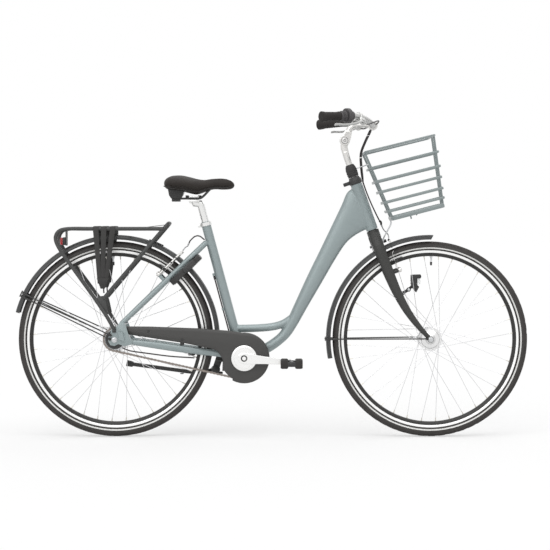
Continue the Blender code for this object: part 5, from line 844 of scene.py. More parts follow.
for side in (-1, 1):
    end = FRONT_AXLE + SIDE * side * 0.0515
    rounded(fork_skin, bar(fork_skin, end, end + SIDE * side * 0.007, 0.0118, sides=36), 0.0010)
    bar(fork_skin, fork_at(FRONT_PIVOT_UP, 0.022, side * 0.040),
        fork_at(FRONT_PIVOT_UP, 0.0491, side * 0.040), 0.0040)
fork_piece = solid("unicrown_fork", fork_skin, "fork", [fork_coat], ["fork"], 38.0)
bored(fork_piece, (fork_at(0.30), HEAD_TOP + STEER_UP * 0.05, 0.0116, 28))

cup = bmesh.new()
spun(cup, [(0.0155, 0.0003), (0.0222, 0.0003), (0.0235, 0.0014), (0.0235, 0.0150), (0.0226, 0.0166),
           (0.0200, 0.0200), (0.0190, 0.0255), (0.0184, 0.0260), (0.0155, 0.0260)], HEAD_TOP, STEER_UP, 64)
low = HEAD_TOP + STEER_UP * 0.0100
brick(cup, low - STEER_FRONT * 0.0315, (0.0260, 0.0130, 0.0140), STEER_FRONT, STEER_UP, 0.0020)
turned(cup, low - STEER_FRONT * 0.0385, SIDE, (-0.0080, 0.0080, 0.0028, 6))
solid("headset_cover", cup, "frame", [black_nylon], ["headset_cup"])

boot_rubber = finish("boot_rubber", (0.026, 0.025, 0.025), 0.66, shade=0.10, grain=1300.0, lift=0.10)
boot = bmesh.new()
outer = [(0.0165, 0.0268), (0.0192, 0.0276), (0.0197, 0.0300), (0.0186, 0.0318), (0.0200, 0.0336),
         (0.0205, 0.0362), (0.0192, 0.0384), (0.0204, 0.0408), (0.0206, 0.0440), (0.0196, 0.0462),
         (0.0203, 0.0486), (0.0203, 0.0528), (0.0192, 0.0592), (0.0172, 0.0660), (0.0146, 0.0712),
         (0.0132, 0.0728)]
spun(boot, outer + [(0.0114, 0.0728), (0.0114, 0.0268)], HEAD_TOP, STEER_UP, 56)
solid("quill_boot", boot, "fork", [boot_rubber], ["headset_boot"], 60.0)


# MUDGUARDS
# Rolled strips with a ribbed crown and curled edges, in the fork's anthracite, on black wire stays
# with clips and eyes; the front one bolts behind the fork crown.

def guard_strip(shape, axle, start, end, steps, tip=None):
    """A rolled strip round a wheel: rib, round back and curled edge, given its thickness."""
    half = [(0.3580, 0.0245), (0.3578, 0.0232), (0.3592, 0.0229), (0.3660, 0.0212), (0.3704, 0.0165),
            (0.3722, 0.0112), (0.3724, 0.0060), (0.3733, 0.0048), (0.3734, 0.0)]
    line = half + [(far, -y) for far, y in reversed(half[:-1])]
    way = ray(start)
    knots = [shape.verts.new(axle + way * far + SIDE * y) for far, y in line]
    edges = [shape.edges.new(pair) for pair in zip(knots, knots[1:])]
    bmesh.ops.spin(shape, geom=knots + edges, cent=axle, axis=SIDE, angle=radians(start - end), steps=steps)
    bmesh.ops.remove_doubles(shape, verts=shape.verts[:], dist=0.00001)
    bmesh.ops.recalc_face_normals(shape, faces=shape.faces[:])
    outside = [face for face in shape.faces if face.normal.dot(face.calc_center_median() - axle) < 0]
    if len(outside) > len(shape.faces) / 2:
        bmesh.ops.reverse_faces(shape, faces=shape.faces[:])
    if tip:
        bmesh.ops.bisect_plane(shape, geom=shape.verts[:] + shape.edges[:] + shape.faces[:], plane_co=tip,
                               plane_no=(0.87, 0.0, -0.50), clear_outer=True)
    bmesh.ops.solidify(shape, geom=shape.faces[:], thickness=0.0010)


def guard_wire(shape, axle, angle, foot):
    """A wire stay: the eye at one end plate, round the outside of the strip, to the other eye."""
    way = ray(angle)
    edge = axle + way * 0.3580 + SIDE * 0.0303
    run = (edge - foot).normalized() * 0.022
    knots = [foot, foot + Vector((run.x, 0.0, run.z)), edge - way * 0.02 + SIDE * 0.001,
             edge + SIDE * 0.0002, axle + way * 0.3725 + SIDE * 0.0290, axle + way * 0.3764 + SIDE * 0.0200,
             axle + way * 0.3768]
    half = [knots[0]] + curve(knots[1:], 0.006)
    wire(shape, half + [Vector((p.x, -p.y, p.z)) for p in reversed(half[:-1])], 0.0023, 10)
    for side in (-1, 1):
        eye = Vector((foot.x, foot.y * side, foot.z))
        turned(shape, eye, SIDE * side, (-0.0012, 0.0022, 0.0052, 20), (0.0020, 0.0050, 0.0038, 6))
        socket = axle + way * 0.3480 + SIDE * side * 0.0305
        wire(shape, [socket - way * 0.014, socket + way * 0.012], 0.0038, 12)


guard_coat = finish("guard_anthracite", (0.040, 0.041, 0.041), 0.44, shade=0.05, grain=1200.0, lift=0.04)
strip = bmesh.new()
guard_strip(strip, REAR_AXLE, 165.0, -3.0, 84)
for angle in (65.2, 69.2):
    way = ray(angle)
    brick(strip, REAR_AXLE + way * 0.3756, (0.0290, 0.0036, 0.0200), way.cross(SIDE), way, 0.0010)
solid("rear_guard", strip, "frame", [guard_coat], ["rear_mudguard"], 50.0)
strip = bmesh.new()
guard_strip(strip, FRONT_AXLE, 191.0, 88.0, 52, FRONT_AXLE + Vector((0.0130, 0.0, 0.3734)))
GUARD_RADIUS, FORK_TRAIL, back = 0.373, 0.065, -0.0224
low = sqrt(GUARD_RADIUS ** 2 - (FORK_TRAIL - back) ** 2)
brick(strip, (fork_at(low - 0.001, back) + fork_at(low + 0.052, back)) / 2, (0.0016, 0.053, 0.014),
      STEER_FRONT, STEER_UP, 0.0005)
bar(strip, fork_at(low + 0.018, back - 0.0065), fork_at(low + 0.018, back), 0.0042, sides=6)
solid("front_guard", strip, "fork", [guard_coat], ["front_mudguard"], 50.0)

stays = bmesh.new()
guard_wire(stays, REAR_AXLE, 153.6, REAR_AXLE + Vector((-0.0145, 0.0763, 0.0170)))
guard_wire(stays, REAR_AXLE, 155.6, REAR_AXLE + Vector((-0.0155, 0.0763, 0.0030)))
middle = REAR_AXLE + ray(154.6) * 0.3782
way = (middle - REAR_AXLE).normalized()
brick(stays, middle, (0.0032, 0.0240, 0.0160), way, way.cross(SIDE), 0.0010)
solid("rear_guard_stays", stays, "frame", [black_steel], ["rear_mudguard_stays"])
stays = bmesh.new()
guard_wire(stays, FRONT_AXLE, 180.0, FRONT_AXLE + Vector((-0.0130, 0.0621, 0.0030)))
brick(stays, FRONT_AXLE - X * 0.3757, (0.0030, 0.0160, 0.0160), X, Z, 0.0008)
solid("front_guard_stay", stays, "fork", [black_steel], ["front_mudguard_stay"])


# CARRIER
# A welded tube carrier in matt anthracite: two side tubes that bend down behind, a raised loop in
# front, cross bars and a spine, with the lamp on its plate and three elastic straps on a hook.

def side_mirrored(points):
    """The same points on the other side of the bicycle."""
    return [Vector((point.x, -point.y, point.z)) for point in points]


rack = bmesh.new()
DECK = 0.7456
side_line = [place(0.172, DECK, 0.060)] + curve([place(-0.110, DECK, 0.060), place(-0.165, DECK, 0.060),
             place(-0.195, DECK - 0.0060, 0.060), place(-0.2085, DECK - 0.0205, 0.060),
             place(-0.2110, DECK - 0.0370, 0.0605), place(-0.2045, DECK - 0.0570, 0.0615),
             place(-0.190, DECK - 0.0830, 0.063)], 0.006)
side_line += curve([place(-0.0707, 0.499, 0.073), place(-0.028, 0.436, 0.0788),
                    place(-0.0015, 0.3890, 0.0798)], 0.012)
loop = curve([place(-0.036, 0.500, 0.0735), place(0.060, 0.6125, 0.066), place(0.165, 0.7350, 0.058)],
             0.03)[:-1]
loop += curve([place(0.165, 0.7350, 0.058), place(0.184, 0.757, 0.052), place(0.190, 0.764, 0.040),
               place(0.191, 0.765, 0.026), place(0.191, 0.765, 0.0)], 0.006)
wire(rack, loop + side_mirrored(reversed(loop[:-1])), 0.0068, 18)
for points in (side_line, side_mirrored(side_line)):
    wire(rack, points, 0.0068, 18)
    end = points[-1]
    out = 1 if end.y > 0 else -1
    brick(rack, place(-0.0010, 0.3860, end.y - 0.0032 * out), (0.013, 0.020, 0.0030), X, Z, 0.0008)
    bar(rack, place(-0.0010, 0.3850, end.y - 0.0020 * out), place(-0.0010, 0.3850, end.y + 0.0055 * out),
        0.0046, sides=6)
    foot = place(-0.036, 0.500, 0.0735 * out)
    bar(rack, foot - SIDE * out * 0.002, foot + SIDE * out * 0.0086, 0.0042, sides=6)
    flat_plate(rack, [(-0.0200, 0.0300), (0.0090, 0.0330), (0.0145, 0.0150), (0.0235, -0.0270),
                      (0.0130, -0.0340)],
               0.0040, place(-0.045, 0.470, 0.0750 * out), X, Z, 0.0010)
for x, drop in ((-0.178, 0.004), (-0.060, 0.0), (0.055, 0.0), (0.150, 0.0)):
    bar(rack, place(x, DECK - drop, -0.060), place(x, DECK - drop, 0.060), 0.0045, sides=16)
brick(rack, place(-0.0605, DECK - 0.001), (0.235, 0.020, 0.002), X, SIDE, 0.0005)
spine_rise = place(0.190, DECK + 0.0155) - place(0.055, DECK - 0.001)
brick(rack, place(0.1225, DECK + 0.00725), (spine_rise.length, 0.020, 0.002), spine_rise, SIDE, 0.0005)
brick(rack, place(0.0, (0.7240 + DECK) / 2), (0.016, DECK - 0.7242, 0.012), X, Z, 0.001)
brick(rack, place(-0.178, 0.7123), (0.0022, 0.0546, 0.060), X, Z, 0.0006)
solid("tube_carrier", rack, "frame", [anthracite], ["carrier"], 45.0)

lens_red = finish("red_lens_plastic", (0.50, 0.012, 0.016), 0.10, shade=0.05, grain=300.0, lift=0.02,
                  coat=0.6)
lens_red.node_tree.nodes["Principled BSDF"].inputs["Transmission Weight"].default_value = 0.15
lens_clear = finish("clear_lens_plastic", (0.93, 0.95, 0.95), 0.09, shade=0.01, grain=300.0, lift=0.02,
                    coat=0.5)
lens_clear.node_tree.nodes["Principled BSDF"].inputs["Transmission Weight"].default_value = 0.85
lamp = bmesh.new()
brick(lamp, place(-0.1835, 0.7010), (0.0085, 0.028, 0.078), X, Z, 0.0020)
housing = set(lamp.faces)
brick(lamp, place(-0.1925, 0.7010), (0.0108, 0.0262, 0.0760), X, Z, 0.0038)
for face in lamp.faces:
    if face not in housing:
        face.material_index = 1
for row in range(3):
    for column in range(9):
        glint = bar(lamp, place(-0.1972, 0.6935 + row * 0.0075, -0.030 + column * 0.0075),
                    place(-0.1984, 0.6935 + row * 0.0075, -0.030 + column * 0.0075), 0.0030, 0.0016, sides=6)
        for face in glint:
            face.material_index = 1
solid("tail_lamp", lamp, "frame", [black_nylon, lens_red], ["rear_light"])

strap_rubber = finish("strap_rubber", (0.030, 0.029, 0.028), 0.70, shade=0.12, grain=900.0, lift=0.25)
straps = bmesh.new()
out, top = 0.0687, DECK + 0.0086
for index, x in enumerate((-0.067, -0.0385, -0.0075)):
    low_x = -0.042 + 0.011 * (index - 1)
    half = [place(low_x, 0.551, out), place((low_x * 0.5 + x * 0.5), 0.650, out),
            place(x, DECK - 0.006, out), place(x, DECK + 0.0038, out - 0.0018),
            place(x, top - 0.0006, out - 0.0050), place(x, top, 0.054), place(x, top, 0.030),
            place(x, top, 0.0)]
    widths = [0.0072, 0.0085] + [0.0098] * 6
    path = half + side_mirrored(reversed(half[:-1]))
    wides = widths + widths[-2::-1]
    rings = [station(point, way, wide, 0.0013, X) for point, way, wide in zip(path, ways(path), wides)]
    pushed(straps, rings, 12)
for side in (-1, 1):
    flat_plate(straps, [(-0.0215, 0.0190), (0.0215, 0.0190), (0.0075, -0.0190), (-0.0075, -0.0190)], 0.0090,
               place(-0.042, 0.551, side * out), X, Z, 0.0020)
    brick(straps, place(-0.042, 0.551, side * (out + 0.0042)), (0.030, 0.004, 0.0030), X, Z, 0.0008)
    wire(straps, curve([place(-0.036, 0.541, side * out), place(-0.0385, 0.5290, side * out),
                        place(-0.0375, 0.5165, side * out)], 0.004), 0.0025, 12)
solid("elastic_straps", straps, "frame", [strap_rubber], ["carrier_straps"])


# STEM AND HANDLEBAR
# A cast alloy quill stem with a clamped tilting head, and a swept-back alloy bar with ribbed
# ergonomic grips, a gear twist shifter on the right and cast brake levers on both sides.

cast_alloy = finish("brushed_cast_alloy", (0.71, 0.70, 0.68), 0.32, metal=1.0, shade=0.03, grain=700.0,
                    lift=0.05)
lever_alloy = finish("lever_alloy", (0.52, 0.52, 0.51), 0.40, metal=1.0, shade=0.04, grain=900.0, lift=0.04)
grip_rubber = finish("grip_rubber", (0.021, 0.018, 0.017), 0.70, shade=0.12, grain=1100.0, lift=0.28,
                     shine=0.35)
shifter_grey = finish("shifter_grey", (0.062, 0.058, 0.060), 0.50, shade=0.08, grain=1400.0, lift=0.15)
steel_bolt = finish("plated_bolt", (0.72, 0.71, 0.70), 0.30, metal=1.0, shade=0.06)
BAR_RADIUS, BAR_BORE = 0.0111, 0.0113
STEM_PIVOT, STEM_ELBOW, BAR_CENTRE = place(0.8223, 1.0625), place(0.8450, 1.1150), place(0.9230, 1.1165)


def at_height(z):
    """The point of the steering axis at a height."""
    return HEAD_TOP + STEER_UP * ((z - HEAD_TOP.z) / STEER_UP.z)


def socket_screw(shape, at, way, head, depth):
    """A cap screw's round head, with its socket sunk in."""
    made = bar(shape, at, at + way * depth, head, sides=28)
    rounded(shape, made, head * 0.10)
    lid = [face for face in shape.faces if face.normal.dot(way) > 0.999
           and abs((face.calc_center_median() - at).dot(way) - depth) < 1e-5
           and (face.calc_center_median() - at - way * depth).length < head * 0.6]
    bmesh.ops.inset_region(shape, faces=lid, thickness=head * 0.42, depth=0.0)
    bmesh.ops.inset_region(shape, faces=lid, thickness=0.00005, depth=-depth * 0.6)


lower = bmesh.new()
bar(lower, HEAD_TOP - STEER_UP * 0.104, at_height(1.020), 0.0111, sides=36)
quill_line = curve([at_height(0.972), at_height(1.000), (at_height(1.028) * 2 + STEM_PIVOT) / 3 - X * 0.001,
                    STEM_PIVOT - Z * 0.012, STEM_PIVOT], 0.004)
pushed(lower, [station(point, way, 0.0111 - 0.0030 * min(1.0, k / (len(quill_line) * 0.6)),
                       0.0113 + 0.0022 * k / len(quill_line))
               for k, (point, way) in enumerate(zip(quill_line, ways(quill_line)))], 28)
turned(lower, STEM_PIVOT, SIDE, (-0.0083, 0.0083, 0.0150, 48))
quill_skin = melted(lower, 0.0013, 2)
for side in (-1, 1):
    bar(quill_skin, STEM_PIVOT, STEM_PIVOT + SIDE * side * 0.0142, 0.0040, sides=16)
solid("stem_quill", quill_skin, "fork", [cast_alloy], ["quill"], 45.0)

rise = (STEM_ELBOW - STEM_PIVOT).normalized()
flank = rise.cross(SIDE)
upper = bmesh.new()
for side in (-1, 1):
    cheek = STEM_PIVOT + SIDE * side * 0.01165
    turned(upper, cheek, SIDE, (-0.0026, 0.0026, 0.0186, 56))
    pushed(upper, [station(cheek + rise * far, rise, 0.0026, wide) for far, wide in
                   ((0.002, 0.0182), (0.020, 0.0164), (0.036, 0.0128))], 28)
upper_line = curve([STEM_PIVOT + rise * 0.0215, STEM_PIVOT + rise * 0.034, STEM_PIVOT + rise * 0.048,
                    STEM_ELBOW + (BAR_CENTRE - STEM_ELBOW) * 0.10 + Z * 0.0005,
                    STEM_ELBOW + (BAR_CENTRE - STEM_ELBOW) * 0.38 + Z * 0.0035,
                    STEM_ELBOW + (BAR_CENTRE - STEM_ELBOW) * 0.70 + Z * 0.0020, BAR_CENTRE - X * 0.002],
                   0.004)
pushed(upper, [station(point, way, 0.0138 - 0.0020 * min(1.0, k / 8), 0.0136 - 0.0034 * min(1.0, k / 9)
                       - 0.001 * k / len(upper_line))
               for k, (point, way) in enumerate(zip(upper_line, ways(upper_line)))], 32)
turned(upper, BAR_CENTRE, SIDE, (-0.0216, 0.0216, 0.0172, 56))
for side in (-1, 1):
    bar(upper, BAR_CENTRE + Vector((0.010, side * 0.0130, 0.004)),
        BAR_CENTRE + Vector((0.0195, side * 0.0130, 0.0150)), 0.0056, sides=20)
stem_skin = melted(upper, 0.0013, 2)
stem_piece = solid("stem_arm", stem_skin, "handlebar", [cast_alloy, steel_bolt], ["stem_arm"],
                   45.0)
bored(stem_piece, (BAR_CENTRE - SIDE * 0.05, BAR_CENTRE + SIDE * 0.05, BAR_BORE, 40),
      (STEM_PIVOT - SIDE * 0.05, STEM_PIVOT + SIDE * 0.05, 0.0043, 24))
gap = bmesh.new()
brick(gap, STEM_PIVOT - rise * 0.002, (0.046, 0.040, 0.0176), flank, rise, 0.0)
drilled(stem_piece, gap)
gap = bmesh.new()
brick(gap, BAR_CENTRE + Vector((0.018, 0.0, 0.0135)), (0.026, 0.0014, 0.060), Vector((0.65, 0.0, 0.76)),
      Vector((-0.76, 0.0, 0.65)), 0.0)
drilled(stem_piece, gap)
bolts = bmesh.new()
for side in (-1, 1):
    socket_screw(bolts, STEM_PIVOT + SIDE * side * 0.0143, SIDE * side, 0.0108, 0.0024)
    way = Vector((0.65, 0.0, 0.76))
    socket_screw(bolts, BAR_CENTRE + Vector((0.0185, side * 0.0130, 0.0140)), way, 0.0042, 0.0022)
solid("stem_bolts", bolts, "handlebar", [steel_bolt])
washers = bmesh.new()
for side in (-1, 1):
    spun(washers, [(0.0110, 0.0141), (0.0126, 0.0141), (0.0126, 0.0150), (0.0110, 0.0150)], STEM_PIVOT,
         SIDE * side, 40)
    spun(washers, [(0.0030, 0.0163), (0.0044, 0.0163), (0.0044, 0.0169), (0.0030, 0.0169)], STEM_PIVOT,
         SIDE * side, 28)
washer_grey = finish("washer_grey", (0.17, 0.17, 0.165), 0.45, shade=0.05, grain=900.0, lift=0.03)
solid("stem_washers", washers, "handlebar", [washer_grey])


def grip_at(side, along, reach=0.0):
    """A point of a grip's line, out from its inner end, or off it towards the brake lever."""
    start, end = place(0.8460, 1.1403, 0.2290), place(0.7360, 1.1335, 0.3000)
    way = (end - start).normalized()
    toward = Vector((0.427, 0.593, -0.686))
    toward = (toward - way * toward.dot(way)).normalized()
    found = start + way * along + toward * reach
    return Vector((found.x, found.y * side, found.z))


def grip_way(side):
    """The way along a grip, outward."""
    return (grip_at(side, 1.0) - grip_at(side, 0.0)).normalized()


def on_grip(shape, side, start, rings, sides):
    """Pushes round rings of (radius, place along) on a grip's line."""
    way = grip_way(side)
    pushed(shape, [station(grip_at(side, start) + way * along, way, far, far, Z) for far, along in rings],
           sides)


def clamp_line(side):
    """The two points of the bar between which a brake lever's clamp sits."""
    return place(0.8820, 1.1365, 0.158 * side), place(0.8570, 1.1410, 0.212 * side)


def hinge_way(side):
    """The brake lever's hinge axis, square to the grip and to the lever's reach."""
    along, reach = grip_at(side, 1.0) - grip_at(side, 0.0), grip_at(side, 0.0, 1.0) - grip_at(side, 0.0)
    return reach.cross(along).normalized() * side


half_bar = [place(0.9230, 1.1165, 0.0), place(0.9230, 1.1165, 0.030), place(0.9150, 1.1210, 0.066),
            place(0.9030, 1.1280, 0.104), place(0.8820, 1.1365, 0.158), place(0.8570, 1.1410, 0.212),
            place(0.8525, 1.1412, 0.2215), grip_at(1, 0.002), grip_at(1, 0.02)]
half_bar = curve(half_bar, 0.008) + [grip_at(1, 0.1305)]
tube = bmesh.new()
wire(tube, side_mirrored(reversed(half_bar[1:])) + half_bar, BAR_RADIUS, 32)
solid("swept_bar", tube, "handlebar", [lever_alloy], ["handlebar"], 50.0)


def ribbed_grip(side, start, stands_for):
    """A grip: bulged at both ends, waisted, with ribs and a closed outer end."""
    shape = bmesh.new()
    length, outer = 0.134 - start, []
    for index in range(49):
        part = index / 48
        inner_bulge, outer_bulge = max(0.0, 1 - (part / 0.16) ** 2), max(0.0, 1 - ((1 - part) / 0.2) ** 2)
        far = 0.0150 + 0.0020 * part + 0.0016 * inner_bulge + 0.0018 * outer_bulge
        if 0.20 < part < 0.80 and index % 4 < 2:
            far -= 0.0007
        outer.append((far, length * part))
    outer[0] = (outer[0][0] - 0.0010, 0.0)
    outer += [(outer[-1][0] - 0.0022, length + 0.0014), (0.008, length + 0.0020), (0.0, length + 0.0021)]
    on_grip(shape, side, start, [ring for ring in outer if ring[0] > 0], 40)
    name = "grip_" + ("left" if side > 0 else "right")
    made = solid(name + "_sleeve", shape, "handlebar", [grip_rubber], [stands_for], 60.0)
    bored(made, (grip_at(side, start - 0.01), grip_at(side, 0.1312), BAR_BORE, 32))


ribbed_grip(1, 0.008, "grip_left")
ribbed_grip(-1, 0.0585, "grip_right")

twist = bmesh.new()
way = grip_way(-1)
rings = [(0.0172, 0.0332), (0.0187, 0.0340), (0.0187, 0.0372), (0.0181, 0.0378), (0.0178, 0.0402),
         (0.0176, 0.0520), (0.0173, 0.0540), (0.0164, 0.0572)]
on_grip(twist, -1, 0.0, rings, 72)
teeth = [face for face in twist.faces
         if 0.0402 < (face.calc_center_median() - grip_at(-1, 0.0)).dot(way) < 0.0520]


def turn_of(face):
    """How far round the twister a face is."""
    at = face.calc_center_median() - grip_at(-1, 0.045)
    return atan2(at.dot(Z), at.dot(way.cross(Z)))


ridge = [face for k, face in enumerate(sorted(teeth, key=turn_of)) if k % 3 < 2]
bmesh.ops.inset_individual(twist, faces=ridge, thickness=0.00025, depth=0.0008)
twist_piece = solid("gear_twister", twist, "twist_shifter", [shifter_grey],
                    ["twist_shifter"], 35.0)
bored(twist_piece, (grip_at(-1, 0.02), grip_at(-1, 0.07), BAR_BORE, 32))


def hinge_at(side, up=0.0):
    """The brake lever's hinge, and points along its axis."""
    return grip_at(side, -0.028, 0.026) + hinge_way(side) * up


def clamp_and_bracket(side, end):
    """The lever's clamp on the bar, with its bolt, its arm and the barrel that holds the hinge pin."""
    shape = bmesh.new()
    inner, outer = clamp_line(side)
    way, middle = (outer - inner).normalized(), inner + (outer - inner) * 0.62
    axis = hinge_way(side)
    turned(shape, middle, way, (-0.0075, 0.0075, 0.0156, 40))
    pivot = hinge_at(side)
    reach = (pivot - middle)
    ear = middle - reach.normalized() * 0.0175
    brick(shape, ear, (0.0120, 0.0130, 0.0075), reach, axis, 0.0010)
    pushed(shape, [station(middle, reach, 0.0075, 0.0085, axis),
                   station(middle + reach * 0.55, reach, 0.0062, 0.0075, axis),
                   station(hinge_at(side, -0.0098), reach + Z * 0.001, 0.0040, 0.0075, axis)], 20)
    bar(shape, hinge_at(side, -0.0132), hinge_at(side, -0.0060), 0.0098, sides=36)
    skin = melted(shape, 0.0012, 2)
    bar(skin, hinge_at(side, -0.0135), hinge_at(side, 0.0062), 0.0030, sides=20)
    bar(skin, hinge_at(side, 0.0052), hinge_at(side, 0.0070), 0.0048, sides=20)
    cable_way = (inner - outer).normalized()
    root = hinge_at(side, -0.009) + cable_way * 0.006
    bar(skin, root, root + cable_way * 0.012, 0.0048, sides=20)
    bar(skin, root + cable_way * 0.0125, root + cable_way * 0.0190, 0.0056, 0.0050, sides=12)
    turned(skin, root, cable_way, (0.0188, 0.0275, 0.0034, 16))
    made = solid("lever_clamp_" + end, skin, "handlebar", [lever_alloy], ["brake_clamp_" + end],
                 40.0)
    bored(made, (middle - way * 0.02, middle + way * 0.02, BAR_BORE, 32))
    hollow = bmesh.new()
    brick(hollow, middle - reach.normalized() * 0.020, (0.0160, 0.0200, 0.0013), reach, axis, 0.0)
    drilled(made, hollow)
    bolt = bmesh.new()
    socket_screw(bolt, ear + reach.cross(axis).normalized() * 0.0034, reach.cross(axis).normalized(),
                 0.0036, 0.0026)
    solid("lever_clamp_bolt_" + end, bolt, "handlebar", [steel_bolt])


def brake_lever(side, end):
    """A two-finger lever blade, pushed through rings that follow its cast bow, on its hinge eye."""
    shape = bmesh.new()
    rings = [(-0.030, 0.0260, 0.0040, 0.0055), (-0.021, 0.0290, 0.0052, 0.0056),
             (-0.010, 0.0338, 0.0052, 0.0052), (0.004, 0.0382, 0.0054, 0.0042),
             (0.020, 0.0420, 0.0056, 0.0034), (0.038, 0.0446, 0.0056, 0.0031),
             (0.056, 0.0455, 0.0054, 0.0030), (0.070, 0.0444, 0.0053, 0.0030),
             (0.084, 0.0424, 0.0054, 0.0031), (0.094, 0.0424, 0.0056, 0.0034),
             (0.0985, 0.0430, 0.0052, 0.0036), (0.1012, 0.0434, 0.0034, 0.0024)]
    lofted(shape, rings, lambda row: grip_at(side, row[0], row[1]), lambda row: (row[2], row[3]), 24, 0.004,
           hinge_way(side))
    rounded(shape, bar(shape, hinge_at(side, -0.0043), hinge_at(side, 0.0043), 0.0085, sides=36), 0.0008)
    skin = melted(shape, 0.0009, 2)
    made = solid("lever_blade_" + end, skin, "brake_lever_" + end, [lever_alloy],
                 ["brake_lever_" + end], 40.0)
    bored(made, (hinge_at(side, -0.02), hinge_at(side, 0.02), 0.0033, 20))


for side, end in ((1, "left"), (-1, "right")):
    clamp_and_bracket(side, end)
    brake_lever(side, end)

housing = bmesh.new()
rings = [(0.0138, 0.0012), (0.0155, 0.0020), (0.0155, 0.0105), (0.0176, 0.0140), (0.0240, 0.0158),
         (0.0262, 0.0168), (0.0270, 0.0182), (0.0270, 0.0306), (0.0264, 0.0318), (0.0246, 0.0323)]
on_grip(housing, -1, 0.0, rings, 64)
shifter_piece = solid("shifter_housing", housing, "handlebar", [shifter_grey], (), 30.0)
bored(shifter_piece, (grip_at(-1, -0.02), grip_at(-1, 0.07), BAR_BORE, 32))


# DRIVE
# A single chain from a 38 tooth chainring to a 20 tooth cog, half hidden by a moulded chain case;
# alloy cranks with a polished disc on the right, block pedals, and a folded side stand.

chain_steel = finish("chain_steel", (0.27, 0.24, 0.22), 0.34, metal=1.0, shade=0.14, grain=700.0, lift=0.06,
                     drift=60.0)
crank_alloy = finish("polished_crank", (0.90, 0.90, 0.89), 0.22, metal=1.0, shade=0.02, grain=900.0,
                     lift=0.03)
case_plastic = finish("case_anthracite", (0.046, 0.045, 0.043), 0.50, shade=0.05, grain=1600.0, lift=0.14)
pedal_rubber = finish("pedal_rubber", (0.024, 0.022, 0.020), 0.66, shade=0.12, grain=1000.0, lift=0.25,
                      shine=0.4)
RING_RADIUS, COG_RADIUS, CHAIN_Y = 0.0769, 0.04059, -0.045
CRANK_LENGTH, CASE_BULGE, CASE_DEEPEST = 0.170, 0.0904, -0.0605
reach = BRACKET - REAR_AXLE
run_way = atan2(reach.z, reach.x)
open_angle = asin((RING_RADIUS - COG_RADIUS) / reach.length)
ring_first = run_way + pi / 2 + open_angle


def on_circle(centre, radius, angle, y=0.0):
    """A point of a circle in the wheels' plane."""
    return centre + Vector((cos(angle) * radius, y, sin(angle) * radius))


path = [on_circle(BRACKET, RING_RADIUS, ring_first - (pi + 2 * open_angle) * k / 60, CHAIN_Y)
        for k in range(61)]
path += [on_circle(REAR_AXLE, COG_RADIUS, ring_first - (pi + 2 * open_angle)
                   - (pi - 2 * open_angle) * k / 40, CHAIN_Y)
         for k in range(41)]
path.append(path[0])
lengths = [0.0]
for before, after in zip(path, path[1:]):
    lengths.append(lengths[-1] + (after - before).length)
LINKS = 2 * round(lengths[-1] / 0.0127 / 2)


def along_chain(share):
    """A point of the chain's line at a share of its length."""
    wanted = (share % 1.0) * lengths[-1]
    index = max(k for k, far in enumerate(lengths[:-1]) if far <= wanted + 1e-9)
    span = max(lengths[index + 1] - lengths[index], 1e-9)
    return path[index].lerp(path[index + 1], (wanted - lengths[index]) / span)


half_plate = [(-0.0063 - 0.0041 * cos(radians(a)), 0.0041 * sin(radians(a))) for a in (0, 30, 60, 90)]
upper_side = half_plate + [(-0.0025, 0.0030), (0.0025, 0.0030)] + [(-x, z) for x, z in reversed(half_plate)]
link_outline = upper_side + [(x, -z) for x, z in reversed(upper_side[1:-1])]
loop_chain = bmesh.new()
for index in range(LINKS):
    start, end = along_chain(index / LINKS), along_chain((index + 1) / LINKS)
    way = (end - start).normalized()
    for side in (-1, 1):
        wide = 0.0036 if index % 2 else 0.0026
        flat_plate(loop_chain, link_outline, 0.0009, (start + end) / 2 + SIDE * side * wide, way,
                   SIDE.cross(way) * -1, 0.0)
    turned(loop_chain, start, SIDE, (-0.0022, 0.0022, 0.0038, 12), (-0.0042, 0.0042, 0.0018, 8))
solid("roller_chain", loop_chain, "frame", [chain_steel], ["chain"], 30.0)


def toothed_wheel(centre, pitch_radius, teeth, y):
    """A toothed disc, from the pitch circle its chain rides on."""
    outline = []
    for index in range(teeth):
        for part, far in ((-0.5, -0.0034), (-0.30, -0.0030), (-0.20, -0.0008), (-0.08, 0.0020),
                          (0.08, 0.0020), (0.20, -0.0008), (0.30, -0.0030)):
            angle = (index + part) / teeth * 2 * pi
            outline.append(((pitch_radius + far) * cos(angle), (pitch_radius + far) * sin(angle)))
    shape = bmesh.new()
    flat_plate(shape, outline, 0.0020, centre + SIDE * y, X, Z, 0.0)
    return shape


ring = toothed_wheel(BRACKET, RING_RADIUS, 38, CHAIN_Y)
ring_piece = solid("front_chainring", ring, "crank", [zinc], ["chainring"], 30.0)
bored(ring_piece, (BRACKET - SIDE * 0.06, BRACKET - SIDE * 0.03, 0.0168, 40),
      *((on_circle(BRACKET, 0.047, turn, -0.06), on_circle(BRACKET, 0.047, turn, -0.03), 0.0155, 32)
        for turn in (index * 2 * pi / 5 for index in range(5))))
cog = toothed_wheel(REAR_AXLE, COG_RADIUS, 20, CHAIN_Y)
cog_piece = solid("rear_cog", cog, "rear_sprocket", [zinc], ["rear_sprocket"], 30.0)
bored(cog_piece, (REAR_AXLE - SIDE * 0.06, REAR_AXLE - SIDE * 0.03, 0.0172, 40))

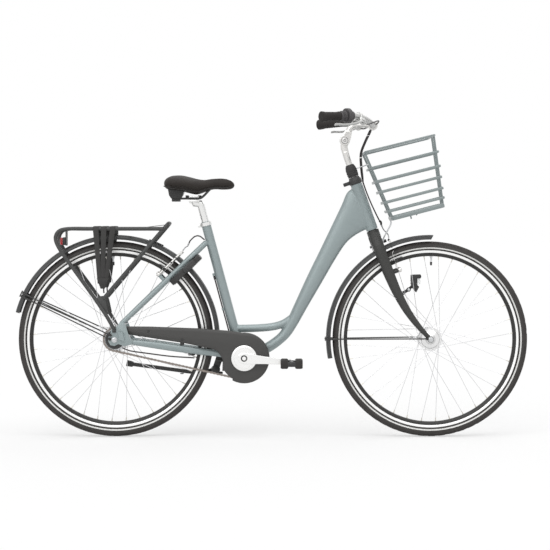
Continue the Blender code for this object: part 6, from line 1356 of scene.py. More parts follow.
shell = bmesh.new()
wall = [(0.0379, 0.3965), (0.127, 0.396), (0.299, 0.3895), (0.4138, 0.3805), (0.436, 0.3772)]
wall += [(0.462 + CASE_BULGE * cos(radians(a)), 0.284 + CASE_BULGE * sin(radians(a)))
         for a in [96 - 6 * k for k in range(42)]]
wall += [(0.3850, 0.2790), (0.3770, 0.2930), (0.366, 0.3080), (0.3560, 0.3145), (0.3374, 0.3193),
         (0.2417, 0.3382), (0.0757, 0.3639), (0.0385, 0.3705)]
ring_verts = [shell.verts.new(place(x, z, -0.0385)) for x, z in wall]
edges = [shell.edges.new(pair) for pair in zip(ring_verts, ring_verts[1:] + ring_verts[:1])]
grown = bmesh.ops.extrude_edge_only(shell, edges=edges)["geom"]
bmesh.ops.translate(shell, vec=SIDE * -0.0160, verts=only(grown, bmesh.types.BMVert))
lid_edges = [edge for edge in only(grown, bmesh.types.BMEdge) if edge.is_boundary
             and all(vert.co.y < -0.05 for vert in edge.verts)]
lid = bmesh.ops.contextual_create(shell, geom=lid_edges)["faces"]
bmesh.ops.recalc_face_normals(shell, faces=shell.faces[:])
if lid[0].normal.y > 0:
    bmesh.ops.reverse_faces(shell, faces=shell.faces[:])
for thickness, depth in ((0.0012, 0.0019), (0.0022, 0.0013), (0.0060, 0.0016), (0.0020, 0.0004)):
    bmesh.ops.inset_region(shell, faces=lid, thickness=thickness, depth=depth, use_even_offset=True)
for vert in shell.verts:
    vert.co.y = max(vert.co.y, CASE_DEEPEST)
bmesh.ops.solidify(shell, geom=shell.faces[:], thickness=0.0016)
case_piece = solid("chain_guard_shell", shell, "frame", [case_plastic], ["chain_case"], 28.0)
cuts = bmesh.new()
turned(cuts, BRACKET, SIDE, (-0.08, -0.03, 0.0200, 48))
brick(cuts, on_circle(BRACKET, CASE_BULGE, radians(225.0), -0.0445), (0.044, 0.036, 0.0280), X, Z, 0.0)
brick(cuts, place(0.0380, 0.3835, -0.0425), (0.012, 0.0215, 0.0280), X, Z, 0.0)
drilled(case_piece, cuts)
foot = bmesh.new()
brick(foot, place(0.2400, 0.3346, -0.0460), (0.014, 0.010, 0.0116), X, Z, 0.0006)
for x, z in ((0.2400, 0.3500), (0.1200, 0.3800)):
    bar(foot, place(x, z, -0.0602), place(x, z, -0.0617), 0.0042, 0.0036, sides=24)
solid("chain_guard_screws", foot, "frame", [black_nylon])

# Arm rings: out from the spindle, depth, half thickness
ARM = [(-0.0210, 0.0060, 0.0030), (-0.0195, 0.0200, 0.0052), (-0.0130, 0.0320, 0.0060),
       (0.0, 0.0385, 0.0062), (0.020, 0.0372, 0.0062), (0.045, 0.0325, 0.0060), (0.070, 0.0280, 0.0058),
       (0.095, 0.0250, 0.0057), (0.120, 0.0232, 0.0056), (0.150, 0.0228, 0.0056), (0.166, 0.0262, 0.0058),
       (0.176, 0.0250, 0.0056), (0.183, 0.0170, 0.0046), (0.1855, 0.0080, 0.0026)]


def crank_arm(side, end, slope):
    """A forged arm on its square end, with a channel down its face, and its cap."""
    way = ray(slope)
    shape = bmesh.new()
    line = curve([Vector(ring) for ring in ARM], 0.005)
    outline = mirrored([(ring[0], ring[1] / 2) for ring in line])
    middle = BRACKET + SIDE * side * 0.073
    flat_plate(shape, outline, 0.0119, middle, way, way.cross(SIDE), 0.0)
    turned(shape, BRACKET, SIDE * side, (0.0520, 0.0780, 0.0160, 40))
    skin = melted(shape, 0.0014, 3)
    made = solid("crank_arm_" + end, skin, "crank", [crank_alloy], ["crank_" + end], 40.0)
    cuts = bmesh.new()
    channel = [(0.058, 0.0088), (0.075, 0.0078), (0.110, 0.0064), (0.140, 0.0062)]
    front = [(0.0545, 0.0)] + channel + [(0.1455, 0.0)]
    flat_plate(cuts, front + mirrored(channel)[len(channel):], 0.0030, middle + SIDE * side * 0.0069, way,
               way.cross(SIDE), 0.0)
    turned(cuts, BRACKET, SIDE * side, (0.0735, 0.090, 0.0118, 40), (0.030, 0.0660, 0.0090, 32))
    turned(cuts, BRACKET + way * CRANK_LENGTH, SIDE * side, (0.05, 0.09, 0.0047, 24))
    drilled(made, cuts)
    cap = bmesh.new()
    spun(cap, [(0.0, 0.0737), (0.0116, 0.0737), (0.0116, 0.0762), (0.0108, 0.0770), (0.0078, 0.0770),
               (0.0074, 0.0764), (0.0, 0.0764)], BRACKET, SIDE * side, 40)
    spun(cap, [(0.0, 0.0764), (0.0072, 0.0764), (0.0068, 0.0774), (0.0, 0.0776)], BRACKET, SIDE * side, 32)
    for face in cap.faces:
        at = face.calc_center_median() - BRACKET
        if sqrt(at.x ** 2 + at.z ** 2) > 0.0074 and abs(at.y) > 0.075:
            face.material_index = 1
    solid("crank_cap_" + end, cap, "crank", [crank_alloy, black_nylon])


crank_arm(-1, "right", -5.0)
crank_arm(1, "left", 175.0)
disc = bmesh.new()
spun(disc, [(0.0180, 0.0628), (0.0455, 0.0628), (0.0462, 0.0636), (0.0462, 0.0668), (0.0450, 0.0684),
            (0.0430, 0.0690), (0.0373, 0.0693), (0.0368, 0.0686), (0.0360, 0.0686), (0.0355, 0.0693),
            (0.0180, 0.0694)], BRACKET,
     SIDE * -1, 96)
solid("crank_disc", disc, "crank", [ringed(crank_alloy.copy(), BRACKET, 0.0009, 0.12)])
axle = bmesh.new()
turned(axle, BRACKET, SIDE, (-0.0652, 0.0652, 0.0086, 32))
spun(axle, [(0.0088, 0.0362), (0.0165, 0.0362), (0.0165, 0.0376), (0.0150, 0.0384), (0.0088, 0.0384)],
     BRACKET, SIDE, 40)
solid("bottom_bracket_spindle", axle, "crank", [zinc], ["crank_spindle"])


def block_pedal(side, end, slope):
    """A pedal: two grooved rubber blocks in a cage round a bearing tube, on its spindle."""
    way = ray(slope)
    middle = BRACKET + way * CRANK_LENGTH + SIDE * side * 0.130
    shape = bmesh.new()
    for front in (-1, 1):
        brick(shape, middle + X * front * 0.0255, (0.0268, 0.0298, 0.0876), X, Z, 0.0034)
    for row in range(9):
        y = (row - 4) * 0.0090
        for front in (-1, 1):
            for up in (-1, 1):
                brick(shape, middle + X * front * 0.0255 + SIDE * y + Z * up * 0.0146,
                      (0.0190, 0.0026, 0.0050), X, Z, 0.0008)
    solid("pedal_treads_" + end, shape, "pedal_" + end, [pedal_rubber], ["pedal_" + end], 35.0)
    cage = bmesh.new()
    turned(cage, middle, SIDE, (-0.0435, 0.0435, 0.0088, 32))
    for far in (-1, 1):
        brick(cage, middle + SIDE * far * 0.0395, (0.0505, 0.0175, 0.0070), X, Z, 0.0015)
    spun(cage, [(0.0, 0.0425), (0.0075, 0.0425), (0.0078, 0.0440), (0.0060, 0.0452), (0.0, 0.0454)], middle,
         SIDE * side, 28)
    solid("pedal_cage_" + end, cage, "pedal_" + end, [black_nylon])
    amber = bmesh.new()
    for front in (-1, 1):
        brick(amber, middle + X * front * 0.0387, (0.0008, 0.0110, 0.0480), X, Z, 0.0002)
    solid("pedal_reflectors_" + end, amber, "pedal_" + end, [amber_lens])
    pin = bmesh.new()
    turned(pin, BRACKET + way * CRANK_LENGTH, SIDE * side, (0.0672, 0.1700, 0.0045, 20),
           (0.0795, 0.0853, 0.0076, 20))
    solid("pedal_pin_" + end, pin, "crank", [zinc])


amber_lens = finish("amber_reflector", (0.50, 0.17, 0.02), 0.14, shade=0.05, grain=500.0, lift=0.10,
                    coat=0.5)
block_pedal(-1, "right", -5.0)
block_pedal(1, "left", 175.0)

stand = bmesh.new()
turned(stand, KICK_PIVOT, KICK_AXIS, (-0.0078, 0.0078, 0.0110, 36))
leg = curve([KICK_PIVOT + Vector((-0.004, 0.0, -0.002)), KICK_PIVOT + Vector((-0.016, 0.004, -0.0060)),
             place(0.2990, 0.2270, 0.0545), place(0.2687, 0.2265, 0.0560), place(0.200, 0.2350, 0.0600),
             place(0.0520, 0.2540, 0.0690)], 0.008)
wire(stand, leg, 0.0072, 24)
bar(stand, KICK_PIVOT + Vector((-0.006, 0.0, -0.012)), place(0.3820, 0.2225, 0.0490), 0.0058, sides=20)
stand_skin = melted(stand, 0.0013, 2, 0.6)
wire(stand_skin, [place(0.0560, 0.2532, 0.0687), place(0.0530, 0.2538, 0.0689),
                  place(0.0480, 0.2548, 0.0692), place(0.0340, 0.2578, 0.0700),
                  place(0.0325, 0.2581, 0.0700)], 0.0098, 28, end_radius=0.0120)
bar(stand_skin, place(0.2340, 0.2290, 0.0560), place(0.2340, 0.2190, 0.0560), 0.0045, sides=20)
bar(stand_skin, place(0.2340, 0.2222, 0.0560), place(0.2340, 0.2188, 0.0560), 0.0062, sides=6)
stand_piece = solid("side_stand", stand_skin, "kickstand", [black_steel], ["kickstand"],
                    40.0)
bored(stand_piece, (KICK_PIVOT - KICK_AXIS * 0.02, KICK_PIVOT + KICK_AXIS * 0.02, 0.0043, 20))


# BRAKES, RING LOCK AND CABLES
# Linear-pull rim brakes with cast arms, cartridge pads and a curved lead pipe, a horseshoe lock
# round the rear tyre, and black cable outers: from the pipes to the frame and up to the bar, a
# second one beside the front one with a clip round both, and one from each brake lever.

pad_rubber = finish("pad_rubber", (0.022, 0.021, 0.020), 0.70, shade=0.10, grain=1200.0, lift=0.2,
                    shine=0.35)
# Where the brakes lie: the arms' middle ahead of their bosses, the rim's brake track and the inner wire
ARM_MIDDLE, TRACK_RADIUS, INNER_UP = 0.00465, 0.3065, 0.112
BELLOWS_START, BELLOWS_LENGTH = -0.0198, 0.0063
LOCK_BODY_RADIUS, LOCK_BOLT_RADIUS = 0.342, 0.068
lock_black = finish("lock_black", (0.030, 0.029, 0.028), 0.40, shade=0.08, grain=1300.0, lift=0.12)


def rear_at(up, off, y):
    """A point of a rear brake arm: up the stay from its pivot, behind the stay's line, and across."""
    return STAY_FOOT + STAY_WAY * (stay_at(BOSS_RADIUS) + up) + STAY_OFF * off + SIDE * y


def front_at(up, off, y):
    """A point of a front brake arm: up from its pivot, ahead of the steering axis, and across."""
    return fork_at(FRONT_PIVOT_UP + up, off, y)


def track_level(at, axle, off):
    """How far up from the arm's pivot the middle of the brake track is, at a place along the pad."""
    up = 0.030
    for _ in range(8):
        up += TRACK_RADIUS - (at(up, off, 0.0) - axle).length
    return up


pipe_steel = finish("dull_pipe_steel", (0.40, 0.40, 0.41), 0.34, metal=1.0, shade=0.06)


def pipe_route(at, reach, end):
    """The line of the lead pipe from across the tyre round to its upper end."""
    middle = reach + ARM_MIDDLE
    knots = [(INNER_UP, middle, -0.014), (INNER_UP, middle, 0.040), (0.118, middle + 0.004, 0.052),
             (0.132, middle + 0.006, 0.057), ((0.132 + end[0]) / 2, (middle + end[1]) / 2, 0.0565), end]
    return [at(*knot) for knot in knots]


def brake_arm(end, at, axle, reach, side, pipe_end):
    """An arm on its boss, its pad in a holder with washers and nut, the spring, and on the left the pipe."""
    name = end + "_brake_arm_" + ("left" if side > 0 else "right")
    middle = reach + ARM_MIDDLE
    shape = bmesh.new()
    rings = [(-0.0065, 0.0400, 0.0046), (0.006, 0.0410, 0.0060), (0.024, 0.0410, 0.0054),
             (0.044, 0.0392, 0.0050), (0.066, 0.0382, 0.0047), (0.088, 0.0375, 0.0045),
             (0.108, 0.0368, 0.0043), (0.1165, 0.0365, 0.0036)]
    line = curve([Vector(ring) for ring in rings], 0.005)
    pushed(shape, [station(at(ring[0], middle, side * ring[1]), at(1.0, 0.0, 0.0) - at(0.0, 0.0, 0.0),
                           ring[2] * 1.06, 0.0041)
                   for ring in line], 20)
    way = (at(0.0, 1.0, 0.0) - at(0.0, 0.0, 0.0)).normalized()
    pivot = at(0.0, middle, side * 0.040)
    rounded(shape, bar(shape, pivot - way * 0.00432, pivot + way * 0.00432, 0.0085, sides=36), 0.0008)
    level = track_level(at, axle, middle)
    boss = at(level, middle, side * 0.0400)
    rounded(shape, bar(shape, boss - SIDE * side * 0.0045, boss + SIDE * side * 0.0045, 0.0072, sides=28),
            0.0006)
    top = at(0.110, middle, side * 0.0370)
    turned(shape, top, SIDE, (-0.0055, 0.0055, 0.0052, 24))
    arm = solid(name + "_casting", shape, name, [cast_alloy], [name], 40.0)
    bored(arm, (pivot - way * 0.01, pivot + way * 0.01, 0.0043, 20))
    fixings = bmesh.new()
    bar(fixings, at(level, middle, side * 0.0275), at(level, middle, side * 0.0500), 0.0030, sides=16)
    dark = bmesh.new()
    bar(dark, at(level, middle, side * 0.0300), at(level, middle, side * 0.0335), 0.0066, 0.0058, sides=24)
    bar(dark, at(level, middle, side * 0.0450), at(level, middle, side * 0.0468), 0.0066, sides=24)
    bar(dark, at(level, middle, side * 0.0468), at(level, middle, side * 0.0505), 0.0050, sides=6)
    for up in (0.062, 0.086):
        bar(dark, at(up, middle, side * 0.0400), at(up, middle, side * 0.0436), 0.0026, sides=20)
    turned(dark, pivot, way, (0.0050, 0.0062, 0.0042, 6))
    solid(name + "_nuts", dark, name, [black_steel])
    spring = [at(-0.004, middle - 0.0062, side * 0.0400), at(0.012, middle - 0.0060, side * 0.0440),
              at(0.040, middle - 0.0056, side * 0.0445), at(0.066, middle - 0.0050, side * 0.0432),
              at(0.070, middle + 0.0010, side * 0.0428)]
    wire(fixings, curve(spring, 0.004), 0.0008, 8)
    turned(fixings, pivot, way, (0.0040, 0.0052, 0.0070, 28))
    if side < 0:
        socket_screw(fixings, at(0.108, middle, side * 0.0420), SIDE * side, 0.0044, 0.0026)
        bar(fixings, at(INNER_UP, middle, -0.036), at(INNER_UP, middle, -0.016), 0.0008, sides=8)
    solid(name + "_springs", fixings, name, [steel_bolt])
    pad = bmesh.new()
    ends = [at(track_level(at, axle, off), off, side * 0.0240) for off in (middle - 0.025, middle + 0.025)]
    run = ends[1] - ends[0]
    spot = (ends[0] + ends[1]) / 2
    brick(pad, spot, (run.length, 0.0096, 0.0094), run, run.cross(SIDE), 0.0014)
    solid(name + "_pad", pad, name, [pad_rubber])
    if side > 0:
        pipe = bmesh.new()
        route = pipe_route(at, reach, pipe_end)
        wire(pipe, curve(route, 0.004), 0.0021, 14)
        tail = (route[-1] - route[-2]).normalized()
        bar(pipe, route[-1] - tail * 0.006, route[-1], 0.0030, sides=20)
        bar(pipe, at(INNER_UP, middle, 0.0330), at(INNER_UP, middle, 0.0400), 0.0036, sides=20)
        solid(name + "_lead_pipe", pipe, name, [pipe_steel])
        sleeve, turns = bmesh.new(), 7
        for index in range(turns):
            y = BELLOWS_START + BELLOWS_LENGTH * index / (turns - 1)
            far = 0.0042 if index % 2 else 0.0031
            near = 0.0031 if index % 2 else 0.0042
            bar(sleeve, at(INNER_UP, middle, y), at(INNER_UP, middle, y + BELLOWS_LENGTH / (turns - 1)),
                near, far, sides=20)
        solid(name + "_bellows", sleeve, name, [pad_rubber])


PIPE_ENDS = {"rear": (0.150, 0.0420, 0.0565), "front": (0.172, 0.0387, 0.0565)}
for side in (-1, 1):
    brake_arm("rear", rear_at, REAR_AXLE, 0.030, side, PIPE_ENDS["rear"])
    brake_arm("front", front_at, FRONT_AXLE, 0.0395, side, PIPE_ENDS["front"])


def lock_at(angle, radius, off=0.0):
    """A point of the ring lock: round from its body, out from its middle, and off its plane."""
    turn = radians(angle)
    return (STAY_FOOT + STAY_WAY * (stay_at(LOCK_BODY_RADIUS) + radius * cos(turn))
            + STAY_OFF * (off - 0.020354)
            + SIDE * radius * sin(turn))


def lock_ring(first, last, inner, outer):
    """The outline of an arc of the lock, as (across, up) places round its middle."""
    turns = [radians(first + (last - first) * k / 36) for k in range(37)]
    return ([(outer * sin(turn), outer * cos(turn)) for turn in turns]
            + [(inner * sin(turn), inner * cos(turn)) for turn in reversed(turns)])


centre = lock_at(0.0, 0.0)
lock = bmesh.new()
flat_plate(lock, lock_ring(-139.5, 139.5, 0.0592, 0.0770), 0.0218, centre, SIDE, STAY_WAY, 0.0030)
brick(lock, lock_at(0.0, 0.0715), (0.0915, 0.0225, 0.0218), SIDE, STAY_WAY, 0.0050)
bar(lock, lock_at(-80.0, 0.070), lock_at(-80.0, 0.0860), 0.0102, 0.0098, sides=32)
lock_skin = melted(lock, 0.0015, 1)
for side in (-1, 1):
    rounded(lock_skin, bar(lock_skin, lock_at(side * 33.0, 0.076, 0.0112),
                           lock_at(side * 33.0, 0.076, 0.0124), 0.0046, sides=28), 0.0004)
lock_piece = solid("horseshoe_lock", lock_skin, "frame", [lock_black], ["ring_lock"], 40.0)
cuts = bmesh.new()
wire(cuts, [lock_at(44.0 + 4.0 * k, LOCK_BOLT_RADIUS) for k in range(27)], 0.0043, 16, STAY_OFF)
drilled(lock_piece, cuts)
cuts = bmesh.new()
flat_plate(cuts, lock_ring(46.0, 142.0, LOCK_BOLT_RADIUS, 0.080), 0.0056, centre, SIDE, STAY_WAY, 0.0)
drilled(lock_piece, cuts)
cuts = bmesh.new()
wire(cuts, [lock_at(angle, LOCK_BOLT_RADIUS) for angle in (210.0, 218.0, 226.0, 232.0)], 0.0043, 16,
     STAY_OFF)
drilled(lock_piece, cuts)
key = bmesh.new()
way = (lock_at(-80.0, 0.1) - lock_at(-80.0, 0.0)).normalized()
rounded(key, bar(key, lock_at(-80.0, 0.0858), lock_at(-80.0, 0.0880), 0.0088, sides=32), 0.0006)
brick(key, lock_at(-80.0, 0.0880), (0.0070, 0.0016, 0.0006), STAY_OFF, way.cross(STAY_OFF), 0.0)
solid("lock_cylinder", key, "frame", [black_nylon])
bolt = bmesh.new()
wire(bolt, [lock_at(48.0 + 91.0 * k / 30, LOCK_BOLT_RADIUS) for k in range(31)], 0.0038, 20, STAY_OFF)
bar(bolt, lock_at(52.0, LOCK_BOLT_RADIUS), lock_at(52.0, 0.084), 0.0022, sides=16)
solid("lock_shackle", bolt, "ring_lock_bolt", [zinc], ["ring_lock_bolt"])
knob = bmesh.new()
rounded(knob, bar(knob, lock_at(52.0, 0.0790), lock_at(52.0, 0.0890), 0.0068, 0.0070, sides=32), 0.0012, 3)
solid("lock_tab", knob, "ring_lock_bolt", [lock_black])

cable_black = finish("cable_black", (0.022, 0.018, 0.018), 0.42, shade=0.08, grain=1500.0, lift=0.08)


def cable(name, body, stands_for, route, step):
    """A cable outer as one free cord: a smooth line from its pipe to where it goes back in."""
    points = curve(route, step)
    line = bpy.data.curves.new(name, "CURVE")
    line.dimensions = "3D"
    line.bevel_depth, line.bevel_resolution, line.use_fill_caps = 0.0025, 3, True
    spline = line.splines.new("POLY")
    spline.points.add(len(points) - 1)
    for knot, point in zip(spline.points, points):
        knot.co = point.to_4d()
    line.materials.append(cable_black)
    made = linked(name, line)
    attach(made, body)
    if stands_for:
        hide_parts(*stands_for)


def ferrule(name, body, path, radius):
    """A ribbed rubber sleeve that follows the first stretch of a cable."""
    shape = bmesh.new()
    for index, (near, far) in enumerate(zip(path, path[1:])):
        ends = (radius, radius * 0.82) if index % 2 else (radius * 0.82, radius)
        bar(shape, near, far, ends[0], ends[1], sides=20)
    solid(name, shape, body, [pad_rubber])


def cable_start(at, reach, end):
    """Two points where a cable's outer leaves its pipe, in line with the pipe's end."""
    route = pipe_route(at, reach, end)
    way = (route[-1] - route[-2]).normalized()
    return [route[-1] + way * 0.0008, route[-1] + way * 0.010]


front_route = cable_start(front_at, 0.026, PIPE_ENDS["front"]) + [
    place(0.9440, 0.7820, 0.020), place(0.9112, 0.8518, 0.012), place(0.8874, 0.9180, 0.012),
    place(0.8800, 0.9683, 0.012), place(0.8790, 1.0158, 0.012), place(0.8930, 1.0560, 0.012),
    place(0.9040, 1.0800, 0.012)]
cable("front_brake_outer", "fork", ["front_brake_cable"], front_route, 0.012)
ferrule("front_cable_boot", "fork", curve(front_route, 0.0022)[:17], 0.0042)
cable("rear_lead_outer", "fork", (), [
    place(0.8885, 0.9100, 0.0050), place(0.8878, 0.9300, 0.0070), place(0.8842, 0.9683, 0.0076),
    place(0.8832, 1.0158, 0.0076), place(0.8972, 1.0548, 0.0076), place(0.9092, 1.0802, 0.0076)], 0.012)
clip = bmesh.new()
bar(clip, place(0.8814, 0.9998, 0.0098), place(0.8812, 1.0028, 0.0098), 0.0063, sides=24)
solid("cable_clip", clip, "fork", [bright_alloy])
for side, end in ((1, "left"), (-1, "right")):
    inner, outer = clamp_line(side)
    way = (inner - outer).normalized()
    barrel_end = hinge_at(side, -0.009) + way * 0.034
    cable("lever_cable_" + end, "handlebar", (), [
        barrel_end, barrel_end + way * 0.020, place(0.9380, 1.1290, 0.098 * side),
        place(0.9390, 1.1240, 0.058 * side), place(0.9310, 1.1175, 0.0095 + 0.022 * side),
        place(0.9190, 1.1080, 0.0095 + 0.0065 * side),
        place(0.9134 - 0.0026 * side, 1.0950, 0.0098 + 0.0030 * side),
        place(0.9074 - 0.0027 * side, 1.0815, 0.0098 + 0.0022 * side)], 0.012)
entry = SEAT_FOOT + SEAT_UP * ((0.711 - SEAT_FOOT.z) / SEAT_UP.z)
rear_route = cable_start(rear_at, 0.030, PIPE_ENDS["rear"]) + [
    place(0.2830, 0.7180, 0.014), place(0.3000, 0.7190, 0.006), entry + SEAT_BACK * 0.01955]
cable("rear_brake_outer", "frame", ["rear_brake_cable"], rear_route, 0.008)

unit = bmesh.new()
spun(unit, [(0.0062, 0.0542), (0.0330, 0.0542), (0.0340, 0.0552), (0.0340, 0.0606), (0.0322, 0.0640),
            (0.0270, 0.0652), (0.0150, 0.0654), (0.0062, 0.0654)], REAR_AXLE, SIDE * -1, 64)
solid("gear_unit", unit, "frame", [black_nylon], ["shift_cable"], 35.0)
shift_route = [place(0.0300, 0.3200, -0.0600), place(0.0535, 0.3105, -0.0600), place(0.110, 0.3020, -0.0565),
               place(0.200, 0.2900, -0.0500), place(0.2838, 0.2842, -0.0430)]
cable("shift_outer", "frame", (), shift_route, 0.012)


# SEAT TUBE CABLE
# One black cable outer starts at a stop above the middle of the seat tube and runs down behind
# it, held close to it by two welded guides.

CABLE_BACK = 0.0206
down_run = bmesh.new()
back_at = [SEAT_FOOT + SEAT_UP * far + SEAT_BACK * CABLE_BACK for far in (0.305, 0.240, 0.160, 0.070)]
wire(down_run, curve(back_at), 0.0025, 14)
turned(down_run, back_at[0], SEAT_UP, (0.003, -0.010, 0.0036, 20))
solid("seat_tube_outer", down_run, "frame", [cable_black])
guides = bmesh.new()
for far in (0.313, 0.184):
    at = SEAT_FOOT + SEAT_UP * far + SEAT_BACK * CABLE_BACK
    turned(guides, at, SEAT_UP, (-0.0045, 0.0045, 0.0040, 20))
    brick(guides, at - SEAT_BACK * 0.0030, (0.0060, 0.0090, 0.0060), SEAT_BACK, SEAT_UP, 0.0008)
solid("cable_guides", guides, "frame", [frame_coat])


# BASKET
# Flat aluminium bands bent round and welded to four upright wires, with a wire floor, powder
# coated. A wire holds it to the boot, and two struts and a plate to the crown.

basket_coat = finish("basket_coat", (0.225, 0.262, 0.262), 0.42, shade=0.04, grain=1500.0, lift=0.04,
                     coat=0.15)
BASKET_CORNERS = {("rear", 0): place(0.8910, 1.0160), ("front", 0): place(1.1391, 1.0775),
                  ("rear", 1): place(0.9915, 0.7830), ("front", 1): place(1.1727, 0.8300)}
BASKET_HALF = (0.165, 0.130)
# The bands lie this far behind the front corners and this far out at the sides
FRONT_SET_BACK, SIDE_OUT = 0.0065, 0.002


def basket_at(end, down, side):
    """A place on the basket's corner line: 0 at its rim, 1 at its floor."""
    middle = BASKET_CORNERS[end, 0].lerp(BASKET_CORNERS[end, 1], down)
    return middle + SIDE * side * (BASKET_HALF[0] + (BASKET_HALF[1] - BASKET_HALF[0]) * down)


def looped(shape, path, wide, tall, across):
    """Pushes a ring right round a closed path and joins it to itself."""
    stations = [station(point, path[(k + 1) % len(path)] - path[k - 1], wide, tall, across)
                for k, point in enumerate(path)]
    ring = bmesh.ops.create_circle(shape, cap_ends=False, segments=8, radius=1.0,
                                   matrix=stations[0])["verts"]
    first = list({edge for vert in ring for edge in vert.link_edges})
    made = []
    edges = carried(shape, first, stations, made)
    made += bmesh.ops.bridge_loops(shape, edges=first + edges)["faces"]
    bmesh.ops.recalc_face_normals(shape, faces=made)


def rounded_loop(corners, bend):
    """A closed path round some corners, each turned with a bend."""
    steps = 6
    path = []
    for k, corner in enumerate(corners):
        come = (corner - corners[k - 1]).normalized()
        leave = (corners[(k + 1) % len(corners)] - corner).normalized()
        middle = corner - come * bend + leave * bend
        for index in range(steps + 1):
            turn = pi / 2 * index / steps
            path.append(middle - leave * bend * cos(turn) + come * bend * sin(turn))
    return path


def band(shape, down, tall, thick, out):
    """One band of the basket at a share of the way down, a little outside its wires."""
    corners = [basket_at(end, down, side)
               for end, side in (("rear", -1), ("front", -1), ("front", 1), ("rear", 1))]
    middle = sum(corners, Vector()) / 4
    ahead = (basket_at("front", down, 0) - basket_at("rear", down, 0)).normalized()
    corners = [corner + ahead * (out - FRONT_SET_BACK if (corner - middle).dot(ahead) > 0 else -out)
               + SIDE * (SIDE_OUT if corner.y > 0 else -SIDE_OUT) for corner in corners]
    looped(shape, rounded_loop(corners, 0.016), tall / 2, thick / 2, SIDE.cross(ahead) * -1)


basket = bmesh.new()
band(basket, 0.0, 0.0074, 0.0074, 0.002)
for down, tall in ((0.238, 0.0082), (0.441, 0.0094), (0.597, 0.0098), (0.757, 0.0098), (0.891, 0.0096)):
    band(basket, down, tall, 0.0036, 0.009)
band(basket, 1.0, 0.0150, 0.0050, 0.004)
for end, share, wide in (("rear", 0.55, 0.0042), ("front", 0.32, 0.0038)):
    for side in (-1, 1):
        pushed(basket, [station(basket_at(end, down, side * share), Z, 0.0030, wide)
                        for down in (0.0, 1.0)], 12)
for share, reach in ((0.36, 0.014), (0.47, 0.006)):
    line = [basket_at("rear", down, 0.0).lerp(basket_at("front", down, 0.0), share)
            for down in (0.975, 1.02)]
    wire(basket, [line[0], line[1], line[1] + X * 0.004 - Z * reach], 0.0026, 10)
for share in (-0.75, -0.5, -0.25, 0.0, 0.25, 0.5, 0.75):
    wire(basket, [basket_at("rear", 0.985, share), basket_at("front", 0.985, share)], 0.0028, 10)
for share in (0.3, 0.7):
    line = [basket_at("rear", 0.99, side).lerp(basket_at("front", 0.99, side), share) for side in (-1, 1)]
    wire(basket, line, 0.0028, 10)
solid("slatted_basket", basket, "fork", [basket_coat], ["basket"], 50.0)


# BASKET MOUNT
# A bent steel wire hooks the basket to the boot above the headset, and two thin struts run down
# from its floor to a plate that is bolted to the fork crown.

mount = bmesh.new()
hook_foot = HEAD_TOP + STEER_UP * 0.052 + STEER_FRONT * 0.0206
hook_end = basket_at("rear", 1 / 6, 0.0)
for side in (-1, 1):
    wire(mount, curve([hook_foot + SIDE * side * 0.006, hook_foot.lerp(hook_end, 0.45) + SIDE * side * 0.012,
                       hook_end + SIDE * side * 0.030]), 0.0022, 12)
    foot = fork_at(CROWN_TOP - 0.050, 0.0255, side * 0.012)
    low = basket_at("rear", 1.0, side * 0.20)
    wire(mount, curve([foot, foot + STEER_FRONT * 0.006 + STEER_UP * 0.012, foot.lerp(low, 0.72) + X * 0.004,
                       low - X * 0.004 - Z * 0.004, low]), 0.0019, 12)
brick(mount, fork_at(CROWN_TOP - 0.048, 0.0225), (0.034, 0.018, 0.003), SIDE, STEER_UP, 0.0008)
solid("basket_mount", mount, "fork", [zinc])
bolt = bmesh.new()
at = fork_at(CROWN_TOP - 0.052, 0.0240)
rounded(bolt, bar(bolt, at, at + STEER_FRONT * 0.0110, 0.0058, sides=6), 0.0008)
solid("basket_mount_bolt", bolt, "fork", [black_steel])


# HEADLIGHT
# A small lamp of black plastic on the left fork blade, with a visor over its clear lens and a
# bright bowl behind it, on a hinged bracket with one bolt.

LAMP_Y, LENS_HEIGHT = 0.062, 0.5542
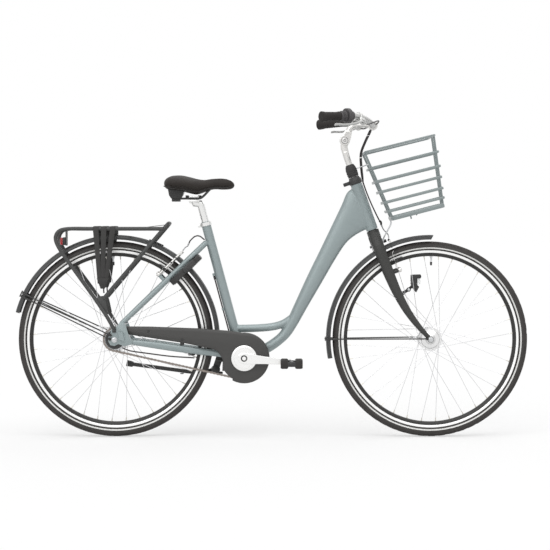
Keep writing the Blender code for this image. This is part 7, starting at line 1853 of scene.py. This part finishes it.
# The housing's outline from the side: the visor, the face under it, the chin and the back
LAMP_OUTLINE = [(1.0635, 0.5785), (1.0990, 0.5800), (1.1006, 0.5720), (1.0990, 0.5655), (1.0865, 0.5650),
                (1.0850, 0.5430), (1.0935, 0.5355), (1.0820, 0.5140), (1.0640, 0.5365), (1.0655, 0.5560),
                (1.0630, 0.5600)]
lamp = bmesh.new()
flat_plate(lamp, LAMP_OUTLINE, 0.040, place(0.0, 0.0, LAMP_Y), X, Z, 0.0032)
for high in (0.5475, 0.5525, 0.5575):
    brick(lamp, place(1.0640, high, LAMP_Y), (0.0040, 0.0018, 0.030), X, Z, 0.0004)
solid("lamp_housing", lamp, "fork", [black_nylon], ["headlight"], 50.0)

bowl = bmesh.new()
pushed(bowl, [station(place(at, LENS_HEIGHT, LAMP_Y), X, radius, radius) for at, radius in
              ((1.0846, 0.0040), (1.0858, 0.0085), (1.0866, 0.0104), (1.0872, 0.0112))], 32)
solid("lamp_bowl", bowl, "fork", [bright_alloy])
lens = bmesh.new()
pushed(lens, [station(place(at, LENS_HEIGHT, LAMP_Y), X, radius, radius) for at, radius in
              ((1.0850, 0.0114), (1.0900, 0.0116), (1.0945, 0.0108), (1.0972, 0.0085), (1.0985, 0.0045))],
       40)
solid("lamp_lens", lens, "fork", [lens_clear], (), 30.0)

arm = bmesh.new()
joint = place(1.0552, 0.5250, 0.0550)
root = fork_at(0.184, 0.0310, 0.050)
turned(arm, root, STEER_FRONT, (-0.0020, 0.0040, 0.0070, 20))
for start, end, tall in ((root, joint, 0.0110), (joint, place(1.0680, 0.5370, 0.058), 0.0100)):
    way = end - start
    brick(arm, (start + end) / 2, (way.length + 0.004, tall, 0.0050), way, SIDE.cross(way), 0.0010)
rounded(arm, bar(arm, joint - SIDE * 0.0065, joint + SIDE * 0.0065, 0.0078, sides=28), 0.0010)
solid("lamp_bracket", arm, "fork", [black_nylon])
bolt = bmesh.new()
rounded(bolt, bar(bolt, joint - SIDE * 0.0085, joint - SIDE * 0.0050, 0.0048, sides=24), 0.0008)
rounded(bolt, bar(bolt, joint + SIDE * 0.0050, joint + SIDE * 0.0085, 0.0048, sides=6), 0.0008)
solid("lamp_bolt", bolt, "fork", [zinc])
